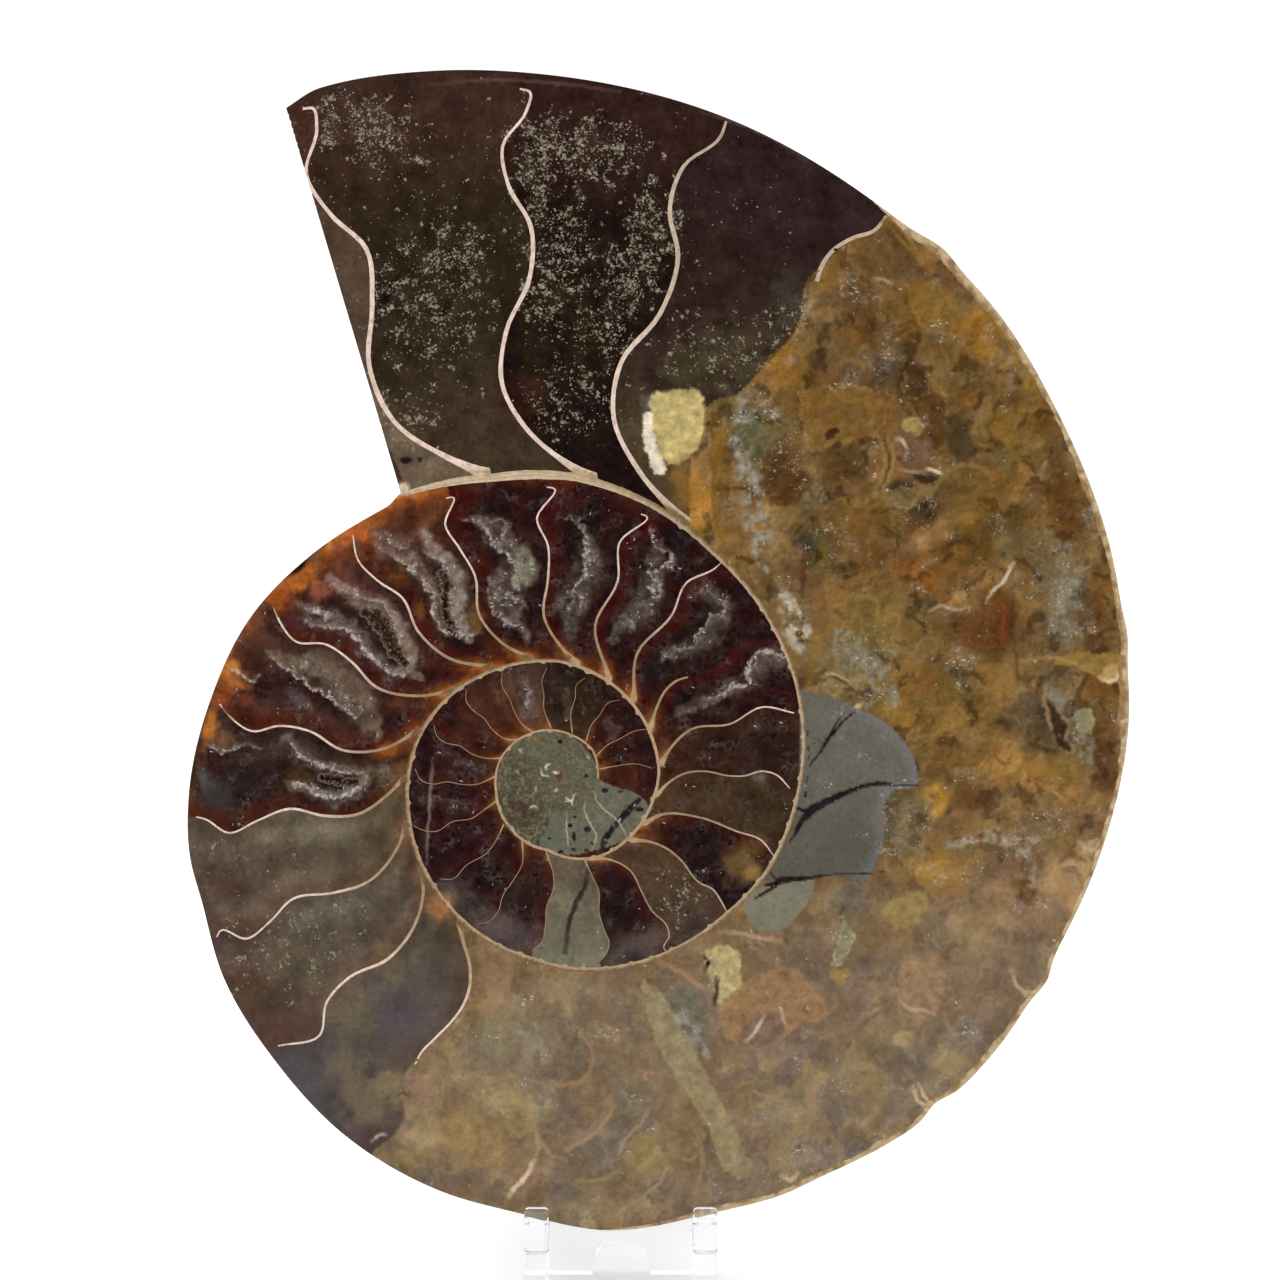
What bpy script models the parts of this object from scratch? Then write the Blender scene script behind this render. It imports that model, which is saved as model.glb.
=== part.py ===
"""Sawn and polished half of an ammonite, standing face-on on a clear moulded easel.

Metres, +Z up, X to the right of the cut face, the face turned to -Y and leaning back.
The fossil is worked out in the plane of its cut face: u to the right, v up the face and d from the
face into the stone, in millimetres, with the centre of the coil at u = v = 0.
"""

import math

import bmesh
import bpy
from mathutils import Vector
from mathutils.geometry import delaunay_2d_cdt

MM = 0.001
GAP = 0.3  # left between pieces that touch

# The cut face and its outline: radius of the rim round the coil, by angle from +u towards +v.
LEAN = 11.0  # degrees that the face leans back
RIM = (
    (-243.7, 56.4), (-240, 55.4), (-225, 56.7), (-210, 58.5), (-195, 59.4), (-180, 61.0),
    (-170, 61.9), (-161, 61.9), (-150, 63.7), (-135, 65.4), (-120, 68.2), (-105, 70.6),
    (-94, 72.1), (-82, 75.6), (-69, 77.1), (-60, 79.5), (-54, 80.7), (-42, 84.8), (-30, 88.1),
    (-18, 90.6), (-6, 94.8), (6, 99.2), (15, 101.5), (24, 104.3), (36, 107.7), (48, 111.9),
    (60, 114.1), (75, 118.2), (90, 121.6), (99, 123.8), (108, 125.5), (111, 124.2),
)
# Flakes of shell that stand out from the rim, and one chip: angle, height, half width in degrees.
RIM_FLAKES = ((54.0, 0.9, 2.2), (15.0, 0.5, 2.0), (-21.0, 0.9, 2.0), (-39.0, -1.0, 2.0))

# The saw cut across the mouth, a straight line that passes beside the centre of the coil.
CUT_DIRECTION = 106.5
CUT_OFFSET = 9.66

# The back: rings follow the coil inwards, RINGS_PER_TURN of them from one turn to the next.
COLUMNS = 112
RINGS_PER_TURN = 8
RINGS = 28
VENTER_RINGS = (0.995, 0.98, 0.95)  # closer rings round the outer edge, as parts of the rim radius
THICKNESS = 0.213  # half thickness of a whorl, as a part of its radius
SHOULDER = 0.42  # where the whorl is thickest, as a part of its radius
SEAM_DROP = 0.57  # how far the umbilical wall falls, as a part of the thickness
PLUG = 6.5  # level of the sediment left in the umbilicus
PLUG_WAVE = 0.35
RIBS = 28  # per turn
RIB_HEIGHT = 0.45
RIB_SWEEP = 9.0  # degrees that a rib leans forward towards the outer edge

# Open hollows in the face: (u, v, half width) along the middle of each, then its depth.
HOLLOW_UPPER = (((-31.9, 30.6, 0.6), (-29.3, 29.3, 1.6), (-27.3, 26.3, 1.3), (-26.0, 23.6, 1.35),
                 (-23.9, 21.0, 0.6)), 4.2)
HOLLOW_MIDDLE = (((-18.7, 37.3, 0.7), (-17.4, 35.6, 1.0), (-17.6, 32.4, 0.85), (-17.3, 29.6, 0.85),
                  (-15.6, 27.0, 0.6)), 3.2)
HOLLOW_LOWER = (((-39.2, 2.2, 0.6), (-36.4, 1.8, 1.0), (-34.0, 1.3, 1.0), (-32.0, 1.4, 0.6)), 3.0)
CRYSTAL_PITCH = 0.95
CRYSTAL_RISE = 1.3
CRUST_THICKNESS = 0.9
CRUST_SETBACK = 0.5  # how far the highest crystal tips stay below the face

# The easel: two arms with upturned lips, a back panel along the stone and a rear strut.
EASEL_MIDDLE = 12.4  # u
ARM_SPACING = 28.6
ARM_WIDTH = 4.1
ARM_DEPTH = 4.6
SEAT_HEIGHT = 14.0
LIP_RISE = 2.9
LIP_THICKNESS = 3.0
PANEL_WIDTH = 33.0
PANEL_THICKNESS = 2.4
PANEL_HEIGHT = 70.0  # above the seat, along the panel
PANEL_CORNER = 6.0
ARCH_RADIUS = 5.0
ARCH_TOP = 8.2  # below the seat
STRUT_FOOT_WIDTH = 54.0
STRUT_SPREAD = 40.0  # how far behind the top of the panel the strut meets the floor
MOULD_EDGE = 0.6  # rounding of the moulded edges


def smooth_curve(knots, position):
    """Catmull-Rom value at a position through (position, value) knots."""
    last = len(knots) - 1
    k = 0
    while k < last - 1 and position > knots[k + 1][0]:
        k += 1
    (x0, y0), (x1, y1) = knots[k], knots[k + 1]
    t = (position - x0) / (x1 - x0)
    before, after = knots[max(k - 1, 0)], knots[min(k + 2, last)]
    m0 = (y1 - before[1]) / (x1 - before[0]) * (x1 - x0)
    m1 = (after[1] - y0) / (after[0] - x0) * (x1 - x0)
    return (
        (2 * t**3 - 3 * t**2 + 1) * y0
        + (t**3 - 2 * t**2 + t) * m0
        + (3 * t**2 - 2 * t**3) * y1
        + (t**3 - t**2) * m1
    )


def rim_radius(angle):
    flakes = sum(h * math.exp(-(((angle - a) / w) ** 2)) for a, h, w in RIM_FLAKES)
    return smooth_curve(RIM, angle) + flakes


MOUTH_RADIUS = rim_radius(RIM[-1][0])
NOTCH_RADIUS = rim_radius(RIM[0][0])
RING_RATIO = (NOTCH_RADIUS / MOUTH_RADIUS) ** (1 / RINGS_PER_TURN)
SEAM_RING = 2 * RINGS_PER_TURN  # where a whorl meets the one inside it
SEAM = RING_RATIO**SEAM_RING


def cut_angle(radius):
    """Angle of the saw cut at this radius, held constant inside the umbilicus."""
    reach = max(radius, MOUTH_RADIUS * SEAM)
    return CUT_DIRECTION + math.degrees(math.asin(CUT_OFFSET / reach))


def column_radius(turn):
    """Rim radius of the column that lies this part of a turn (-1 to 0) before the saw cut."""
    radius = NOTCH_RADIUS if turn < -0.5 else MOUTH_RADIUS
    for _ in range(12):
        angle = cut_angle(radius) + 360 * turn
        radius = rim_radius(min(max(angle, RIM[0][0]), RIM[-1][0]))
    return radius


def whorl_profile(part):
    """Height of one whorl's flank, 0 to 1, at this part of its radius."""
    if part >= 1:
        return 0.0
    if part > SHOULDER:
        outwards = (part - SHOULDER) / (1 - SHOULDER)
        return (1 - outwards**1.9) ** (1 / 1.9)
    inwards = (SHOULDER - part) / (SHOULDER - SEAM)
    return 1 - SEAM_DROP * inwards**2.6


def back_height(rim, part, angle):
    """Depth of the back below the face, at this part of the rim radius."""
    if part >= 1:
        return 0.0
    level = 0.0
    while part < SEAM * (1 - 1e-6):
        part /= RING_RATIO**RINGS_PER_TURN
        rim *= RING_RATIO**RINGS_PER_TURN
        level = PLUG + PLUG_WAVE * math.sin(math.radians(3 * angle))
    flank = rim * THICKNESS * whorl_profile(part)
    sweep = RIB_SWEEP * (part + 0.25 * math.sin(2 * math.pi * part))
    on_flank = max(0.0, math.sin(math.pi * (part - SEAM) / (1 - SEAM))) ** 0.7
    rib = RIB_HEIGHT * (rim / MOUTH_RADIUS) * on_flank * math.cos(math.radians(RIBS * (angle - sweep)))
    return max(flank + rib, level)


def face_point(u, v, d):
    """A point of the stone in its own upright frame: X along u, Y along d, Z along v."""
    return Vector((u, d, v)) * MM


def at(radius, angle, d):
    turn = math.radians(angle)
    return face_point(radius * math.cos(turn), radius * math.sin(turn), d)


def fossil_mesh():
    """The whole half: flat face, coiled back and the saw cut across the mouth."""
    bm = bmesh.new()
    parts = [(0, 1.0)] + [(0.5, p) for p in VENTER_RINGS]
    parts += [(ring, RING_RATIO**ring) for ring in range(1, RINGS + 1)]
    extra = len(VENTER_RINGS)
    columns = []
    for i in range(COLUMNS + 1):
        turn = i / COLUMNS - 1
        rim = column_radius(turn)
        column = []
        for ring, part in parts:
            if i == COLUMNS and ring >= SEAM_RING:
                column.append(columns[0][len(column) - RINGS_PER_TURN])
                continue
            radius = rim * part
            angle = cut_angle(radius) + 360 * turn
            column.append(bm.verts.new(at(radius, angle, back_height(rim, part, angle))))
        columns.append(column)
    for a, b in zip(columns, columns[1:]):
        for j in range(len(parts) - 1):
            corners = (a[j], b[j], b[j + 1], a[j + 1])
            bm.faces.new(list(dict.fromkeys(corners)))

    # The sediment plug closes the middle: the innermost ring and the step back out to its start.
    first, last = columns[0], columns[-1]
    middle = [column[-1] for column in columns] + first[len(parts) - RINGS_PER_TURN : -1]
    bm.faces.new(middle)

    # The saw cut: along the face from the rim to the notch, and on across the overlapping flank.
    edge = [last[0]]
    for ring in range(1, RINGS_PER_TURN):
        radius = MOUTH_RADIUS * RING_RATIO**ring
        edge.append(bm.verts.new(at(radius, cut_angle(radius), 0)))
    edge.append(first[0])
    bm.faces.new([edge[1]] + last[: extra + 2][::-1])
    for ring in range(1, RINGS_PER_TURN):
        bm.faces.new((edge[ring + 1], last[extra + ring + 1], last[extra + ring], edge[ring]))
    outer = last[extra + RINGS_PER_TURN :]
    bm.faces.new(first[: extra + 2] + [outer[1], outer[0]])
    for ring in range(1, RINGS_PER_TURN):
        corners = (first[extra + ring], first[extra + ring + 1], outer[ring + 1], outer[ring])
        bm.faces.new(list(dict.fromkeys(corners)))

    bm.faces.new([column[0] for column in columns] + edge[1:-1])
    bmesh.ops.recalc_face_normals(bm, faces=bm.faces)
    return bm


def slot_outline(spine, shrink=0.0, steps=5):
    """Closed outline round a curved slot whose middle line and half widths are given."""
    us = [(k, point[0]) for k, point in enumerate(spine)]
    vs = [(k, point[1]) for k, point in enumerate(spine)]
    widths = [(k, point[2]) for k, point in enumerate(spine)]
    count = (len(spine) - 1) * steps
    left, right = [], []
    for k in range(count + 1):
        place = k / steps
        here = Vector((smooth_curve(us, place), smooth_curve(vs, place)))
        ahead = Vector((smooth_curve(us, place + 0.05), smooth_curve(vs, place + 0.05)))
        along = (ahead - here).normalized()
        side = Vector((-along.y, along.x)) * (smooth_curve(widths, place) - shrink)
        if k == 0:
            here += along * shrink
        elif k == count:
            here -= along * shrink
        left.append(here + side)
        right.append(here - side)
    return left + right[::-1]


def hollow_cutter(name, hollow, host):
    """A pit with upright walls, sunk from in front of the face."""
    spine, depth = hollow
    bm = bmesh.new()
    outline = slot_outline(spine)
    front = [bm.verts.new(face_point(p.x, p.y, -1.0)) for p in outline]
    face = bm.faces.new(front)
    made = bmesh.ops.extrude_face_region(bm, geom=[face])["geom"]
    moved = [item for item in made if isinstance(item, bmesh.types.BMVert)]
    bmesh.ops.translate(bm, verts=moved, vec=(0, (depth + 1.0) * MM, 0))
    bmesh.ops.recalc_face_normals(bm, faces=bm.faces)
    use_as_tool(new_object(name, bm, host.parent), host, "DIFFERENCE")


def crystal_crust(name, hollow, parent, material):
    """The druse on the floor of a hollow: pointed crystals side by side on one thin layer."""
    spine, depth = hollow
    outline = slot_outline(spine, shrink=GAP + 0.05)
    low, high = depth - GAP, depth - GAP - CRUST_THICKNESS
    inside = []
    row_height = CRYSTAL_PITCH * math.sqrt(3) / 2
    us, vs = [p.x for p in outline], [p.y for p in outline]
    for row in range(int((max(vs) - min(vs)) / row_height) + 2):
        for k in range(int((max(us) - min(us)) / CRYSTAL_PITCH) + 2):
            u = min(us) + (k + 0.5 * (row % 2)) * CRYSTAL_PITCH
            v = min(vs) + row * row_height
            if inside_outline(Vector((u, v)), outline, 0.12):
                inside.append((Vector((u, v)), (k + 2 * (row % 2)) % 3 == 0))
    count = len(outline)
    edges = [(k, (k + 1) % count) for k in range(count)]
    points = outline + [point for point, _ in inside]
    flat, _, triangles, *_ = delaunay_2d_cdt(points, edges, [], 1, 1e-6)
    bm = bmesh.new()
    top, bottom = [], []
    for k, point in enumerate(flat):
        tip = k >= count and inside[k - count][1]
        rise = CRYSTAL_RISE * (0.75 + 0.25 * math.sin(2.3 * k)) if tip else 0.0
        top.append(bm.verts.new(face_point(point.x, point.y, max(high - rise, CRUST_SETBACK))))
    for point in outline:
        bottom.append(bm.verts.new(face_point(point.x, point.y, low)))
    for corners in triangles:
        bm.faces.new([top[k] for k in corners])
    for a, b in edges:
        bm.faces.new((top[a], top[b], bottom[b], bottom[a]))
    bm.faces.new(bottom)
    bmesh.ops.recalc_face_normals(bm, faces=bm.faces)
    return new_object(name, bm, parent, material)


def inside_outline(point, outline, margin):
    """Whether the point is inside the outline and at least the margin away from it."""
    inside = False
    nearest = 1e9
    for a, b in zip(outline, outline[1:] + outline[:1]):
        if (a.y > point.y) != (b.y > point.y):
            if point.x < a.x + (point.y - a.y) / (b.y - a.y) * (b.x - a.x):
                inside = not inside
        along = max(0.0, min(1.0, (point - a).dot(b - a) / max((b - a).length_squared, 1e-12)))
        nearest = min(nearest, (a.lerp(b, along) - point).length)
    return inside and nearest > margin


def new_object(name, bm, parent, material=None):
    mesh = bpy.data.meshes.new(name)
    bm.to_mesh(mesh)
    bm.free()
    obj = bpy.data.objects.new(name, mesh)
    bpy.context.scene.collection.objects.link(obj)
    obj.parent = parent
    if material:
        mesh.materials.append(material)
    return obj


def new_empty(name, parent=None):
    empty = bpy.data.objects.new(name, None)
    bpy.context.scene.collection.objects.link(empty)
    empty.parent = parent
    return empty


def use_as_tool(tool, host, operation):
    """Hides a helper shape and joins it to, or cuts it from, its host."""
    tool.hide_render = True
    tool.display_type = "WIRE"
    boolean = host.modifiers.new(tool.name, "BOOLEAN")
    boolean.operation = operation
    boolean.object = tool


def new_material(name, color, roughness, **settings):
    material = bpy.data.materials.new(name)
    material.use_nodes = True
    shader = material.node_tree.nodes["Principled BSDF"]
    shader.inputs["Base Color"].default_value = (*color, 1)
    shader.inputs["Roughness"].default_value = roughness
    for socket, value in settings.items():
        shader.inputs[socket.replace("_", " ")].default_value = value
    return material


def plate(name, outline, depth, edge, parent, material=None):
    """A closed outline of points drawn out by a depth vector, with its edges rounded."""
    bm = bmesh.new()
    face = bm.faces.new([bm.verts.new(point * MM) for point in outline])
    made = bmesh.ops.extrude_face_region(bm, geom=[face])["geom"]
    moved = [item for item in made if isinstance(item, bmesh.types.BMVert)]
    bmesh.ops.translate(bm, verts=moved, vec=depth * MM)
    bmesh.ops.recalc_face_normals(bm, faces=bm.faces)
    if edge:
        bmesh.ops.bevel(
            bm, geom=list(bm.edges), offset=edge * MM, segments=2, profile=0.5, affect="EDGES",
            clamp_overlap=True,
        )
    return new_object(name, bm, parent, material)


def arc(middle, radius, start, end, steps):
    """Points of a circular arc in the X-Z plane, from one angle to another in degrees."""
    turns = [math.radians(start + (end - start) * k / steps) for k in range(steps + 1)]
    return [middle + Vector((radius * math.cos(t), 0, radius * math.sin(t))) for t in turns]


def seat_level():
    """Height v of the seat: just under the lowest stretch of rim over either arm."""
    lowest = 0.0
    for k in range(320):
        angle = math.radians(-130 + 0.25 * k)
        radius = rim_radius(math.degrees(angle))
        u, v = radius * math.cos(angle), radius * math.sin(angle)
        for side in (-1, 1):
            if abs(u - EASEL_MIDDLE - side * ARM_SPACING / 2) <= ARM_WIDTH / 2 + 0.5:
                lowest = min(lowest, v)
    return lowest - GAP


def deepest_back(fossil, seat):
    """How far the stone bulges backwards where the panel stands behind it."""
    reach = PANEL_WIDTH / 2 + 4
    depths = [
        vertex.co.y / MM
        for vertex in fossil.data.vertices
        if abs(vertex.co.x / MM - EASEL_MIDDLE) < reach and vertex.co.z / MM < seat + PANEL_HEIGHT + 4
    ]
    return max(depths)


def leaning(rise, d):
    """(y, z) of a point this far up the face from the seat and this far behind the face."""
    lean = math.radians(LEAN)
    y = rise * math.sin(lean) + d * math.cos(lean)
    z = SEAT_HEIGHT + rise * math.cos(lean) - d * math.sin(lean)
    return y, z


def make_easel(ground, panel_front, material):
    """One clear moulding, in the ground's frame with the seat's front edge at y = 0."""
    below_floor = -3.0
    half = PANEL_WIDTH / 2

    def on_panel(x, rise):
        return Vector((EASEL_MIDDLE + x, *leaning(rise, panel_front)))

    across_panel = Vector((0, *leaning(0, 1))) - Vector((0, *leaning(0, 0)))
    corners = [(half - PANEL_CORNER, 0), (-half + PANEL_CORNER, 90)]
    outline = [on_panel(-half, -SEAT_HEIGHT - 6), on_panel(half, -SEAT_HEIGHT - 6)]
    for x, start in corners:
        for p in arc(Vector((x, 0, PANEL_HEIGHT - PANEL_CORNER)), PANEL_CORNER, start, start + 90, 6):
            outline.append(on_panel(p.x, p.z))
    easel = plate("easel", outline, across_panel * PANEL_THICKNESS, MOULD_EDGE, ground, material)

    middle_of_panel = panel_front + PANEL_THICKNESS / 2
    for side, label in ((-1, "left"), (1, "right")):
        x = EASEL_MIDDLE + side * ARM_SPACING / 2 - ARM_WIDTH / 2
        front = -1.0 - LIP_THICKNESS
        foot_front = leaning(0, front)[0]
        profile = [
            leaning(LIP_RISE, front + 0.3),
            leaning(LIP_RISE, -1.0),
            leaning(0, -0.7),
            leaning(0, middle_of_panel),
            leaning(-ARM_DEPTH, middle_of_panel),
            leaning(-ARM_DEPTH, 1.0),
            (foot_front + LIP_THICKNESS + 0.4, below_floor),
            (foot_front - 0.6, below_floor),
        ]
        arm = plate(
            f"arm_{label}", [Vector((x, y, z)) for y, z in profile], Vector((ARM_WIDTH, 0, 0)),
            MOULD_EDGE, ground,
        )
        use_as_tool(arm, easel, "UNION")

    top_y, top_z = leaning(PANEL_HEIGHT - 2.0, middle_of_panel)
    down = Vector((0, STRUT_SPREAD, below_floor - top_z))
    thickness = Vector((0, -down.z, down.y)).normalized() * PANEL_THICKNESS
    start = Vector((EASEL_MIDDLE, top_y, top_z)) - thickness / 2
    ridge_half = half - PANEL_CORNER
    foot_half = STRUT_FOOT_WIDTH / 2
    strut_outline = [
        start + Vector((-ridge_half, 0, 0)),
        start + Vector((ridge_half, 0, 0)),
        start + down + Vector((foot_half, 0, 0)),
        start + down + Vector((-foot_half, 0, 0)),
    ]
    strut = plate("strut", strut_outline, thickness, MOULD_EDGE, ground)
    use_as_tool(strut, easel, "UNION")

    ridge_radius = PANEL_THICKNESS * 0.8
    ridge_outline = [
        Vector((EASEL_MIDDLE - ridge_half, top_y + p.x, top_z + p.z))
        for p in arc(Vector(), ridge_radius, 0, 330, 11)
    ]
    ridge = plate("ridge", ridge_outline, Vector((2 * ridge_half, 0, 0)), 0.4, ground)
    use_as_tool(ridge, easel, "UNION")

    arch_middle = Vector((EASEL_MIDDLE, 0, SEAT_HEIGHT - ARCH_TOP - ARCH_RADIUS))
    arch_outline = arc(arch_middle, ARCH_RADIUS, 0, 180, 12)
    arch_outline += [Vector((p.x, 0, below_floor - 2)) for p in (arch_outline[-1], arch_outline[0])]
    arch = plate("arch", arch_outline, Vector((0, panel_front + 12, 0)), 0, ground)
    use_as_tool(arch, easel, "DIFFERENCE")

    wide = 60.0
    floor_outline = [Vector((EASEL_MIDDLE + x * wide, -wide, z)) for x, z in ((-1, -30), (1, -30), (1, 0), (-1, 0))]
    floor = plate("below_floor", floor_outline, Vector((0, 4 * wide, 0)), 0, ground)
    use_as_tool(floor, easel, "DIFFERENCE")
    return easel


def settle(ground, objects):
    """Stands the whole piece on z = 0 with the middle of its box over the origin."""
    bpy.context.view_layer.update()
    graph = bpy.context.evaluated_depsgraph_get()
    points = []
    for obj in objects:
        evaluated = obj.evaluated_get(graph)
        points += [evaluated.matrix_world @ vertex.co for vertex in evaluated.data.vertices]
    low = [min(point[axis] for point in points) for axis in range(3)]
    high = [max(point[axis] for point in points) for axis in range(3)]
    ground.location = (-(low[0] + high[0]) / 2, -(low[1] + high[1]) / 2, -low[2])


def main():
    for obj in list(bpy.data.objects):
        bpy.data.objects.remove(obj, do_unlink=True)

    ground = new_empty("ground")
    lean = new_empty("lean", ground)
    seat = seat_level()
    lean.rotation_euler = (-math.radians(LEAN), 0, 0)
    y, z = leaning(-seat, 0)
    lean.location = (0, y * MM, z * MM)

    stone = new_material("polished_fossil", (0.16, 0.085, 0.035), 0.25, Coat_Weight=0.5)
    crystal = new_material("calcite_druse", (0.62, 0.56, 0.5), 0.35)
    clear = new_material("clear_plastic", (0.95, 0.97, 0.98), 0.04, Transmission_Weight=1.0, IOR=1.49)

    fossil = new_object("ammonite_half", fossil_mesh(), lean, stone)
    fossil.data.shade_smooth()
    fossil.data.set_sharp_from_angle(angle=math.radians(32))
    panel_front = deepest_back(fossil, seat) + GAP
    pieces = [fossil]
    hollows = (("upper", HOLLOW_UPPER), ("middle", HOLLOW_MIDDLE), ("lower", HOLLOW_LOWER))
    for label, hollow in hollows:
        hollow_cutter(f"hollow_{label}", hollow, fossil)
        pieces.append(crystal_crust(f"crystal_lining_{label}", hollow, lean, crystal))

    easel = make_easel(ground, panel_front, clear)
    easel.data.shade_smooth()
    easel.data.set_sharp_from_angle(angle=math.radians(40))
    pieces.append(easel)
    settle(ground, pieces)


main()
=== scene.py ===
"""The looks of the ammonite half on its stand: the cut face with its fillings and shell walls,
the coiled back, the open druses and the clear easel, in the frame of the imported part."""

import math
from functools import cached_property

import bmesh
import bpy
import numpy as np
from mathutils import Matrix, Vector
from mathutils.geometry import delaunay_2d_cdt


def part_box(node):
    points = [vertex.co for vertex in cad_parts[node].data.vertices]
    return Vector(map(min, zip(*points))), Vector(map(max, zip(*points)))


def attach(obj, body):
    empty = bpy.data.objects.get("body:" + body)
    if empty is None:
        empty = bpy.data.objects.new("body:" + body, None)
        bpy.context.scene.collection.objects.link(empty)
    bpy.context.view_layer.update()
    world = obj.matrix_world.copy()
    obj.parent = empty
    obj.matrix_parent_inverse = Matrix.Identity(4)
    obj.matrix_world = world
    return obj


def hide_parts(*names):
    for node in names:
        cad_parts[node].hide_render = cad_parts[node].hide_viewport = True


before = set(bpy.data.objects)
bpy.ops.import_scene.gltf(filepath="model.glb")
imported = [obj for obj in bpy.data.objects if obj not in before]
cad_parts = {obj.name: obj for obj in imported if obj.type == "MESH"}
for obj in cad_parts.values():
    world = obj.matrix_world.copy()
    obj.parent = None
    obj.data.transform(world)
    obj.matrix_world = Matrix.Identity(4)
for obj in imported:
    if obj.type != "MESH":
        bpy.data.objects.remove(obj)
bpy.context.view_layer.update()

# The cut face and its outline: radius of the rim round the coil, by angle from +u towards +v.
LEAN = 11.0  # degrees that the face leans back
RIM = (
    (-243.7, 56.4), (-240, 55.4), (-225, 56.7), (-210, 58.5), (-195, 59.4), (-180, 61.0),
    (-170, 61.9), (-161, 61.9), (-150, 63.7), (-135, 65.4), (-120, 68.2), (-105, 70.6),
    (-94, 72.1), (-82, 75.6), (-69, 77.1), (-60, 79.5), (-54, 80.7), (-42, 84.8), (-30, 88.1),
    (-18, 90.6), (-6, 94.8), (6, 99.2), (15, 101.5), (24, 104.3), (36, 107.7), (48, 111.9),
    (60, 114.1), (75, 118.2), (90, 121.6), (99, 123.8), (108, 125.5), (111, 124.2),
)
# Flakes of shell that stand out from the rim, and one chip: angle, height, half width in degrees.
RIM_FLAKES = ((54.0, 0.9, 2.2), (15.0, 0.5, 2.0), (-21.0, 0.9, 2.0), (-39.0, -1.0, 2.0))

# The saw cut across the mouth, a straight line that passes beside the centre of the coil.
CUT_DIRECTION = 106.5
CUT_OFFSET = 9.66

# The back: rings follow the coil inwards, RINGS_A_TURN of them from one turn to the next.
RINGS = 28
FINER = 4  # rings of the visible mesh for one ring of the solid
BACK_COLUMNS = 600
VENTER_PARTS = (0.998, 0.994, 0.988)  # more rings beside the rim, as parts of its radius
THICKNESS = 0.213  # half thickness of a whorl, as a part of its radius
SHOULDER = 0.42  # where the whorl is thickest, as a part of its radius
SEAM_DROP = 0.57  # how far the umbilical wall falls, as a part of the thickness
PLUG = 6.5  # level of the sediment left in the umbilicus
PLUG_WAVE = 0.35  # how far that level goes up and down
RIBS = 28  # per turn
RIB_HEIGHT = 0.45
RIB_SWEEP = 9.0  # degrees that a rib leans forward towards the outer edge

# Open hollows in the face: (u, v, half width) along the middle of each, then its depth.
HOLLOW_UPPER = (((-31.9, 30.6, 0.6), (-29.3, 29.3, 1.6), (-27.3, 26.3, 1.3), (-26.0, 23.6, 1.35),
                 (-23.9, 21.0, 0.6)), 4.2)
HOLLOW_MIDDLE = (((-18.7, 37.3, 0.7), (-17.4, 35.6, 1.0), (-17.6, 32.4, 0.85), (-17.3, 29.6, 0.85),
                  (-15.6, 27.0, 0.6)), 3.2)
HOLLOW_LOWER = (((-39.2, 2.2, 0.6), (-36.4, 1.8, 1.0), (-34.0, 1.3, 1.0), (-32.0, 1.4, 0.6)), 3.0)
HOLLOWS = (HOLLOW_UPPER, HOLLOW_MIDDLE, HOLLOW_LOWER)

# The inlaid face: its triangles, its septa and its walls.
SLAB = 0.8  # thickness of the inlaid face pieces
FACE_PITCHES = (0.34, 0.27, 0.21)  # of the triangles: mouth and filling, coil, middle
RIM_PITCH = 0.36
SIZE_OF_RIM = 620.0  # length round the rim, a little more than it is
MIDDLE_REACH = 11.0  # radius that counts as the middle of the coil
FILLING_SPLIT = -4.0  # height at which the filling is parted in two pieces
OUTER_CHAMBERS = 16  # the chambers up to this number are a piece apart from the inner coil
SEPTUM_PITCH = 0.34
NECK_WIDTH = 0.5  # what a septum gains on each side where it meets the wall inside it
NECK_LENGTH = 1.6
MOUTH_SEPTA = ("s1", "s2", "s3", "s4")
MOUTH_FLARE = 2.2  # how much wider the necks of those septa are
FREE_END = 3.5  # a septum that stops this far from a wall has a free end
BEAD_PITCH = 1.9
BEAD_HEIGHT = 0.34
WALL_END = -1067.0
# Width of the wall and thickness of the shell on the rim, by angle.
WALL_WIDTH = (
    (-245, 0.7), (-252, 1.2), (-266, 1.6), (-285, 1.15), (-300, 0.9), (-320, 0.7), (-350, 0.65),
    (-420, 0.65), (-470, 0.75), (-520, 0.7), (-600, 0.6), (-700, 0.5), (-900, 0.4), (-1067, 0.3),
)
RIM_SHELL = (
    (61, 0.1), (58, 1.0), (53, 1.7), (47, 1.3), (38, 1.0), (30, 1.2), (22, 0.9), (14, 1.6), (8, 1.7),
    (2, 0.8), (-8, 0.9), (-16, 0.6), (-24, 0.9), (-34, 1.2), (-42, 0.8), (-50, 1.0), (-60, 0.9),
    (-68, 1.1), (-76, 0.5), (-83, 0.1),
)

# The crust of crystals in each hollow.
CRUST_PITCH = 0.13
CRUST_OVERLAP = 0.12  # how far it reaches under the stone beside the hollow
CRUST_TOP = 0.08  # depth below the face that no tip rises above
CRUST_DEPTH = 2.0

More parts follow.
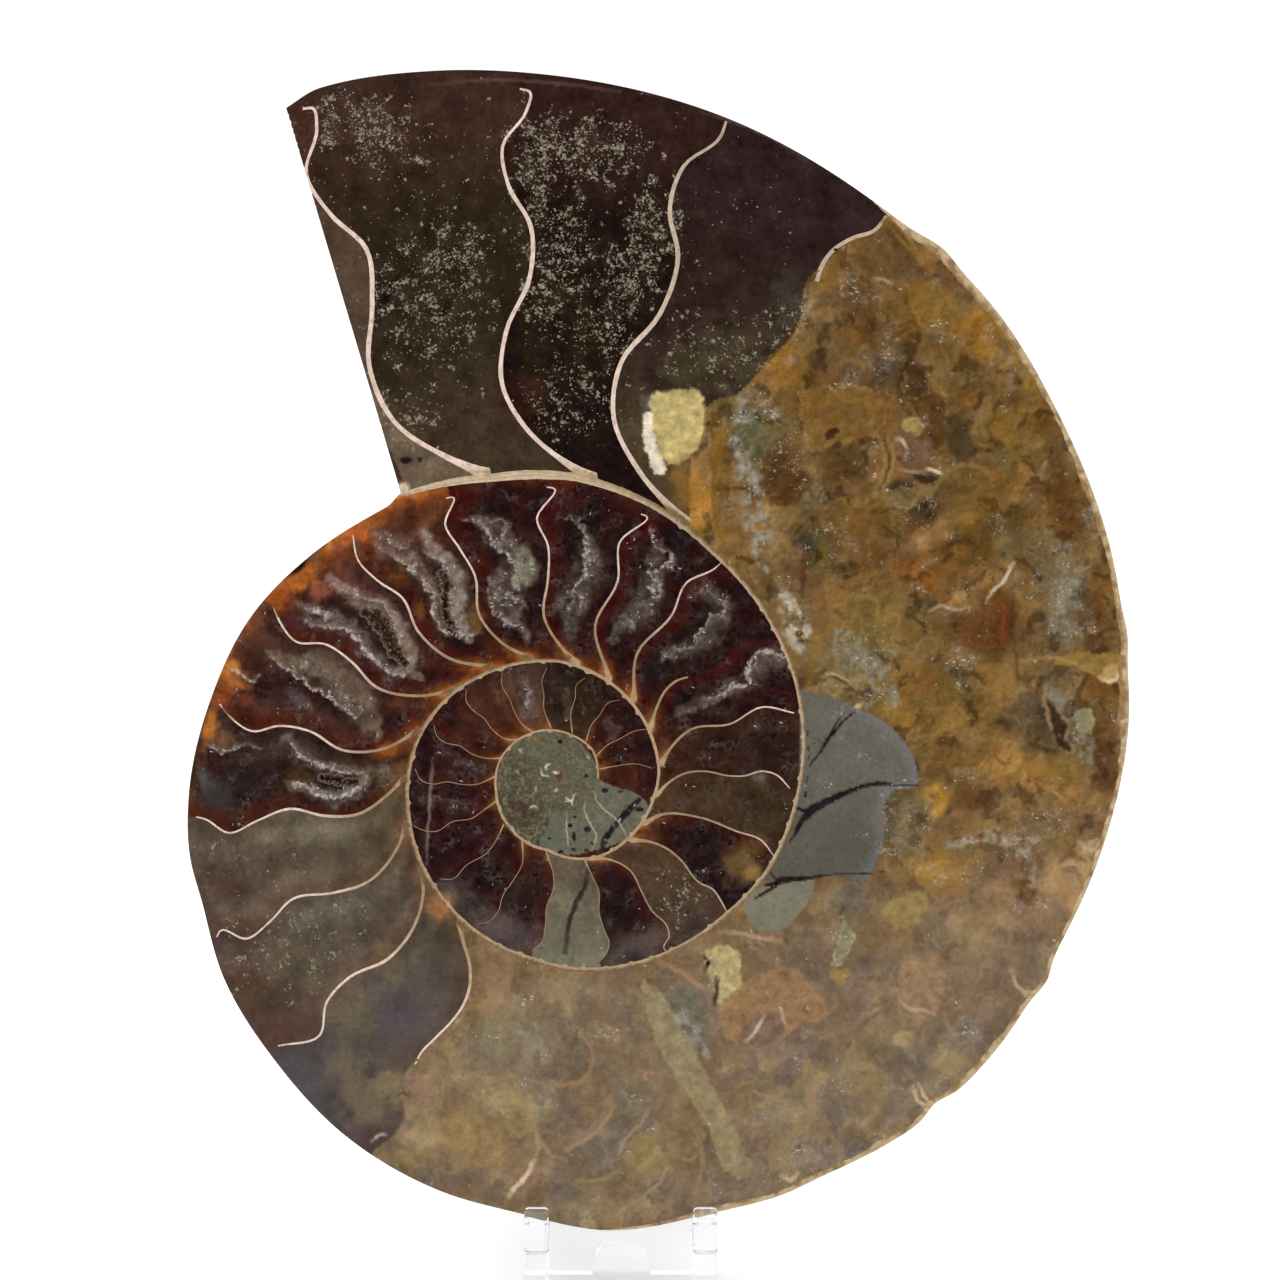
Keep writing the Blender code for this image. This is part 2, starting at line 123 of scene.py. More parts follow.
# Tones, 0 to 255 as a screen shows them: shell and back, thin threads in the stone, crust.
BACK_TONE = (122, 92, 62)
BACK_DARK = (78, 52, 36)
BACK_PALE = (170, 142, 104)
BACK_WORN = (96, 74, 54)
NACRE = (196, 176, 150)
SEPTUM_TONE = (230, 206, 190)
MOUTH_SEPTUM_TONE = (192, 172, 150)
INNER_SEPTUM_TONE = (158, 134, 104)
NECK_TONE = (186, 154, 110)
WALL_TONE = (178, 152, 120)
WALL_BROWN = (112, 88, 62)
WALL_PALE = (200, 180, 150)
WALL_FLECK = (150, 112, 78)
SHELL_STAIN = (150, 120, 88)
THREAD = (196, 186, 176)
NEEDLE = (212, 202, 192)
GAP_TONE = (34, 24, 22)
STONE_BLACK = 0.011  # light that a polished face throws back anyway
# The crust's tones: painted shade deep in the hollow, lighter higher up, then the tips and the edge of the
# opening.
CRUST_SHADED = (84, 64, 50)
CRUST_MIDDLE = (118, 98, 84)
CRUST_TIP = (156, 142, 128)
CRUST_RIM = (132, 120, 112)
RIM_SHELL_TONE = (196, 174, 136)
RIM_SHELL_BROWN = (140, 108, 72)
SAWN_MOUTH = ((52, 44, 34), (86, 74, 56), (150, 138, 112))  # dark, light, specks
SEDIMENT_PLUG = ((110, 94, 70), (140, 124, 96), (176, 160, 130))
HOLLOW_WALLS = ((58, 36, 28), (104, 84, 72))

# The studio: the light, the pale room in metres and the picture in millimetres of the face.
WORLD_LIGHT = 0.75
LAMPS = (  # name, place and width in metres, power
    ("key", (-0.75, -0.75, 0.95), 0.5, 4.5),
    ("fill", (0.85, -0.6, 0.6), 0.6, 2.5),
    ("top", (0.1, 0.35, 1.2), 0.6, 3.0),
)
LOOK_AT = (0, 0, 0.11)
ROOM_RADIUS = 3.2
ROOM_HEIGHT = 2.2
ROOM_SIDES = 64
PICTURE_MIDDLE = (15.64, 25.5)
PICTURE_WIDTH = 217.6
CAMERA_DISTANCE = 1100.0
SENSOR_WIDTH = 36

# ---- Sizes of the coil, in face coordinates: u across, v up the cut face, from the coil's middle -

NOTCH_ANGLE = -245.0
# Radius of the wall between two turns, by an angle that goes on falling inwards.
WALL = (
    (-245, 55.8), (-260, 53.9), (-275, 53.4), (-290, 51.6), (-305, 49.2), (-320, 47.8),
    (-335, 46.2), (-350, 44.2), (-365, 41.9), (-380, 39.8), (-395, 36.9), (-410, 34.8),
    (-425, 32.8), (-440, 31.0), (-455, 28.9), (-470, 27.6), (-485, 26.4), (-500, 25.4),
    (-515, 24.7), (-530, 24.1), (-545, 23.9), (-560, 23.8), (-575, 23.4), (-590, 23.0),
    (-605, 22.4), (-620, 22.1), (-635, 22.0), (-650, 21.4), (-665, 20.9), (-680, 20.3),
    (-711, 19.1), (-733.6, 17.3), (-772, 14.3), (-810, 10.2), (-856, 9.0), (-897, 8.8), (-937, 9.7),
    (-987, 10.2), (-1038, 10.2), (-1067, 8.7),
)
DISC = (8.9, 10.2)  # half sizes of the sediment disc in the middle
FILLING_NUMBER = 4  # of the chamber that is the last part of the tube
BEYOND_RIM = 1.04  # a place across the tube that is past its outer wall

# Long boundaries between fillings, where they go on beyond the septum's own shell.
LONG_SEPTA = {
    "s4": ((57.5, 97.6), (55.6, 95.2), (51.7, 93.8), (46.6, 89.2), (44, 86.5), (43.2, 83), (42.7, 79.4),
           (40.5, 76), (37.6, 73.3), (34, 69), (31.8, 67.2), (28.4, 66.3), (24.1, 54.4), (24.1, 45.9)),
    "sc": ((17.5, 10.7), (18.5, 14.1), (20.2, 17.2), (22.1, 18.7), (24.7, 19.4), (27.5, 20.4),
           (30.4, 22.6), (32, 24.8), (33.8, 25.8), (37.7, 25.7), (38.8, 26.4)),
    "sp": ((-15.1, -22.3), (-14.5, -25.5), (-13.3, -29.8), (-13.3, -33.3), (-14.5, -36.7),
           (-16.2, -39.1), (-19.2, -42.2), (-21.6, -44.7), (-25.2, -50.2), (-24.5, -55.4),
           (-25.8, -58.1), (-29.4, -61.2)),
}

# Fillings of the chambers along the tube: inner, middle and outer tone, glow of the walls, of the rim.
CHAMBERS = (
    ((106, 91, 73), (84, 68, 56), (74, 50, 44), 0, 0),
    ((66, 54, 43), (50, 42, 33), (64, 47, 41), 0, 0),
    ((38, 29, 24), (38, 31, 26), (54, 38, 35), 0, 0),
    ((74, 62, 46), (52, 40, 37), (52, 40, 39), 0, 0),
    ((120, 100, 70), (120, 98, 66), (112, 86, 52), 0, 0),
    ((92, 82, 71), (98, 91, 82), (87, 80, 79), 0.3, 0),
    ((100, 89, 76), (104, 94, 82), (92, 76, 68), 0.35, 0),
    ((98, 87, 69), (108, 96, 79), (96, 84, 72), 0.3, 0),
    ((60, 42, 34), (62, 48, 42), (66, 48, 42), 0.8, 0.1),
    ((62, 38, 33), (84, 60, 54), (88, 58, 50), 0.9, 0.3),
    ((60, 34, 29), (88, 60, 54), (104, 64, 50), 1, 0.8),
    ((50, 30, 24), (70, 46, 38), (104, 62, 42), 1, 0.9),
    ((44, 26, 22), (50, 34, 30), (52, 28, 24), 1, 0.1),
    ((44, 26, 22), (50, 34, 28), (50, 28, 24), 1, 0.1),
    ((44, 26, 22), (50, 34, 28), (48, 26, 22), 1, 0),
    ((42, 26, 24), (46, 32, 28), (46, 26, 22), 0.9, 0),
    ((48, 28, 24), (50, 34, 30), (54, 30, 26), 0.9, 0),
    ((60, 40, 32), (54, 38, 32), (54, 38, 32), 0.25, 0),
    ((74, 56, 42), (68, 53, 40), (62, 48, 36), 0.1, 0),
    ((70, 44, 32), (40, 25, 24), (38, 24, 23), 0.7, 0),
    ((84, 66, 50), (80, 64, 48), (76, 62, 54), 0.25, 0),
    ((50, 32, 30), (44, 30, 28), (82, 72, 68), 0.6, 0),
    ((98, 86, 70), (108, 101, 84), (112, 108, 90), 0, 0),
    ((50, 32, 30), (52, 38, 36), (88, 78, 74), 0.5, 0),
    ((44, 26, 26), (46, 32, 31), (74, 64, 60), 0.36, 0),
    ((44, 24, 22), (46, 26, 24), (46, 30, 28), 0.36, 0),
    ((46, 25, 24), (48, 27, 26), (44, 26, 24), 0.36, 0),
    ((48, 28, 25), (56, 34, 32), (48, 27, 26), 0.36, 0),
    ((62, 36, 28), (74, 44, 36), (60, 36, 32), 0.48, 0),
    ((76, 46, 34), (86, 54, 42), (72, 44, 36), 0.48, 0),
    ((82, 58, 46), (92, 68, 56), (76, 56, 46), 0.36, 0),
    ((50, 40, 31), (48, 38, 30), (46, 36, 30), 0.12, 0),
    ((50, 40, 31), (50, 38, 30), (50, 34, 30), 0.12, 0),
    ((58, 34, 28), (50, 32, 30), (46, 30, 28), 0.42, 0),
    ((56, 32, 28), (50, 30, 28), (46, 28, 26), 0.48, 0),
    ((64, 38, 30), (60, 36, 30), (52, 32, 28), 0.36, 0),
    ((90, 80, 64), (96, 86, 70), (96, 86, 70), 0, 0),
)
# Tones on the face: the chambers, the filling, the middle of the coil.
RED = (66, 27, 18)
BLACK = (33, 20, 20)
RED_BROWN = (88, 38, 20)
AMBER = (146, 80, 36)
NECK = (232, 172, 112)
RUST = (136, 72, 40)
ORANGE = (168, 94, 46)
GOLD = (192, 140, 76)
CRYSTAL_GREY = (128, 114, 104)
CRYSTAL_LIGHT = (206, 194, 184)
CRYSTAL_DARK = (38, 26, 24)
FILLING_TONE = (118, 96, 62)
SEAM_TONE = (160, 126, 76)
GLOW_TONE = (146, 104, 48)
PALE_TONE = (136, 124, 98)
DARK_TONE = (58, 42, 27)
CRACK_TONE = (38, 29, 33)
DISC_TONE = (104, 100, 82)
DISC_CRUMB = (70, 62, 48)
FILLING_MIDDLE = (100, 78, 47)
FILLING_CAST = (0.0, -0.04, -0.06)
# The next tone is a painted reflection that pales the foot of the face.
REFLECTION_TONE = (136, 119, 103)
FILLING_RED = (104, 66, 34)
FILLING_OLIVE = (86, 78, 48)
SOFT_GREY = (103, 93, 85)
SOFT_BROWN = (117, 95, 78)
SOFT_YELLOW = (158, 138, 98)
SOFT_PINK = (138, 110, 94)
SOFT_EDGE = (166, 146, 108)
# The next tone is a painted reflection on the matrix.
MATRIX_REFLECTION = (122, 122, 126)
WEDGE_TONE = (104, 102, 86)
WEDGE_GREEN = (92, 102, 84)
GRAIN_TONE = (138, 128, 108)
MILK_TONE = (158, 152, 136)
VEIN_BLACK = (34, 33, 34)
VEIN_WHITE = (196, 200, 200)
WEDGE_SEPTUM = (196, 186, 156)
CURL_TONE = (222, 212, 184)
DUST_TINTS = ((146, 138, 118), (166, 158, 138), (150, 140, 118))

# Single lines laid last: width, colour, strength, points.
DETAILS = (
    (0.2, (190, 170, 160), 0.5, ((-19.6, 5.4), (-20.2, -3.6), (-20.7, -12.6))),
    (0.55, (44, 38, 36), 0.85, ((7.2, -13.0), (6.6, -14.6), (6.2, -16.6), (4.6, -19.6),
     (3.6, -22.4), (3.2, -25.2), (2.9, -27.6))),
    (0.9, (30, 24, 20), 0.8, ((-28.4, 81.6), (-27, 84.7), (-25.5, 87.2))),
    (0.8, (30, 24, 20), 0.7, ((-18, 80.2), (-17.3, 81.8), (-16.7, 83.1))),
)

# The septa in order along the tube: name, width, then points from the outer end to the inner.
SEPTA = (
    ("s1", 0.78, ((-41.7, 115.8), (-40, 115.9), (-39.3, 112.9), (-41.1, 104.7), (-36.9, 97.8),
     (-30.9, 92), (-29.9, 82.3), (-30.4, 72.2), (-26.2, 62.7), (-17.2, 56.6), (-12.8, 54.6))),
    ("s2", 0.73, ((-4.8, 119.2), (-3.1, 118.7), (-3.6, 115.6), (-7.7, 109.5), (-6.8, 103),
     (-2.9, 95.7), (-3.1, 87.2), (-7.1, 78), (-7.8, 69), (-3.9, 61.7), (3.1, 55.6), (8.3, 52.5))),
    ("s3", 0.78, ((30.3, 113.7), (29.4, 111.2), (23.1, 106.1), (20.7, 98.9), (22.1, 90.6),
     (19, 80.9), (12.4, 72.6), (11.2, 63.1), (15.5, 54.2), (22.3, 46.4))),
    ("s4", 0.88, ((57.5, 97.6), (55.6, 95.2), (51.7, 93.8), (48.3, 91.6), (46.6, 89.2),
     (45.7, 86.5))),
    ("sp", 0.54, ((-15.1, -22.3), (-14.5, -25.5), (-13.3, -29.8), (-13.3, -33.3), (-14.5, -36.7),
     (-16.2, -39.1), (-19.2, -42.2), (-21.6, -44.7), (-22.6, -46.6))),
    ("so", 0.5, ((-21.6, -13.6), (-21.2, -16.5), (-23.1, -23.8), (-27.2, -28.7), (-33.7, -31.8),
     (-37.6, -36), (-38.8, -41.7), (-45.9, -43.5))),
    ("sn", 0.45, ((-56.3, -25), (-55.8, -24), (-51.3, -25.3), (-47.3, -22.4), (-43.4, -18.5),
     (-36.6, -17.5), (-30.6, -15.6), (-25.7, -10), (-24.1, -5.8))),
    ("sm", 0.45, ((-59.8, -4.6), (-58.7, -4.8), (-54.2, -7.3), (-49.6, -5.3), (-43.9, -3.2),
     (-37.9, -4.4), (-32.3, -4.1), (-27.4, -0.9), (-24.8, 1.7))),
    ("sl", 0.45, ((-55.8, 14.6), (-54.2, 12.6), (-50.3, 10), (-45.7, 10.9), (-40.5, 10), (-35, 6.8),
     (-28.7, 6.8), (-21.8, 10.2))),
    ("sk", 0.45, ((-46.8, 31.3), (-45.9, 29.2), (-42.8, 25.2), (-37.9, 24.8), (-33.5, 21.9),
     (-29.2, 17.5), (-21.8, 16), (-16.3, 17), (-14.5, 17.5))),
    ("sj", 0.45, ((-33.2, 43.4), (-32.3, 39.1), (-29.1, 35.7), (-24.7, 32.6), (-22.1, 27),
     (-16.8, 22.4), (-9.9, 20.9))),
    ("si", 0.45, ((-17.3, 49.6), (-16.2, 49.8), (-17.5, 45.2), (-15, 41), (-12.4, 36.4),
     (-11.7, 29.8), (-7.8, 25), (-2.9, 22.3))),
    ("sh", 0.45, ((-0.2, 51.5), (1, 51.3), (-1.9, 46.2), (0, 41.5), (0, 36), (-0.7, 29.6),
     (2.7, 23.8), (4.9, 21.6))),
    ("sa", 0.45, ((15.8, 46.9), (16.7, 46.6), (12.2, 42.2), (11.9, 35.7), (8, 27.9), (10.2, 19.6))),
    ("sb", 0.45, ((29.6, 38.8), (28.4, 37.7), (23.5, 35.2), (21.1, 29.8), (15.1, 23.1),
     (14.6, 15.6))),
    ("sc", 0.54, ((17.5, 10.7), (18.5, 14.1), (20.2, 17.2), (22.1, 18.7), (23.8, 19.2))),
    ("sd", 0.41, ((19.2, 4.2), (20.1, 6), (24.5, 10.4), (30.9, 11.2), (36.4, 14.1), (41.8, 13.1))),
    ("se", 0.36, ((18.2, -1.2), (20.7, 1.4), (23.5, 2.9), (26.5, 3.2), (30.9, 2.4), (33.3, 2.4),
     (36.4, 3.2), (38.8, 2.6), (41.1, 0.3))),
    ("sf", 0.41, ((16.2, -5.8), (19.2, -4.2), (25.5, -4.6), (32.3, -7.1), (36.2, -8.5),
     (38.4, -11.2))),
    ("sg", 0.41, ((14.1, -8.5), (17.3, -8.8), (20.1, -9.9), (22.4, -11.7), (25.8, -15.8),
     (27.9, -16.8), (29.6, -19.2), (30.4, -20.7))),
    ("sg2", 0.32, ((6.8, -11.7), (9.9, -11.7), (14.1, -13.8), (15.8, -17), (17.7, -20.6),
     (20.2, -23.1), (20.6, -24.8), (19.7, -26.9), (20.2, -27.5))),
    ("i13", 0.18, ((7.7, -15), (8.7, -17.3), (8.7, -20.7), (9.7, -24.1), (10.4, -25.8),
     (9.7, -28.1), (8.7, -29.2))),
    ("i12", 0.18, ((0, -11.4), (0.9, -14.3), (0.9, -16.8), (-0.2, -19.7), (-0.5, -23.3),
     (-1, -25.7), (-2.6, -27.2))),
    ("i11", 0.18, ((-4.4, -8.5), (-4.4, -12.6), (-6, -15.5), (-7.7, -18), (-8.5, -20.7),
     (-10, -22.3), (-11.9, -22.8))),
    ("i10", 0.18, ((-18.4, -15.1), (-16.2, -15.1), (-13.9, -12.8), (-10.4, -10.7), (-8.8, -8.5),
     (-7.5, -5.8))),
    ("i9", 0.18, ((-22.8, -6.1), (-20.7, -7), (-18.9, -7), (-16.3, -5.4), (-12.9, -4.8),
     (-10.9, -3.4), (-8.8, -1.9))),
    ("i8", 0.18, ((-22.6, 3.6), (-21.6, 1.7), (-19.4, 1), (-17.2, 1.4), (-15, 1), (-12.4, 0.9),
     (-8.8, 2.4))),
    ("i7", 0.18, ((-19.4, 10.9), (-18.9, 9.2), (-17.3, 8), (-15, 7.5), (-12.9, 6.1), (-10.5, 5.4),
     (-7.8, 5.4))),
    ("i6", 0.18, ((-13.9, 17), (-13.9, 15.1), (-12.8, 13.6), (-10.9, 12.2), (-9.4, 10.2),
     (-7.3, 8.7), (-4.9, 8.5))),
    ("i1", 0.16, ((-7.8, 20.2), (-7.8, 17.7), (-6.6, 15.6), (-5.6, 13.1), (-4.4, 11.2),
     (-2.6, 9.9))),
    ("i2", 0.16, ((-0.2, 20.7), (-1, 18.7), (-0.7, 16.2), (-0.7, 13.8), (0.5, 10.7))),
    ("i3", 0.16, ((6.3, 19), (4.9, 18), (4.6, 15.6), (3.9, 13.3), (4.1, 9.9))),
    ("i4", 0.16, ((12.1, 15.3), (10.2, 14.8), (8.8, 12.8), (7.3, 10.9), (6.6, 8.7))),
    ("i5", 0.16, ((17.3, 10.4), (14.6, 10), (12.2, 8.7), (9.9, 7.5), (8.7, 6.3))),
    ("i5b", 0.16, ((17.7, 3.7), (15.3, 4.4), (11.6, 4.1), (9, 3.6))),
)
# Soft zones of colour in the filling: middle, half sizes, turn in degrees, colour, strength.
CLOUDS = (
    (56.4, 88.4, 11.9, 9.4, 0, (104, 80, 50), 0.8),
    (66.3, 92.7, 5.8, 3.4, -40, (118, 92, 58), 0.7),
    (74.3, 78.2, 7.8, 4.4, -50, (134, 100, 44), 0.85),
    (60.7, 78.2, 10.2, 6.8, 0, (98, 77, 46), 0.7),
    (41.1, 71.1, 7.5, 3.1, 40, (124, 94, 46), 0.8),
    (48.8, 66, 10.2, 5.4, 10, (118, 84, 44), 0.85),
    (55.1, 71.1, 7.1, 4.1, 0, (82, 72, 54), 0.7),
    (61.9, 68.9, 3.1, 4.4, 0, (76, 54, 34), 0.8),
    (67.5, 62.9, 6.8, 10.2, 0, (106, 84, 46), 0.6),
    (34, 61.5, 7.8, 5.8, 0, (98, 94, 68), 0.85),
    (38.1, 61.2, 2.4, 2, 0, (112, 106, 64), 0.6),
    (24.7, 48.8, 3.4, 6.8, -28, (148, 108, 50), 0.8),
    (28.9, 57.8, 2, 10.2, -5, (124, 98, 48), 0.7),
    (40.3, 52.4, 4.4, 4.1, 0, (84, 60, 32), 0.7),
    (51.3, 54.4, 6.8, 5.1, 0, (98, 74, 42), 0.6),
    (61.2, 57, 4.1, 3.1, 0, (112, 90, 72), 0.8),
    (46.2, 41.7, 5.4, 7.8, 0, (74, 66, 50), 0.85),
    (46.6, 39.8, 2, 2.7, 0, (98, 88, 48), 0.6),
    (64.6, 47.9, 5.8, 2.7, -25, (58, 54, 46), 0.8),
    (55.1, 45.9, 7.1, 5.1, 0, (112, 86, 44), 0.6),
    (59.8, 39.1, 10.2, 6.1, 0, (112, 80, 44), 0.7),
    (75.1, 45.9, 8.5, 10.2, 0, (118, 90, 44), 0.7),
    (80.2, 62.1, 6.8, 7.8, 0, (116, 92, 46), 0.75),
    (87.4, 49.3, 3.1, 11.9, -12, (90, 66, 38), 0.75),
    (82.8, 40, 7.8, 5.1, 20, (108, 92, 62), 0.8),
    (88.1, 32.3, 4.1, 7.8, 0, (112, 104, 84), 0.75),
    (93.5, 25.5, 3.1, 9.5, 0, (94, 70, 42), 0.75),
    (75.1, 27.5, 6.1, 6.1, 20, (88, 58, 34), 0.8),
    (64.9, 36.4, 4.4, 4.1, 0, (126, 86, 42), 0.7),
    (67.3, 32, 2.2, 2.2, 0, (150, 102, 52), 0.6),
    (62.7, 42, 2.9, 1.9, -20, (146, 116, 84), 0.85),
    (56.4, 29.2, 8.8, 6.1, 0, (122, 98, 56), 0.7),
    (51.7, 21.8, 7.8, 5.8, 10, (118, 108, 78), 0.85),
    (60.7, 14.5, 10.2, 6.8, 0, (114, 92, 48), 0.8),
    (70, 15.3, 8.5, 10.2, 0, (118, 94, 52), 0.8),
    (69.7, 4.4, 9.2, 4.8, 0, (110, 86, 50), 0.7),
    (85, 11.6, 5.1, 9.5, 0, (98, 86, 64), 0.8),
    (94.9, 5.1, 3.1, 12.9, 0, (100, 76, 48), 0.8),
    (80.6, 3.7, 7.1, 4.1, 0, (138, 108, 60), 0.85),
    (66.1, -1.7, 2.6, 3.1, 0, (176, 134, 62), 0.95),
    (72.8, -1.7, 6.1, 2.6, -12, (94, 72, 50), 0.75),
    (83.6, -2, 10.2, 2.7, -10, (142, 114, 70), 0.7),
    (60.7, -5.4, 4.1, 7.8, 0, (98, 92, 72), 0.85),
    (70, -8.5, 7.8, 3.1, 0, (122, 98, 62), 0.6),
    (67.3, -13.9, 8.5, 4.1, 0, (146, 112, 54), 0.9),
    (77.2, -13.6, 5.8, 3.4, 0, (104, 80, 56), 0.85),
    (78.9, -19.6, 10.2, 6.1, 0, (138, 112, 80), 0.7),
    (87.7, -16.7, 5.8, 7.8, 25, (170, 138, 94), 0.95),
    (51.3, -18.7, 5.1, 3.4, 0, (116, 108, 90), 0.8),
    (60.4, -20.1, 4.8, 3.1, 0, (154, 134, 84), 0.8),
    (70, -23.8, 10.2, 4.8, 0, (140, 118, 84), 0.8),
    (44.5, -24.7, 6.8, 4.8, 0, (120, 104, 84), 0.7),
    (77.2, -29.8, 8.5, 5.8, 0, (126, 108, 86), 0.7),
    (63.6, -33.2, 4.8, 6.5, 0, (148, 120, 88), 0.8),
    (53.4, -35.7, 6.8, 6.8, 0, (138, 113, 84), 0.7),
    (39.4, -36.6, 8.8, 5.4, 0, (150, 116, 82), 0.9),
    (36.4, -44.5, 8.8, 3.7, 0, (126, 106, 88), 0.7),
    (24.1, -37.7, 7.1, 6.8, 0, (120, 112, 92), 0.9),
    (15.6, -49.3, 6.8, 6.8, 0, (140, 124, 92), 0.7),
    (53.4, -50.2, 11.9, 6.5, 0, (136, 120, 90), 0.7),
    (65.8, -46.2, 8.5, 6.1, 0, (126, 110, 88), 0.7),
    (42.8, -54.7, 10.2, 4.8, 0, (140, 124, 92), 0.6),
    (46.6, -62.6, 10.9, 3.7, -10, (108, 96, 82), 0.85),
    (36.4, -64.9, 6.1, 6.1, 0, (118, 104, 84), 0.7),
    (25.8, -68.3, 8.5, 4.8, 0, (128, 108, 86), 0.7),
    (12.2, -61.2, 7.5, 6.8, 0, (118, 104, 84), 0.8),
    (5.4, -70, 10.2, 3.1, 0, (140, 117, 84), 0.7),
    (0.7, -54.7, 4.8, 4.8, 0, (114, 102, 84), 0.85),
    (-4.8, -49.6, 6.8, 6.1, 0, (132, 119, 93), 0.7),
    (-11.9, -51.7, 7.8, 6.8, 0, (150, 130, 86), 0.8),
    (-20.4, -58.5, 7.8, 4.4, 30, (166, 144, 98), 0.9),
    (-7.3, -62.2, 10.2, 4.8, 20, (146, 119, 84), 0.8),
    (-8.2, -34, 4.4, 8.5, 0, (148, 120, 84), 0.85),
    (2, -36, 8.5, 4.8, 0, (134, 119, 91), 0.7),
    (-3.1, -43.2, 8.5, 4.4, 0, (136, 124, 98), 0.7),
    (10.5, -34.3, 6.8, 3.7, 0, (133, 117, 91), 0.6),
    (70.9, -42.5, 5.1, 6.8, -40, (114, 100, 84), 0.8),
    (82.8, -28.1, 2.7, 4.4, -30, (112, 98, 80), 0.7),
    (60.7, -54.4, 5.1, 3.4, 0, (110, 98, 82), 0.7),
)
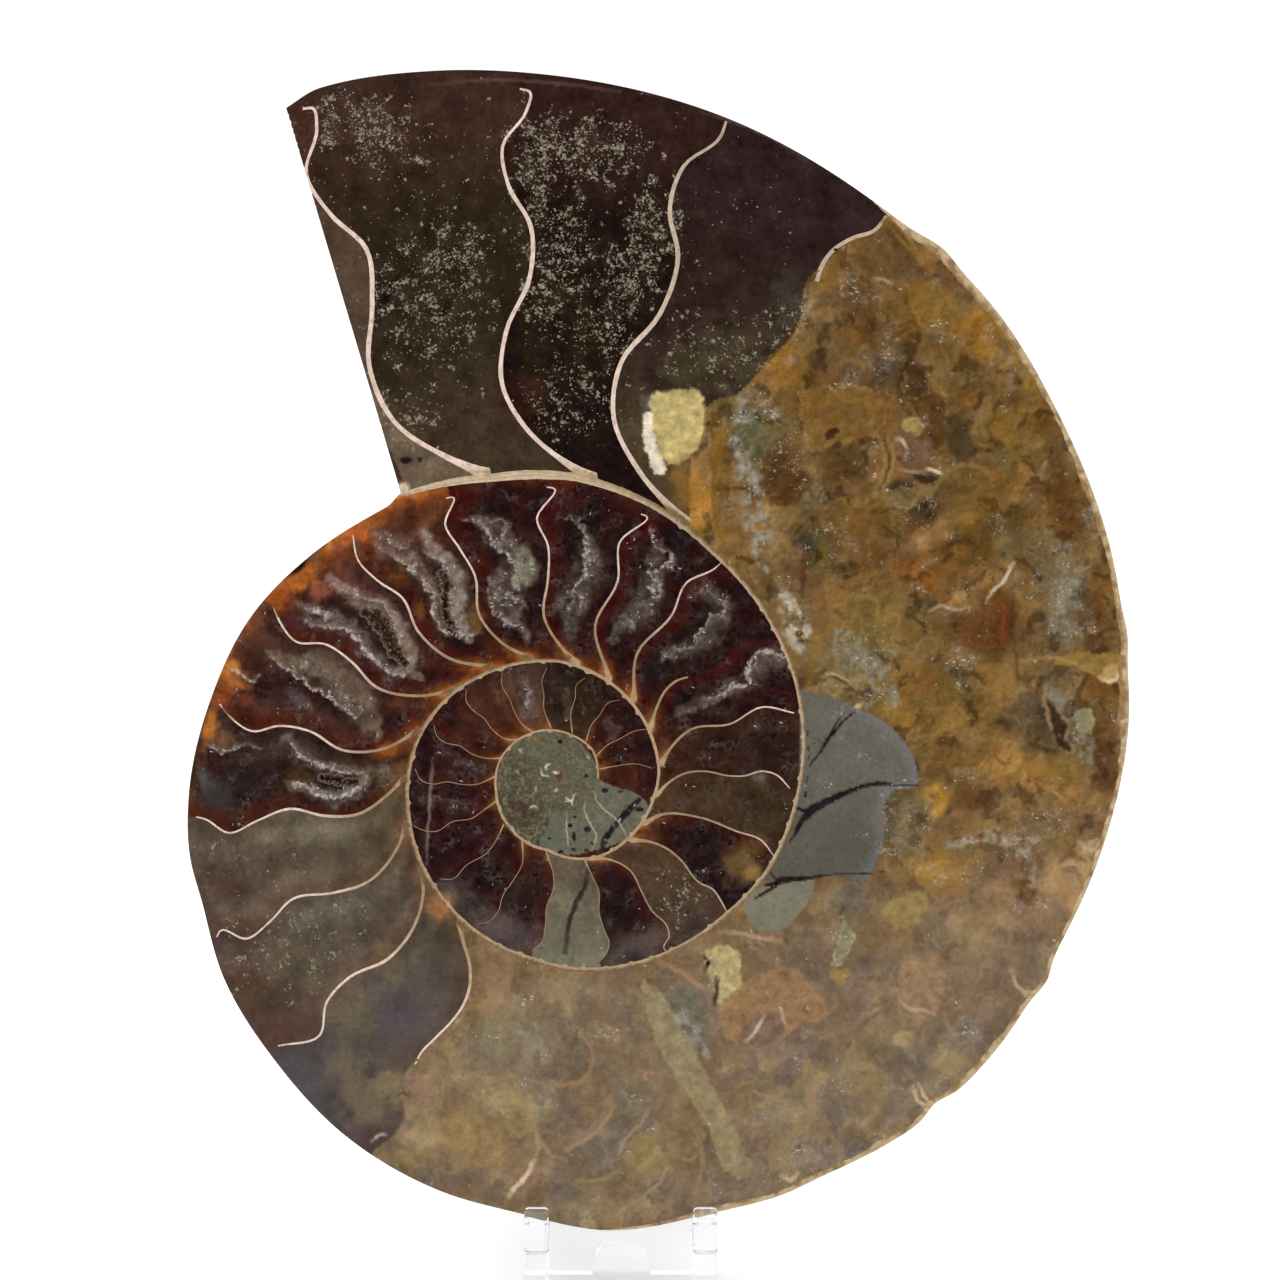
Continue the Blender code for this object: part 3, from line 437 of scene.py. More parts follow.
# Fragments of shell and calcite: colour, strength, colour and width of the rim, outline.
PLATES = (
    ((82, 56, 30), 0.75, (126, 92, 48), 0.3, ((60.2, 69.9), (62.1, 71.1), (63.8, 70.7), (64.6, 69),
     (66.3, 67.2), (67.7, 66.3), (67.2, 63.8), (67.8, 61.5), (67.2, 59), (65.5, 57.3), (64.6, 59.3),
     (63.8, 61.2), (62.4, 63.8), (60.7, 66.8))),
    ((106, 80, 60), 0.7, None, 0.5, ((59.8, 61.2), (61.9, 61.5), (64.9, 60.5), (65.6, 58.1),
     (64.9, 55.4), (62.2, 54.4), (60.2, 55.8))),
    ((46, 34, 26), 0.85, None, 0.15, ((62.2, 53.7), (64.3, 53.6), (66.3, 53.2), (64.9, 52),
     (62.9, 52.4))),
    ((46, 38, 30), 0.6, None, 0.4, ((57.8, 52.4), (60.2, 52.7), (62.6, 51.7), (62.2, 49.6),
     (58.8, 50), (57.5, 50.7))),
    ((62, 52, 38), 0.7, None, 0.6, ((67.3, 63.6), (69.7, 63.9), (71.7, 61.2), (72.1, 56.8),
     (69.7, 55.8), (68, 57.8))),
    ((106, 82, 46), 0.6, None, 0.3, ((66, 51.3), (68, 53.9), (69.7, 54.9), (72.8, 54.4),
     (74.8, 53.7), (75, 51), (72.1, 48.6), (67.7, 48.3), (65.3, 49.3))),
    ((138, 104, 46), 0.65, None, 0.5, ((60.9, 85.7), (64.3, 87), (67.7, 85), (70, 81.6),
     (72.4, 78.2), (69.4, 77.5), (65.6, 78.5), (62.9, 79.9), (61.5, 82.6))),
    ((96, 74, 44), 0.55, None, 0.8, ((58.1, 96.9), (60.7, 94.5), (62.9, 90.8), (61.2, 87.4),
     (56.4, 87), (51.7, 89.8), (53.4, 93.5))),
    ((92, 58, 32), 0.5, None, 0.8, ((69.4, 28.7), (72.2, 30.3), (75.3, 33.7), (79.1, 34.2),
     (78.7, 26.9), (77.2, 24.1), (73.3, 23.8), (69.9, 24.8))),
    ((140, 112, 62), 0.6, None, 0.6, ((77.2, 22.8), (78.9, 23.1), (79.6, 20.4), (79.2, 17),
     (77.2, 17))),
    ((62, 44, 31), 0.9, (158, 128, 96), 0.4, ((84.3, 16.7), (85.7, 15.3), (87, 13.3), (88.4, 11.2),
     (88.1, 8.8), (89.4, 6.5), (88.1, 6.5), (86.4, 8.8), (85.3, 11.2), (84.7, 13.9))),
    ((146, 140, 98), 0.85, (160, 150, 112), 0.2, ((89.8, 13.3), (91.8, 13.6), (92.8, 11.9),
     (92.1, 9.9), (90.1, 10.2))),
    ((142, 114, 58), 0.6, None, 0.7, ((83.6, 5.1), (86.7, 6.5), (90.4, 5.4), (91.1, 3.1),
     (87.7, 1.4), (84.3, 2.4))),
    ((92, 66, 38), 0.75, None, 0.5, ((79.6, -15.3), (81.6, -15), (83, -16.7), (82.6, -19.4),
     (80.9, -19.7), (79.9, -17.7))),
    ((160, 130, 74), 0.75, None, 0.15, ((47.4, -30.9), (49.5, -30.4), (51.5, -30.9), (50.8, -32.3),
     (50, -33.3), (48.8, -32.5))),
    ((148, 120, 88), 0.6, None, 0.5, ((60.2, -29.2), (63.6, -28.2), (66.6, -29.9), (67, -34),
     (66, -37.7), (62.6, -37.1), (60.2, -34.3))),
    ((108, 92, 78), 0.6, None, 0.6, ((40.1, -27.2), (43.9, -26.2), (46.6, -28.6), (44.9, -31.6),
     (41.5, -32.6), (39.4, -30.3))),
    ((106, 92, 76), 0.6, None, 0.8, ((76.8, -37.4), (79.6, -36), (81.9, -37.7), (79.6, -41.5),
     (76.2, -45.2), (73.4, -47.6), (72.1, -45.2), (74.1, -41.1))),
    ((140, 118, 80), 0.55, None, 0.7, ((50.7, -49), (53.7, -47.6), (56.4, -48.6), (57.1, -51),
     (54.1, -52.4), (51, -51.7))),
    ((100, 86, 70), 0.6, None, 0.7, ((54.4, -44.2), (57.5, -43.2), (60.5, -44.2), (61.9, -46.2),
     (59.2, -47.6), (55.4, -46.9))),
    ((106, 104, 88), 0.65, None, 0.7, ((20.4, -34.3), (23.5, -33.3), (25.8, -35.7), (27.2, -40.8),
     (25.8, -45.2), (23.5, -42.5), (21.1, -38.4))),
    ((132, 122, 90), 0.55, None, 0.9, ((-11.9, -39.4), (-7.1, -36.4), (-4.1, -38.4), (-4.8, -43.5),
     (-8.8, -45.6), (-12.2, -43.5))),
    ((152, 124, 82), 0.6, None, 0.9, ((-18.4, -56.1), (-13.3, -54.7), (-8.2, -57.8), (-6.5, -62.9),
     (-11.9, -64.3), (-17.3, -61.2))),
    ((112, 100, 84), 0.6, None, 0.7, ((11.2, -50.7), (15.6, -49.3), (19, -52), (18.4, -56.1),
     (14.6, -58.5), (11.6, -55.4))),
    ((146, 126, 84), 0.6, None, 0.4, ((13.6, -59.8), (17, -58.8), (19, -60.5), (18.7, -63.9),
     (15, -64.3))),
    ((124, 92, 48), 0.8, (146, 114, 66), 0.35, ((42.5, 67.7), (43.4, 62.6), (44.9, 57.8),
     (48.5, 59.2), (55.4, 60.4), (57.5, 62.9), (56.4, 67), (49.3, 68.7))),
    ((198, 178, 118), 0.95, None, 0.12, ((18.2, 67.7), (22.1, 68), (25.7, 67.7), (26.5, 66.3),
     (26.5, 63.8), (26.2, 61), (25.3, 58), (23.1, 55.9), (20.7, 55.3), (19.2, 56.6), (18.2, 59.2),
     (17.7, 61.9), (17.3, 64.6), (17.3, 66.3))),
    ((150, 114, 58), 0.45, None, 0.6, ((21.8, 56.8), (24.5, 56.8), (26.9, 56.8), (26.5, 53),
     (25.5, 49.6), (23.8, 48.3), (22.1, 50.7), (21.1, 54.1))),
    ((232, 220, 196), 0.95, None, 0, ((16, 63.8), (17.3, 64.6), (17.9, 62.2), (18.2, 59.5),
     (19, 57.1), (19.7, 53.7), (18.7, 53.6), (17.3, 55.8), (16.3, 59.2))),
    ((84, 58, 32), 0.8, (128, 98, 50), 0.3, ((35.9, 54.7), (42.8, 54.4), (42.2, 48.3),
     (37.9, 48.6))),
    ((120, 98, 54), 0.7, (140, 114, 64), 0.25, ((50.7, 33.2), (53.4, 33.5), (56.3, 32.1),
     (55.8, 28.9), (57.3, 27.9), (57.1, 29.2), (59.3, 29.9), (59, 25.5), (54.4, 23.5), (51, 26.5))),
    ((182, 164, 116), 0.95, (150, 128, 84), 0.2, ((26.9, -27.2), (30.3, -26.2), (32.8, -28.2),
     (32.5, -31.5), (33.8, -33.7), (32.3, -36), (28.9, -36.2), (28.2, -33.2), (26.7, -30.3))),
    ((150, 116, 80), 0.75, (158, 126, 90), 0.2, ((32.3, -33.7), (36.4, -31.5), (41.5, -29.9),
     (44.9, -34), (47.8, -38.1), (42.8, -39.8), (38.4, -43.2), (32, -43.5), (29.2, -37.4))),
    ((122, 100, 86), 0.8, None, 0, ((34, -39.1), (38.6, -37.7), (40.5, -41.1), (38.1, -43),
     (32.3, -43.5))),
    ((140, 134, 100), 0.85, (176, 166, 142), 0.2, ((50.2, -21.6), (51.9, -25.2), (50.7, -28.2),
     (48.6, -30.4), (49.5, -25.5))),
    ((154, 124, 94), 0.5, None, 0.3, ((60.4, -28.2), (66.3, -27.7), (67.3, -33.2), (65.5, -38.2),
     (62.4, -37.2), (59.8, -36.2))),
    ((152, 130, 78), 0.7, None, 0.3, ((56.6, -20.2), (59.5, -17.9), (64.3, -17.5), (63.6, -22.1),
     (59.8, -23.8))),
    ((112, 97, 78), 0.8, None, 0.4, ((1.4, -44.2), (4.6, -41.8), (7.1, -43.4), (7.5, -45.9),
     (6.8, -48.6), (3.1, -49.6), (0.3, -49))),
    ((152, 138, 102), 0.75, None, 0, ((15.8, -32), (18.7, -34), (23.1, -40.8), (27.9, -50.3),
     (32.3, -58.8), (34, -65.6), (32.3, -66.3), (26.9, -56.4), (20.4, -46.6), (17, -39.1))),
    ((114, 98, 84), 0.85, None, 0.2, ((38.8, -46.9), (41.1, -45.7), (43.2, -46.6), (42.8, -49),
     (40.5, -50.3), (38.4, -49.3))),
    ((146, 124, 80), 0.4, None, 0.3, ((11.9, -61.2), (15.6, -58.8), (18.2, -61.2), (17.7, -64.9),
     (13.9, -66))),
    ((132, 114, 74), 0.6, (150, 128, 80), 0.25, ((57.1, 50.7), (62.4, 51), (62.7, 49), (59.8, 47.9),
     (57.1, 48.3))),
    ((150, 128, 72), 0.85, (168, 146, 90), 0.2, ((60.7, 62.9), (62.9, 63.2), (63.9, 61.5),
     (62.2, 60.5), (60.5, 61.5))),
    ((60, 42, 30), 0.9, (138, 106, 58), 0.25, ((46.6, 60.5), (47.9, 61.7), (49.6, 61.2), (49, 60),
     (47.3, 59.5))),
    ((90, 72, 50), 0.6, (126, 98, 56), 0.3, ((50, 72.4), (51.3, 73.3), (53, 72.8), (53.2, 70.4),
     (51.7, 69.4), (50, 70))),
    ((74, 54, 36), 0.8, (120, 94, 54), 0.35, ((60.7, 70.7), (61.9, 72.1), (63.9, 71.1),
     (64.6, 67.7), (62.6, 66.6), (60.9, 67))),
    ((100, 78, 44), 0.7, (132, 106, 58), 0.3, ((47.3, 49), (50.5, 49.3), (51.3, 46.8), (50.3, 44.7),
     (47.9, 44.9))),
    ((150, 120, 62), 0.75, None, 0, ((86, 21.8), (89.8, 23.5), (93.8, 23), (96.7, 23.8),
     (96.7, 19.4), (93.5, 19.4), (90.1, 21.4), (86.4, 21.4))),
    ((196, 158, 104), 0.8, None, 0, ((94, 20.7), (96.9, 21.4), (96.9, 19), (95.2, 18.5))),
    ((176, 148, 112), 0.8, None, 0, ((90.1, -9.5), (93.8, -8.2), (94.4, -10.2), (92.1, -11.2))),
)
# Fine-grained matrix: colour and outline.
MATRIX = (
    ((104, 100, 89), ((42.8, 17), (46.9, 16.2), (49.6, 15.3), (52.4, 13.8), (56.1, 12.2),
     (59.2, 9.7), (61.5, 6.5), (62.7, 3.1), (62.6, 0.7), (58.8, 0), (56.8, -3.2), (57, -8.8),
     (55.4, -12.9), (54.1, -15.3), (47.9, -14.3), (42.8, -14.6), (36.4, -15), (38.1, -11.9),
     (41.1, -6.8), (42.3, -1.7), (42.8, 5.1))),
    ((124, 120, 102), ((33.3, -20.1), (34, -18), (40.6, -16), (45.2, -15.3), (44.7, -18),
     (42.7, -20.9), (40, -23.5), (37.9, -24.1), (35, -23.3))),
)
# Thin edges and veins: width, colour, strength, points.
LINES = (
    (0.3, (146, 108, 52), 0.8, ((61.2, 83.6), (62.1, 81.6), (63.8, 78.9), (66.3, 78), (69.9, 77.2),
     (72.4, 76.7))),
    (0.3, (150, 114, 60), 0.8, ((58.1, 97.1), (60.7, 94.5), (62.4, 92), (63.8, 89.6))),
    (0.3, (138, 104, 54), 0.8, ((49.1, 72.4), (50.7, 73.1), (52.9, 72.6), (53.6, 71.9))),
    (0.25, (138, 104, 54), 0.7, ((47.9, 68.9), (49, 67.2), (51, 66.1), (53.7, 66.5), (56.8, 68))),
    (0.5, (150, 110, 42), 0.6, ((74.1, 81.9), (77.5, 77.2), (79.7, 73.3), (80.2, 70.2))),
    (0.3, (146, 114, 60), 0.75, ((50.7, 30.1), (50.7, 32.8), (52.9, 33), (54.9, 32.5), (56.1, 31.3),
     (55.9, 29.8), (57.3, 28.7), (58.1, 29.6), (59.5, 29.8), (59.2, 27.5), (58.5, 25.8), (59.5, 24),
     (61.9, 23.3), (63.8, 25.8), (65.8, 25.5), (66.1, 24))),
    (1.2, (126, 96, 48), 0.6, ((50.3, 30.8), (47.9, 27.2), (45.9, 22.8), (44.4, 18.4),
     (43.9, 15.8))),
    (0.4, (70, 54, 34), 0.5, ((79.4, 34.9), (78.9, 26.9), (79.6, 22.8), (79.9, 17.7))),
    (0.35, (158, 122, 88), 0.7, ((3.6, -41.3), (6.1, -42.3), (7.5, -44.4), (7.3, -47.3),
     (6.1, -49.1), (0, -50.2))),
    (0.35, (80, 62, 44), 0.6, ((39.4, 54.4), (39.8, 51), (42.8, 49.3))),
    (0.3, (128, 98, 54), 0.7, ((49, 49.3), (50.7, 47.6), (50, 44.9), (47.6, 44.2), (46.6, 47.3),
     (49, 49.3))),
    (0.4, (134, 104, 56), 0.6, ((57.8, 52.7), (57.5, 50.3), (56.1, 48.6), (54.1, 47.9))),
    (0.25, (122, 98, 92), 0.55, ((15.6, 118.7), (21.8, 117.6), (27.9, 115.9), (34, 113.6))),
    (0.25, (116, 92, 88), 0.5, ((25.8, 115.3), (32.6, 113.2), (39.1, 110.2), (43.9, 107.1))),
    (0.3, (112, 88, 86), 0.5, ((-20.1, 120), (-8.2, 120.7), (3.1, 120), (12.2, 118.7))),
    (0.3, (132, 100, 52), 0.8, ((45.2, 85), (48.1, 86), (52.4, 85.9))),
    (0.35, (150, 112, 56), 0.9, ((43.7, 83.3), (42.8, 79.6), (40.6, 76), (37.7, 73.3),
     (34.2, 68.7))),
    (0.25, (74, 46, 28), 0.8, ((44.2, 85), (43.2, 81.3), (41.7, 77.9), (39.1, 74.8), (34.7, 70))),
    (0.3, (140, 108, 60), 0.7, ((57.5, 96.6), (60.7, 92.8), (63.6, 89.8))),
    (0.55, (126, 88, 36), 0.8, ((31.8, 62.1), (29.6, 58.7), (28.4, 54.4), (28.1, 49.3),
     (28.9, 44.5), (30.9, 39.8))),
    (0.7, (150, 120, 70), 0.8, ((56.4, 60), (57.5, 57), (57.1, 53.7), (55.8, 50.7))),
    (0.4, (80, 56, 32), 0.8, ((57.1, 59.5), (58.1, 56.4), (57.6, 53.4), (56.4, 50.7))),
    (0.5, (150, 122, 72), 0.8, ((57.8, 59.8), (58.7, 56.8), (58.1, 53.7), (57.1, 51.3))),
    (0.4, (196, 176, 134), 0.95, ((59.3, 59.8), (60.5, 59.3), (61, 58))),
    (0.35, (226, 210, 180), 0.95, ((64.3, 54.6), (65.8, 54.2), (67, 53.7))),
    (0.25, (160, 138, 106), 0.8, ((59.5, 54.6), (61.9, 54.1), (64.3, 54.2))),
    (0.5, (132, 108, 64), 0.8, ((61.9, 49), (64.9, 50.3), (67.3, 53.4), (69.7, 55.1), (72.4, 55.1),
     (74.8, 54.1), (75.3, 52))),
    (0.45, (120, 94, 50), 0.7, ((40.8, 41), (41.3, 43.2), (42.5, 45.2), (44.9, 47.3))),
    (0.4, (120, 96, 52), 0.6, ((50.8, 45.2), (51.3, 42.5), (50.7, 39.8), (51.3, 36.7))),
    (0.3, (208, 196, 176), 0.85, ((74.5, 31.8), (75.5, 33.7), (77.5, 35.5), (78.4, 37.4),
     (79.1, 38.6))),
    (0.25, (180, 164, 140), 0.7, ((64.8, 30.3), (66.6, 31.3), (69.4, 30.6), (71.9, 31.3))),
    (0.3, (150, 62, 40), 0.6, ((77.4, 31.3), (77.4, 28.9), (77.2, 24.5))),
    (0.4, (160, 128, 70), 0.8, ((80.6, 21.8), (84.5, 22.6), (88.4, 21.9), (91.1, 20.7),
     (93.7, 19.2))),
    (0.4, (222, 196, 150), 0.95, ((93.7, 19.2), (95, 18.5), (96.4, 18.7), (97.1, 19.7))),
    (0.3, (186, 166, 112), 0.9, ((47.3, 19.7), (49.3, 19.4), (51.5, 18))),
    (0.2, (66, 50, 34), 0.9, ((47.8, 19.4), (49.6, 18.9), (51.3, 17.7))),
    (0.4, (206, 176, 128), 0.9, ((53.4, 14.6), (52, 13.4))),
    (0.35, (196, 168, 124), 0.85, ((90.3, -8.8), (91.5, -10), (93.2, -10), (94.5, -8.2),
     (94.9, -6.5))),
    (0.35, (190, 168, 136), 0.85, ((78.9, -30.8), (79.6, -33), (81.3, -34.5), (83, -34.3),
     (84.3, -32.3))),
    (0.4, (206, 182, 148), 0.9, ((62.1, -50.3), (62.9, -52.7), (64.6, -53.9), (66.3, -52.9))),
    (0.3, (206, 182, 148), 0.9, ((63.1, -50), (63.9, -52), (64.9, -53))),
    (0.5, (30, 22, 18), 0.9, ((26.5, -28.4), (27.2, -29.2), (26.7, -30.6))),
    (0.45, (52, 40, 30), 0.9, ((28.7, -31.8), (28.7, -34), (28.2, -36.6))),
    (0.6, (160, 128, 98), 0.8, ((18.7, -29.1), (22.4, -30.9), (25.8, -33.3), (27.5, -34))),
    (0.5, (172, 142, 112), 0.9, ((29.1, -24), (33.5, -24.5), (36.9, -25.3), (39.6, -25.7))),
    (0.3, (206, 198, 182), 0.75, ((33.7, -42.7), (35.4, -40.8), (36.7, -38.4))),
    (0.25, (190, 176, 160), 0.6, ((39.3, -36.4), (40.5, -40.5))),
    (0.35, (158, 128, 102), 0.8, ((34, -50.7), (36, -51.7), (38.4, -52.4), (41.5, -53.7))),
    (0.4, (150, 128, 92), 0.7, ((38.8, -57.3), (40.1, -59.8), (40.3, -62.9), (40, -65.6))),
    (0.5, (214, 190, 150), 0.8, ((39.8, -65.6), (41.1, -66.3), (42.5, -65.3))),
    (0.3, (152, 128, 98), 0.8, ((-2, -51.3), (-1, -52.4), (1.4, -49.6))),
    (0.35, (156, 134, 92), 0.8, ((-3.7, -54.6), (-2.6, -56.8), (-1.4, -59.5), (0.5, -61.9),
     (3.1, -62.9))),
    (0.5, (226, 202, 164), 0.95, ((-6.6, -69.2), (-5.8, -67.8), (-4.4, -66.5), (-3.2, -64.8),
     (-2.4, -62.9))),
    (0.35, (164, 142, 100), 0.8, ((-2.4, -62.9), (-1.7, -60.9), (-1.9, -58.5))),
    (0.9, (148, 124, 100), 0.6, ((3.1, -61.2), (5.4, -59.5), (8, -57.1), (10.9, -53.7))),
    (0.35, (166, 140, 112), 0.8, ((3.1, -61.2), (5.8, -59.8), (8.8, -57.5), (11.4, -53.7))),
    (0.3, (160, 138, 94), 0.8, ((11.9, -62.2), (12.9, -59.8), (15.6, -56.8), (17.3, -54.1))),
    (0.45, (158, 134, 88), 0.7, ((4.8, -66.3), (8.8, -66.3), (12.6, -64.6))),
    (0.35, (168, 144, 110), 0.75, ((12.9, -71.1), (16.3, -69), (19, -66.6), (20.1, -64.3))),
    (0.35, (150, 126, 96), 0.7, ((24.8, -69.7), (25.8, -66.3), (26.2, -61.5), (25.2, -57.8))),
    (0.35, (156, 130, 100), 0.7, ((22.1, -62.2), (24.1, -62.9), (25.8, -61.5))),
    (0.4, (164, 132, 104), 0.6, ((15.1, -47.3), (17.7, -48.3), (19.7, -47.9))),
    (0.3, (150, 126, 84), 0.7, ((14.6, -33.3), (15.6, -35), (16.7, -37.1))),
    (0.35, (152, 126, 92), 0.7, ((0.9, -50.3), (3.7, -50), (7.1, -49.1))),
    (0.25, (200, 186, 156), 0.8, ((-29.9, -59.8), (-28.9, -58.8), (-27.5, -58.5))),
    (0.3, (96, 66, 48), 0.8, ((-25.7, -52), (-24.7, -51.5), (-23.6, -52))),
    (0.3, (112, 88, 70), 0.7, ((-25.2, -52.7), (-24.5, -55.4), (-25.8, -58.1), (-27.2, -60.5))),
    (0.35, (132, 106, 58), 0.6, ((66.6, 75.7), (68, 72.8), (67, 69))),
    (0.3, (150, 124, 72), 0.6, ((69.4, 88.4), (71.7, 86.4), (75.1, 85))),
    (0.3, (166, 150, 128), 0.8, ((55.4, 87), (57.1, 86.7), (58.5, 86))),
    (0.5, (118, 96, 72), 0.6, ((54.1, -37.7), (56.4, -36.4), (59.2, -35))),
    (0.4, (122, 104, 84), 0.6, ((56.4, -43.5), (59.8, -40.8), (62.2, -40.5))),
    (0.5, (108, 92, 76), 0.6, ((52.4, -40.8), (54.7, -38.8), (57.1, -37.4))),
    (0.3, (186, 160, 124), 0.8, ((59.8, -35.7), (61.2, -37.1), (63.2, -37.4), (65.6, -38.1))),
    (0.25, (170, 152, 110), 0.7, ((85.7, 0), (86.7, -0.7), (87.4, -1.7))),
)
# Translucent crystal in the chambers: colour, strength, then middle line and half width.
ZONES = (
    ((108, 94, 76), 0.85, ((-46.9, 23, 0.7), (-44.2, 22.1, 1.4), (-41.3, 21.4, 1.9),
     (-37.4, 20.7, 2.4), (-34.9, 18.2, 2.7), (-32.3, 14.3, 2.7), (-30.1, 11.2, 2.2),
     (-28.6, 9.7, 1))),
    ((112, 98, 104), 0.45, ((-43.9, 16.7, 0.9), (-42, 15.3, 1), (-40.8, 13.8, 0.7))),
    ((150, 128, 112), 0.8, ((-37.1, 35.7, 0.9), (-34.5, 34, 1.2), (-32.3, 32.3, 1.4),
     (-29.6, 31.3, 1.4), (-27.2, 30.3, 1.4), (-25.8, 27.9, 1.4), (-24.8, 25.5, 1.5),
     (-23.8, 23, 1.5), (-23, 20.6, 1.2), (-21.8, 19, 0.7))),
    ((118, 104, 100), 0.7, ((-42.8, 31.3, 0.7), (-39.1, 29.2, 1.5), (-35.4, 28.2, 1.7),
     (-32.5, 26.2, 1.5), (-30.3, 23.1, 1.4), (-28.1, 21.1, 1.2), (-25.5, 19.7, 1))),
    ((140, 112, 98), 0.65, ((-28.6, 42.5, 1.7), (-26, 40.8, 2), (-23.1, 38.8, 1.7),
     (-21.1, 36.6, 1.4), (-19.7, 33.7, 1.2), (-19, 30.6, 1), (-18.4, 28.2, 0.9))),
    ((146, 132, 118), 0.9, ((-21.1, 43.5, 0.9), (-19.6, 41, 1.2), (-17.5, 39.1, 1.4),
     (-15.8, 36.9, 1.4), (-15.3, 33.7, 1.4), (-15.5, 30.6, 1.2), (-15, 27.9, 1), (-13.3, 26, 0.7))),
    ((104, 92, 84), 0.8, ((-12.2, 46.1, 1), (-9.5, 44.4, 1.9), (-7.1, 41.5, 1.7), (-6.1, 38.8, 2),
     (-6.8, 35, 3.1), (-7.1, 31.6, 2.6), (-5.6, 28.6, 1.5), (-3.7, 25.8, 0.7))),
    ((134, 134, 108), 0.85, ((-4.4, 40.5, 1.4), (-3.7, 38.1, 1.9), (-4.4, 35.7, 1.5))),
    ((92, 84, 74), 0.8, ((7.1, 42.2, 1), (7.1, 38.8, 1.9), (5.8, 35.4, 2.4), (4.4, 31.6, 2.4),
     (3.7, 28.2, 1.5), (3.9, 25.8, 0.7))),
    ((96, 88, 78), 0.8, ((19, 41.7, 1), (18.4, 39.1, 1.5), (17.7, 35.4, 1.9), (16.3, 31.6, 2.2),
     (13.9, 29.2, 2), (12.1, 27.4, 1.4), (10.5, 25.5, 0.7))),
    ((92, 84, 74), 0.8, ((26.9, 34, 1.4), (29.6, 32, 1.7), (28.9, 28.9, 1.7), (26.4, 25.5, 1.7),
     (22.8, 23.8, 1.4), (19.7, 22.4, 0.7))),
    ((104, 92, 80), 0.75, ((40.1, 23, 1.5), (37.4, 22.1, 1.7), (34.3, 19.4, 1.7), (31.6, 17.3, 1.4),
     (28.4, 16, 1.4), (25.5, 14.8, 1), (22.4, 13.3, 0.7))),
    ((96, 84, 72), 0.75, ((-44.5, 8.8, 0.9), (-42.2, 6, 1.4), (-39.4, 4.2, 1.2), (-35.4, 3.4, 1),
     (-31.6, 2.7, 0.9))),
    ((112, 94, 66), 0.7, ((-29.9, 3.1, 1.4), (-27.7, 2.4, 1.7), (-25.5, 3.4, 1.2))),
    ((128, 118, 108), 0.85, ((-43.5, 0.7, 0.7), (-40.8, 0, 1), (-38.4, -1.2, 1.2),
     (-35.4, -1.5, 1.2), (-32.5, 0, 1), (-30.9, 1.5, 0.7))),
    ((112, 92, 86), 0.6, ((-4.1, 18, 1.2), (-3.4, 15.3, 1.4), (-2.7, 12.6, 1))),
    ((92, 70, 66), 0.6, ((3.4, 17.3, 0.7), (3.1, 15.3, 0.9), (3.4, 12.6, 0.7))),
    ((104, 80, 74), 0.5, ((9.9, 11.6, 0.9), (11.2, 10.2, 1), (10.9, 8.5, 0.7))),
    ((70, 52, 52), 0.6, ((-18.4, 6.5, 0.9), (-14.6, 4.8, 1), (-10.9, 3.7, 0.9))),
    ((74, 54, 52), 0.5, ((-20.4, -1.7, 1.2), (-16.7, -2.7, 1.4), (-12.6, -2.7, 0.9))),
)
# The same in the filling and the mouth, without the milk.
FROST = (
    ((150, 146, 134), 0.85, ((33.5, 65.6, 1.4), (32.6, 60.9, 1.4), (33.3, 55.8, 1.7),
     (34.7, 50.7, 2.2), (35.7, 45.9, 2.2), (36.4, 41.1, 1.7), (36.7, 38.1, 1))),
    ((172, 164, 152), 0.85, ((37.4, 65.6, 0.9), (38.4, 63.9, 1.2), (37.1, 62.9, 0.7))),
    ((186, 176, 156), 0.9, ((39.8, 33, 1), (41.5, 30.9, 1.9), (42.5, 27.5, 2.4),
     (42.8, 24.7, 1.7))),
    ((138, 130, 108), 0.8, ((50.2, 25.5, 1.7), (52.4, 23.5, 2.4), (54.4, 20.7, 2), (57.1, 18, 2.2),
     (58.5, 15.3, 1.5))),
    ((134, 128, 108), 0.8, ((87.7, 41.1, 1.2), (89.1, 37.1, 1.5), (88.4, 32.3, 1.7),
     (86.7, 29.2, 1.4), (89.4, 26.5, 1.2))),
    ((128, 122, 104), 0.75, ((85.7, 17, 1.4), (87.7, 14.6, 1.7), (90.8, 9.9, 1.5),
     (91.5, 5.1, 1.4))),
    ((158, 146, 122), 0.8, ((68.3, -9.2, 0.9), (72.1, -8.2, 1), (77.2, -8.2, 1.4),
     (81.6, -9.5, 1.7), (85.3, -7.8, 1))),
    ((160, 152, 134), 0.7, ((80.6, -10.5, 0.9), (81.9, -13.9, 1), (81.3, -17.3, 0.9))),
    ((146, 142, 130), 0.7, ((21.8, -37.1, 0.9), (23.8, -39.8, 1.4), (25.8, -43.5, 1.2),
     (27.5, -45.9, 0.7))),
    ((140, 134, 122), 0.6, ((-6.1, -40.5, 1), (-2.7, -42.5, 1.2), (0, -45.6, 1))),
    ((140, 134, 120), 0.5, ((-1.4, -54.4, 0.9), (-0.3, -52, 1.2), (0.7, -50, 0.9))),
)
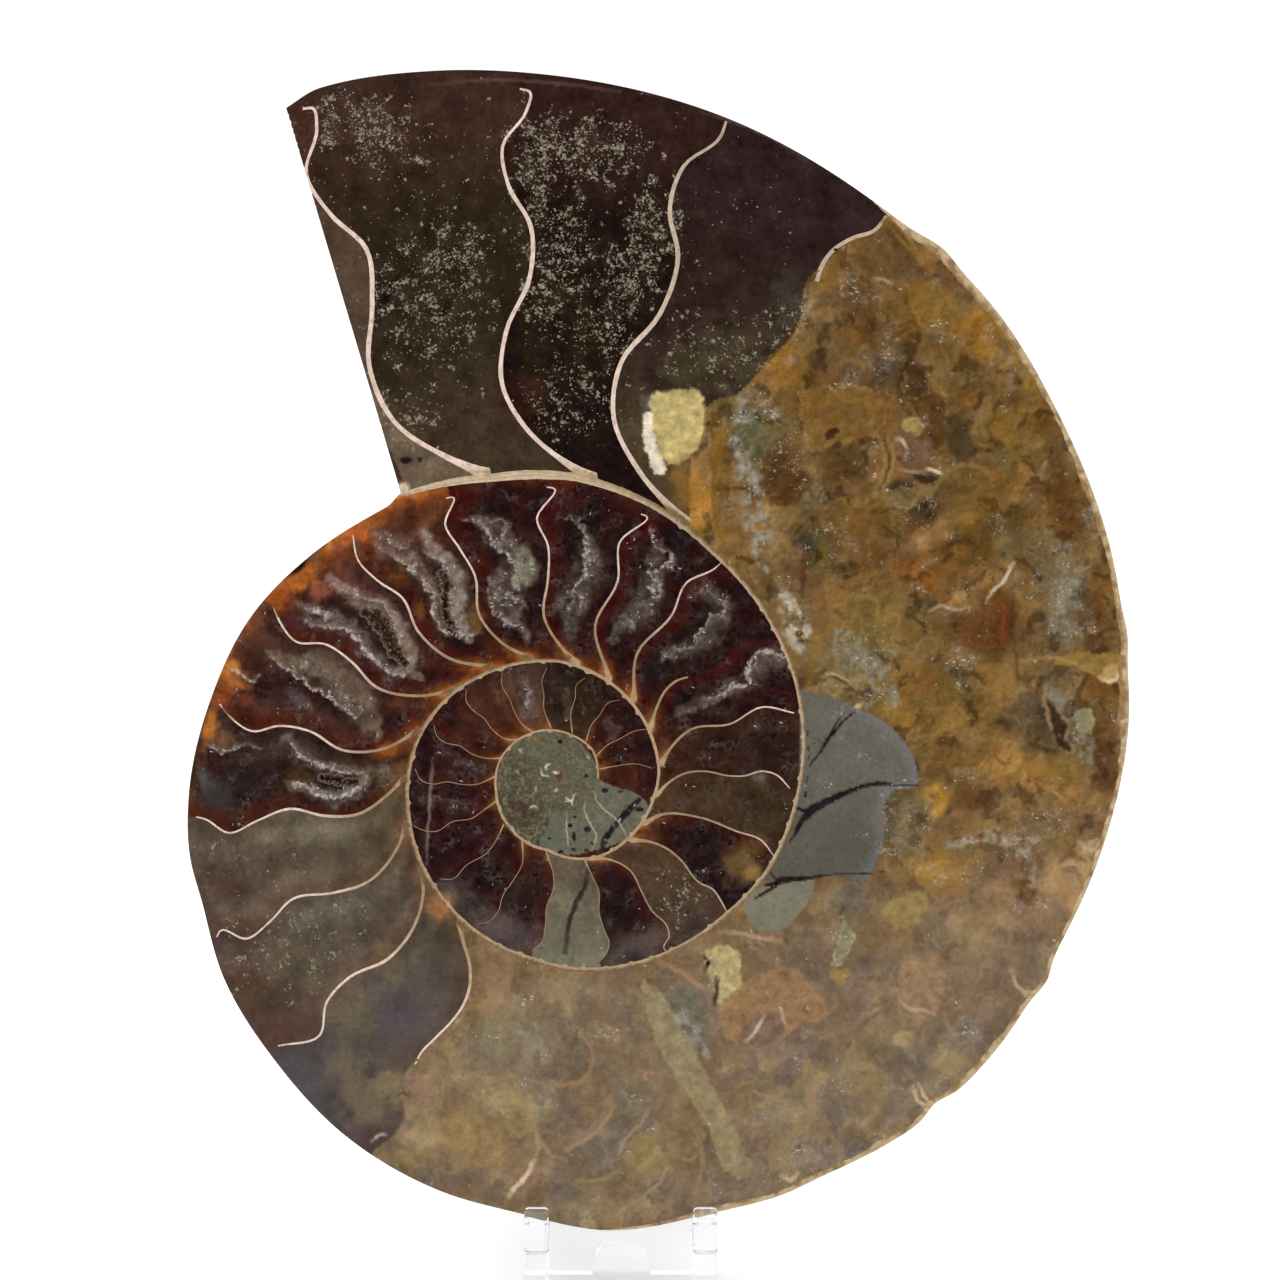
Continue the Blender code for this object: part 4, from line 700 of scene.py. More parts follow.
# White edges of crystal: width, strength, points.
CRESTS = (
    (0.5, 0.9, ((-46.8, 22.3), (-44.7, 20.9), (-42.7, 19.4), (-40.1, 17.5), (-38.4, 16.7),
     (-36.4, 15.1), (-34.9, 13.9), (-32.8, 12.8), (-31.3, 13.6))),
    (0.4, 0.7, ((-54.4, 21.1), (-52.4, 19.9), (-50.5, 18.5), (-48.5, 19.6))),
    (0.5, 0.6, ((-58.3, 7.7), (-55.4, 6.5), (-51.5, 7.8), (-48.6, 7.1))),
    (1.4, 1, ((-40.5, 30.6), (-39.1, 30.4), (-37.7, 29.4))),
    (0.6, 0.9, ((-41.7, 28.7), (-38.4, 27.9), (-34.9, 27.5), (-32.3, 25.5), (-30.4, 23),
     (-28.4, 21.1), (-26.2, 19.9), (-24.5, 19.7), (-23.5, 20.7))),
    (0.35, 0.6, ((-35.7, 34), (-33.3, 33), (-30.9, 32.6), (-27.9, 31.3), (-26.4, 28.9),
     (-25.5, 26.2), (-24.8, 24.1))),
    (0.4, 0.8, ((-29.1, 41), (-26.2, 39.6), (-23.5, 37.6), (-21.6, 36), (-20.2, 33.7),
     (-19.6, 30.9), (-18.9, 28.7), (-17.7, 27), (-16.2, 26.4), (-13.3, 26), (-11.7, 26.5))),
    (0.4, 0.8, ((-20.9, 40.1), (-18, 38.9), (-16.8, 36.9), (-16.8, 33.7), (-17.3, 30.6),
     (-15.5, 28.1), (-15, 26.9))),
    (0.3, 0.5, ((-27.9, 43.9), (-26.5, 41.8), (-24.5, 41.1), (-23.1, 42.8))),
    (0.6, 0.85, ((-14.6, 45.9), (-11.9, 45.9), (-10, 43.5), (-9, 41.7), (-6.8, 39.6), (-5.4, 38.2),
     (-5.8, 35.5), (-4.8, 34))),
    (0.5, 0.6, ((-9.9, 45.6), (-7.5, 45.9), (-7.1, 44.2), (-8.5, 42.8))),
    (0.4, 0.65, ((-9.9, 36.4), (-10, 32.8), (-9, 30.1), (-6.8, 28.7), (-4.9, 27.5), (-3.4, 25.5))),
    (0.5, 0.5, ((-8.2, 34), (-6.1, 33), (-4.4, 31.3), (-5.8, 29.9))),
    (0.5, 0.75, ((1.7, 46.4), (4.8, 45.7), (6, 44), (6.5, 41.5), (6.5, 38.4), (5.6, 35.7),
     (4.6, 34.3), (4.1, 32.5), (3.4, 30.4))),
    (0.45, 0.55, ((2.4, 32.3), (4.8, 33.3), (6.1, 32.3), (5.1, 30.9))),
    (0.45, 0.75, ((17.5, 44.5), (18, 41.5), (20.7, 40.5), (20.6, 38.8), (18.7, 37.2), (17, 37.2),
     (18.2, 35.5), (16.8, 34.5), (19.2, 34), (17.7, 32.5), (15.3, 31.3))),
    (0.35, 0.5, ((12.6, 29.2), (14.6, 28.6), (13.9, 27.2))),
    (0.45, 0.6, ((26.9, 34.3), (28.7, 32.1), (30.1, 31.3), (29.2, 29.6), (27.7, 29.8), (26.9, 28.1),
     (25.5, 26.7), (25.2, 25), (22.4, 24.1), (21.1, 23.3))),
    (0.6, 0.85, ((41.1, 24.1), (39.4, 22.8), (37.7, 23.5), (35.9, 23.3), (34, 20.1), (34.3, 18),
     (32, 17.7), (28.4, 16), (26.5, 15.3))),
    (0.5, 0.85, ((-44.2, 8.8), (-42.7, 6.3), (-41.1, 5.3), (-38.2, 3.9), (-34.9, 3.2),
     (-31.3, 2.7))),
    (0.7, 0.95, ((-43.7, 0.9), (-40.6, 0.3), (-38.8, -1), (-35.9, -1.2), (-32.8, 0), (-30.9, 1.7))),
    (0.35, 0.5, ((-4.4, 18), (-3.1, 17), (-3.7, 14.6), (-2.7, 13.3))),
)
# Stains in the chambers: middle, half sizes, turn in degrees, colour, strength.
STAINS = (
    (-4.4, 66.6, 4.8, 4.1, 0, (74, 42, 40), 0.45),
    (-53.7, 19.4, 2.7, 3.7, -20, (186, 112, 52), 0.9),
    (-55.4, 16.3, 1.7, 2.7, 0, (150, 70, 32), 0.8),
    (-51.7, 15.3, 1.7, 1.4, 0, (122, 66, 50), 0.7),
    (-57.5, 10.5, 1.4, 3.7, 8, (188, 116, 52), 0.85),
    (-55.1, 8.5, 2.4, 1.7, 0, (130, 90, 60), 0.6),
    (-42.2, 35.7, 5.1, 2.4, -38, (172, 96, 44), 0.9),
    (-45.6, 32.6, 2.4, 1.4, -45, (150, 78, 34), 0.8),
    (-38.4, 34, 3.1, 1.7, -20, (156, 92, 68), 0.7),
    (-31.3, 44.5, 4.4, 1.7, -30, (166, 92, 44), 0.85),
    (-24.5, 46.6, 4.1, 2, -10, (84, 48, 34), 0.7),
    (-25.8, 41.7, 3.7, 2.7, 0, (112, 80, 68), 0.6),
    (23.1, 51, 3.1, 4.4, -15, (130, 94, 46), 0.7),
    (17.3, 65.6, 1.7, 2, 0, (120, 122, 116), 0.5),
    (-32, 39.8, 1.4, 2.4, 0, (120, 62, 40), 0.6),
    (-42.2, 28.1, 2.7, 2.4, 0, (72, 46, 46), 0.7),
    (-25.5, 36.4, 3.4, 2, -20, (92, 58, 26), 0.7),
    (-21.8, 30.3, 1, 1.7, 0, (120, 88, 40), 0.6),
    (-12.6, 29.2, 1.7, 2.7, 0, (130, 100, 56), 0.5),
    (-18.4, 42.5, 2, 1.7, 0, (70, 40, 28), 0.6),
    (-55.8, 0, 4.4, 3.4, 0, (54, 50, 50), 0.95),
    (-50.7, 0.9, 4.1, 3.1, 0, (46, 38, 38), 0.9),
    (-58.8, 1.7, 1.4, 2, 0, (92, 94, 92), 0.6),
    (-42.2, 1.7, 3.4, 2.4, 0, (84, 60, 34), 0.6),
    (-27.7, 6.5, 2, 1.4, -20, (150, 84, 38), 0.8),
    (-30.9, 17, 1.7, 1.4, 0, (84, 52, 36), 0.5),
    (-24.8, 15.3, 2, 1.4, -30, (104, 58, 34), 0.6),
    (33.3, -12.2, 4.8, 3.4, -40, (116, 90, 54), 0.8),
    (34.7, -14.3, 2, 1.5, -40, (136, 108, 62), 0.7),
    (31.3, -10.2, 2.4, 1, -30, (84, 52, 32), 0.7),
    (35.5, 1.9, 1.7, 1.4, 0, (96, 92, 86), 0.7),
    (-24.8, -38.8, 5.8, 4.2, -10, (88, 80, 82), 0.95),
    (-24.5, 51.3, 1.2, 1.5, 0, (186, 168, 146), 1),
    (-41.7, 38.8, 4.6, 0.8, -41, (34, 26, 24), 1),
    (31.8, 75.7, 11.9, 5.8, -20, (74, 64, 48), 0.75),
    (24.1, 71.1, 5.8, 4.4, 0, (72, 64, 46), 0.7),
    (41.5, 83.3, 3.4, 5.8, -20, (74, 70, 58), 0.6),
    (36, 71.1, 7.5, 2.4, -30, (88, 80, 58), 0.6),
    (2, 78.2, 10.2, 13.6, 0, (52, 42, 32), 0.3),
    (-29.9, -53.4, 5.1, 4.4, 0, (120, 106, 82), 0.75),
    (-25.8, -50.3, 4.4, 3.1, 0, (132, 118, 90), 0.8),
    (-34.5, -47.3, 4.4, 3.7, 0, (108, 98, 82), 0.7),
    (-33.3, -37.4, 3.7, 6.8, 0, (110, 98, 76), 0.6),
    (-18.4, -19.6, 3.1, 2.7, -40, (160, 108, 66), 0.85),
    (-33.7, -33.2, 3.4, 3.4, 0, (108, 90, 76), 0.6),
    (-27.5, -28.9, 2.7, 3.4, 0, (116, 94, 66), 0.6),
    (-37.1, -37.4, 2.4, 4.1, 0, (104, 88, 70), 0.6),
    (-42.2, -51.9, 6.8, 5.1, 40, (90, 84, 86), 0.7),
    (-32.8, -51, 3.7, 5.1, 0, (112, 98, 78), 0.6),
    (-37.1, -6.8, 6.8, 2.4, 0, (116, 110, 92), 0.6),
    (-54.7, -15.3, 3.7, 4.1, 0, (78, 58, 50), 0.6),
    (-50.7, -34, 5.8, 5.1, 0, (84, 66, 52), 0.7),
    (-42.2, -28.9, 6.8, 5.1, 0, (96, 86, 68), 0.6),
    (-8.2, -23, 5.1, 2.4, 20, (98, 84, 82), 0.6),
    (17.3, -25.5, 5.1, 2, -12, (92, 78, 74), 0.7),
    (25.8, -19.6, 2.4, 1.7, 0, (84, 70, 50), 0.5),
    (-1.4, -1.7, 1.7, 1.4, 0, (94, 60, 52), 0.7),
    (-3.4, -6.1, 2, 1.4, 0, (86, 56, 48), 0.7),
    (1.9, 2.9, 0.5, 0.5, 0, (60, 34, 30), 0.9),
    (-2, 15.3, 1.4, 2.7, 0, (92, 66, 56), 0.5),
    (5.8, 14.6, 2, 2.7, 0, (48, 38, 30), 0.8),
)
# Cracks in the matrix: points with half widths.
CRACKS = (
    ((44.37, 4.08, 0.05), (45.9, 5.95, 0.19), (47.35, 8.33, 0.31), (48.91, 10.2, 0.24),
     (50.49, 11.97, 0.17), (51.68, 12.92, 0.12), (53.04, 13.94, 0.05)),
    ((50.32, 13.09, 0.05), (49.3, 11.73, 0.12), (48.11, 9.86, 0.09)),
    ((41.14, -8.84, 0.07), (42.33, -6.8, 0.31), (43.35, -5.1, 0.51), (44.71, -3.57, 0.73),
     (47.09, -2.12, 0.58), (49.81, -0.85, 0.48), (52.36, 0.17, 0.37), (54.91, 0.94, 0.31),
     (57.46, 1.1, 0.26), (59.16, 0.85, 0.1), (60.86, 0.77, 0.07), (62.9, 0.77, 0.03)),
    ((42.16, -3.06, 0.09), (43.18, -3.4, 0.26), (44.54, -3.74, 0.34)),
    ((35.02, -18.53, 0.07), (36.72, -17.51, 0.24), (38.08, -16.66, 0.31), (39.27, -15.47, 0.54),
     (41.31, -15.22, 0.44), (43.52, -15.05, 0.34), (45.9, -14.71, 0.2), (48.11, -14.38, 0.1),
     (53.04, -14.25, 0.06), (57.12, -13.94, 0.05)),
    ((36.72, -16.15, 0.1), (38.08, -15.98, 0.34), (39.27, -15.47, 0.34)),
    ((37.91, -13.94, 0.05), (38.42, -14.79, 0.14), (39.27, -15.3, 0.2)),
)
# The dark vein beside the middle: points with half widths.
BLACK_VEIN = (
    (15.47, -1.62, 0.34), (14.62, -2.55, 0.51), (13.6, -3.57, 0.54), (12.24, -5.1, 0.48),
    (10.88, -6.63, 0.44), (9.86, -8.16, 0.51), (9.18, -9.52, 0.41),
)
# The chambers of matrix beside the middle, and the septa in them.
WEDGE = (
    (8.62, 1.7), (12.58, 0.17), (14.71, -0.43), (17, -2.72), (16.66, -4.59), (13.77, -8.16),
    (9.35, -9.86), (6.46, -10.61), (3.57, -11.05), (-0.34, -10.3), (-1.36, -9.52), (-0.34, -7.09),
    (1.19, -3.57), (2.72, -3.4), (5.44, -3.18), (6.29, -2.04), (7.82, -1.62), (7.82, 0),
)
WEDGE_SEPTA = (
    ((7.82, 0), (8.43, -2.21), (10.37, -3.91), (12.16, -5.53), (13.26, -7.99)),
    ((6.29, -2.04), (6.19, -3.57), (7.06, -5.53), (8.25, -8.08), (7.48, -10.03)),
    ((3.35, -3.91), (3.16, -6.89), (3.57, -9.44)),
)
# Tiny curled shells in the sediment of the middle: width, strength, points.
CURLS = (
    (0.22, 0.9, ((0.43, 4.59), (-0.26, 4.08), (-0.26, 3.4))),
    (0.22, 0.8, ((-1.22, 3.83), (-0.94, 2.72), (0.17, 2.3))),
    (0.3, 0.85, ((0.68, 2.96), (1.87, 2.96))),
    (0.25, 0.5, ((-2.11, 0.51), (-2.07, -0.34))),
    (0.45, 0.9, ((1.19, -0.17), (1.53, 0.03))),
    (0.22, 0.85, ((3.06, -1.36), (3.91, -1.7), (4.76, -0.68))),
    (0.25, 0.95, ((2.96, -1.87), (3.91, -1.96), (4.08, -2.55))),
    (0.22, 0.8, ((-3.18, -3.15), (-2.55, -2.72), (-1.92, -2.99))),
    (0.35, 0.6, ((-4.85, 6.8), (-4.59, 6.46))),
    (0.25, 0.6, ((6.63, 5.95), (7.06, 5.27))),
    (0.25, 0.5, ((-5.44, 3.4), (-5.1, 2.72))),
)
# Small dark holes: middle and half sizes.
HOLES = (
    (2.09, 8.23, 0.44, 0.36),
    (4.52, -4.56, 0.27, 0.26),
    (3.74, -6.02, 0.41, 0.32),
    (4.42, -7.87, 0.31, 0.78),
    (6.68, -6.7, 0.54, 0.48),
    (2.19, -10.51, 0.48, 0.24),
    (4.42, -10.12, 0.49, 0.29),
    (6.58, -10.3, 0.39, 0.24),
    (7.45, -9.04, 0.26, 0.26),
    (0.24, -8.26, 0.31, 0.2),
    (9.69, -0.07, 0.51, 0.41),
    (12.33, -0.26, 0.51, 0.24),
    (15.56, -3.28, 0.65, 0.41),
    (6.46, 2.38, 0.37, 0.27),
    (44.17, 9.69, 0.2, 0.54),
    (44.27, 7.06, 0.17, 0.51),
    (44.37, 5.61, 0.15, 0.41),
    (44.03, 1.87, 0.22, 0.58),
    (43.79, -0.85, 0.29, 0.61),
    (45.27, 7.91, 0.22, 0.19),
    (45.87, 8.5, 0.17, 0.17),
    (-21.83, 56.19, 0.44, 0.41),
    (-24.14, 56.1, 1.02, 0.61),
    (-12.41, 53.89, 0.54, 0.17),
    (-9.1, 54.66, 0.51, 0.27),
)
# Patches in the sediment of the middle: middle, half sizes, turn in degrees, colour, strength.
DISC_SPOTS = (
    (-2.5, 8.7, 1, 0.5, 0, (140, 118, 70), 0.8),
    (1.9, 2.1, 0.7, 1, 10, (98, 58, 44), 0.8),
    (-4.4, -3.7, 2.9, 2.4, 20, (88, 70, 60), 0.75),
    (-2.6, -1.7, 1.5, 0.9, 0, (92, 70, 58), 0.5),
    (2.6, 9.7, 1.4, 0.7, 0, (100, 100, 82), 0.4),
    (-4.8, 3.7, 1.2, 1.5, 0, (112, 92, 66), 0.4),
    (-0.5, 6.5, 2.4, 1.5, 0, (108, 112, 92), 0.5),
    (5.4, 4.2, 2, 2.4, 0, (116, 118, 98), 0.4),
    (-3.4, -1, 1.2, 1, 0, (112, 118, 84), 0.5),
    (-2.9, -7.1, 1.5, 1.4, 0, (122, 116, 84), 0.5),
)
# White grains: middle, half sizes, turn, share of the surface.
GRAINS = (
    (-16.7, 91.8, 37.4, 34, 0, 0.1),
    (15.6, 83.3, 20.4, 30.6, 0, 0.1),
    (-30.3, 112.2, 10.2, 5.8, 20, 0.7),
    (-37.1, 113.1, 2.4, 4.4, 0, 0.7),
    (-20.1, 83.3, 11.9, 13.6, 0, 0.4),
    (-15.8, 91, 6.1, 6.8, 0, 0.55),
    (-23.5, 62.9, 6.8, 5.1, 20, 0.4),
    (5.4, 108.8, 11.9, 6.1, 10, 0.75),
    (-2.2, 106.3, 4.4, 8.5, 0, 0.95),
    (17, 94.2, 4.4, 9.5, 15, 1),
    (13.1, 86.7, 5.1, 6.8, 0, 0.8),
    (2, 91.8, 6.8, 10.2, 0, 0.6),
    (8.8, 78.2, 6.8, 6.8, 0, 0.45),
    (-0.5, 83.3, 4.1, 6.8, 0, 0.6),
    (3.7, 66.3, 8.5, 8.5, 0, 0.35),
    (36, 98.6, 15.3, 11.9, -25, 0.07),
    (34.3, 74.8, 11.9, 5.8, -30, 0.3),
    (24.1, 74.8, 6.8, 6.8, 20, 0.3),
    (41.1, 79.9, 3.4, 4.1, 0, 0.4),
    (53, 83.3, 10.2, 10.2, 0, 0.1),
    (59.8, 69.7, 10.2, 8.5, 0, 0.12),
    (59.8, 56.1, 10.2, 6.8, 0, 0.12),
    (64.1, 47.6, 5.8, 3.4, -25, 0.25),
    (47.9, 41.7, 5.1, 7.7, 0, 0.22),
    (41.1, 57.8, 5.1, 8.5, 0, 0.25),
    (54.7, 23.8, 8.5, 6.8, 0, 0.2),
    (87, 34, 6.8, 10.2, 0, 0.2),
    (70, 30.6, 10.2, 8.5, 0, 0.1),
    (59.8, -5.1, 5.1, 8.5, 0, 0.3),
    (76.8, -10.2, 11.9, 6.8, 0, 0.12),
    (22.4, -17.9, 5.8, 5.8, 20, 0.3),
    (24.1, -37.4, 6.8, 6.8, 0, 0.15),
    (46.6, -62.9, 10.2, 3.4, -10, 0.3),
    (36, -64.6, 3.4, 5.1, 0, 0.15),
    (-43.9, -25.5, 15.3, 10.2, 0, 0.22),
    (-50.7, -11.9, 10.2, 10.2, 0, 0.12),
)


# ---- Numbers for curves and natural variation ---------------------------------------------------

FAR = 99.0


def hermite(t, gap, start, end, start_slope, end_slope):
    """The cubic that joins two values with two slopes, at a share t of the gap between them."""
    return (
        (2 * t**3 - 3 * t**2 + 1) * start
        + (t**3 - 2 * t**2 + t) * gap * start_slope
        + (3 * t**2 - 2 * t**3) * end
        + (t**3 - t**2) * gap * end_slope
    )


def smooth_line(points, steps=6):
    """A smooth line through the points, with steps short pieces to each span."""
    knots = np.array(points, float)
    gaps = np.maximum(np.hypot(*np.diff(knots[:, :2], axis=0).T), 1e-6)
    ends = np.concatenate([[0], np.cumsum(gaps)])
    slopes = np.gradient(knots, ends, axis=0, edge_order=1)
    t = np.arange(steps)[:, None] / steps
    line = [
        hermite(t, gap, knots[k], knots[k + 1], slopes[k], slopes[k + 1])
        for k, gap in enumerate(gaps)
    ]
    return np.concatenate(line + [knots[-1:]])


def smooth_ring(points, steps):
    """A smooth closed outline through the points, its first point not repeated at the end."""
    return smooth_line(tuple(points) + (points[0],), steps)[:-1]


def closed(ring):
    """The outline with its first point again at the end."""
    return np.vstack([ring, ring[:1]])


def step(value, low, high):
    """0 below low, 1 above high and smooth between."""
    t = np.clip((value - low) / (high - low), 0, 1)
    return t * t * (3 - 2 * t)


def scatter(i, j, seed):
    """A number from 0 to 1 that belongs to a whole-number cell, the same at each run."""
    n = (i * 374761393 + j * 668265263 + seed * 362437) & 0xFFFFFFFF
    n = ((n ^ (n >> 13)) * 1274126177) & 0xFFFFFFFF
    return ((n ^ (n >> 16)) & 0xFFFF) / 65535.0


def ripple(p, size, seed):
    """Smooth variation from -1 to 1 with features of one size."""
    q = p / size
    cell = np.floor(q).astype(np.int64)
    f = q - cell
    fade = f * f * f * (f * (6 * f - 15) + 10)
    total = 0.0
    for dx in (0, 1):
        for dy in (0, 1):
            turn = 2 * np.pi * scatter(cell[:, 0] + dx, cell[:, 1] + dy, seed)
            slope = np.cos(turn) * (f[:, 0] - dx) + np.sin(turn) * (f[:, 1] - dy)
            wx = fade[:, 0] if dx else 1 - fade[:, 0]
            wy = fade[:, 1] if dy else 1 - fade[:, 1]
            total = total + slope * wx * wy
    return 1.5 * total


def cloud(p, size, seed, octaves=3):
    """Ripples of halving size added up, about -1 to 1."""
    total, share = 0.0, 1.0
    for k in range(octaves):
        total = total + share * ripple(p + 31.7 * k, size / 2**k, seed + 101 * k)
        share *= 0.55
    return total


def swirl(p, size, seeds, octaves=3):
    """Clouds to shift places by, one for each direction."""
    return np.stack([cloud(p, size, seed, octaves) for seed in seeds], axis=1)


def shards(p, size, seed):
    """Distance to the nearest of a scatter of points and to the next, and the nearest's number."""
    q = p / size
    cell = np.floor(q).astype(np.int64)
    first = np.full(len(p), FAR)
    second = np.full(len(p), FAR)
    number = np.zeros(len(p))
    for dx in (-1, 0, 1):
        for dy in (-1, 0, 1):
            i, j = cell[:, 0] + dx, cell[:, 1] + dy
            x, y = i + scatter(i, j, seed), j + scatter(i, j, seed + 9)
            away = np.hypot(x - q[:, 0], y - q[:, 1])
            nearer = away < first
            second = np.where(nearer, first, np.minimum(second, away))
            number = np.where(nearer, scatter(i, j, seed + 5), number)
            first = np.where(nearer, away, first)
    return first, second, number


def close_to(p, line, reach):
    """Numbers of the points in the box round a line, widened by a reach."""
    low, high = line.min(axis=0)[:2] - reach, line.max(axis=0)[:2] + reach
    return np.flatnonzero(((p > low) & (p < high)).all(axis=1))


def from_line(p, line):
    """Distance of each point from a line, how far along it, 0 to 1, and the side of it, -1 or 1."""
    best = np.full(len(p), FAR)
    along = np.zeros(len(p))
    side = np.ones(len(p))
    for k in range(len(line) - 1):
        a, ab = line[k, :2], line[k + 1, :2] - line[k, :2]
        t = np.clip((p - a) @ ab / max(ab @ ab, 1e-9), 0, 1)
        off = p - a - t[:, None] * ab
        away = np.hypot(*off.T)
        nearer = away < best
        best[nearer] = away[nearer]
        along[nearer] = (k + t[nearer]) / (len(line) - 1)
        side[nearer] = np.sign(ab[0] * off[nearer, 1] - ab[1] * off[nearer, 0])
    return best, along, side


def within_edges(p, edges):
    """Which points are inside the closed loops that the edges make."""
    odd = np.zeros(len(p), bool)
    for a, b in edges:
        crosses = (a[1] > p[:, 1]) != (b[1] > p[:, 1])
        rise = b[1] - a[1] if b[1] != a[1] else 1e-9
        odd ^= crosses & (p[:, 0] < a[0] + (p[:, 1] - a[1]) / rise * (b[0] - a[0]))
    return odd


def inside(p, outline):
    """Which points are inside a closed outline."""
    return within_edges(p, zip(outline, np.roll(outline, -1, axis=0)))


def beyond(p, outline):
    """Distance outside a closed outline, below 0 inside it."""
    away, *_ = from_line(p, closed(outline))
    return np.where(inside(p, outline), -away, away)


def width_at(line, along):
    """The line's own width, its third column, at a share of the way along it."""
    return np.interp(along, np.linspace(0, 1, len(line)), line[:, 2])


def angle_of(p):
    """Angle round the coil's middle, -180 to 180 degrees."""
    return np.degrees(np.arctan2(p[:, 1], p[:, 0]))


# ---- The coil as a tube -------------------------------------------------------------------------


def rim_radius(angle):
    """Radius of the outer edge at this angle, in degrees from -243.7 to 111."""
    knots = np.array(RIM)
    spans = np.roll(knots, -1, 0) - np.roll(knots, 1, 0)
    slopes = spans[:, 1] / spans[:, 0]
    slopes[0] = (knots[1, 1] - knots[0, 1]) / (knots[1, 0] - knots[0, 0])
    slopes[-1] = (knots[-1, 1] - knots[-2, 1]) / (knots[-1, 0] - knots[-2, 0])
    k = np.clip(np.searchsorted(knots[:, 0], angle) - 1, 0, len(knots) - 2)
    gap = knots[k + 1, 0] - knots[k, 0]
    t = np.clip((angle - knots[k, 0]) / gap, 0, 1)
    radius = hermite(t, gap, knots[k, 1], knots[k + 1, 1], slopes[k], slopes[k + 1])
    return radius + sum(h * np.exp(-(((angle - a) / w) ** 2)) for a, h, w in RIM_FLAKES)


def wall_radius(angle):
    """Radius of the wall between two turns, at an angle that goes on falling inwards."""
    knots = np.array(WALL)
    return np.interp(-angle, -knots[:, 0], knots[:, 1])


def disc_radius(angle):
    """Edge of the sediment disc in the middle."""
    turn = np.radians(angle)
    return 1 / np.hypot(np.cos(turn) / DISC[0], np.sin(turn) / DISC[1])


def tube_place(p, turn=None):
    """Angle along the tube, falling inwards, and place across it from 0 inside to 1 outside,
    then the distances from its inner and outer walls, and which points are on the disc."""
    angle = (angle_of(p) - NOTCH_ANGLE) % 360 + NOTCH_ANGLE
    radius = np.hypot(p[:, 0], p[:, 1])
    if turn is None:
        turn = (radius < wall_radius(angle - 360)).astype(int) + (radius < wall_radius(angle - 720))
    along = angle - 360 * turn
    outer = np.where(turn == 0, rim_radius(np.clip(angle, RIM[0][0], RIM[-1][0])), wall_radius(along))
    inner = np.where(turn == 2, disc_radius(angle), wall_radius(along - 360))
    across = (radius - inner) / np.maximum(outer - inner, 0.5)
    return along, across, radius - inner, outer - radius, radius < disc_radius(angle)


def chamber_of(along, across):
    """Number of the chamber at a place in the tube, and the place between its two septa, 0 to 1."""
    number = np.zeros(len(along), int)
    before = np.full(len(along), 125.0)
    after = np.full(len(along), -1100.0)
    for name, _, points in SEPTA:
        line = smooth_line(LONG_SEPTA.get(name, points))
        middle = line[len(line) // 2 : len(line) // 2 + 1]
        at_middle = tube_place(middle)[0]
        turn = round(float((at_middle - tube_place(middle, 0)[0])[0] / -360))
        place, height, *_ = tube_place(line, np.full(len(line), turn))
        place = place + 360 * np.round((at_middle[0] - place) / 360)
        order = np.argsort(height)
        edge = np.interp(across, height[order], place[order])
        passed = along < edge
        number += passed
        before = np.where(passed, np.minimum(before, edge), before)
        after = np.where(passed, after, np.maximum(after, edge))
    number[across > BEYOND_RIM] = 0  # beside the mouth, outside the turn within
    return number, np.clip((before - along) / np.maximum(before - after, 0.5), 0, 1)


# ---- The colours of the cut face ----------------------------------------------------------------


class Paint:
    """Colour, 0 to 255, share of grains and of fine crystal, and depth, at points of the cut face."""

    def __init__(self, p):
        self.p = p
        self.color = np.zeros((len(p), 3))
        self.grain = np.zeros(len(p))
        self.frost = np.zeros(len(p))
        self.depth = np.zeros(len(p))

    def lay(self, where, tone, amount):
        """Mixes a tone into the colour at the numbered points, by an amount from 0 to 1."""
        amount = np.clip(amount, 0, 1)[:, None]
        self.color[where] += amount * (np.array(tone) - self.color[where])

    def shade(self, where, amount):
        """Makes the numbered points lighter (above 0) or darker by that part."""
        self.color[where] *= 1 + amount[:, None]


def at_least(values, where, least):
    """Raises the numbered values that are below the least."""
    values[where] = np.maximum(values[where], least)


def spot_of(p, row, ragged):
    """Share from 1 in the middle of an oval to 0 outside it, with a ragged edge."""
    u, v, across, up, turn = row[:5]
    reach = 1.6 * max(across, up)
    where = np.flatnonzero((np.abs(p - (u, v)) < reach).all(axis=1))
    c, s = math.cos(math.radians(turn)), math.sin(math.radians(turn))
    x, y = (p[where] - (u, v)).T
    away = np.hypot((x * c - y * s) / across, (x * s + y * c) / up)
    return where, 1 - step(away + ragged[where], 0.35, 1.3)


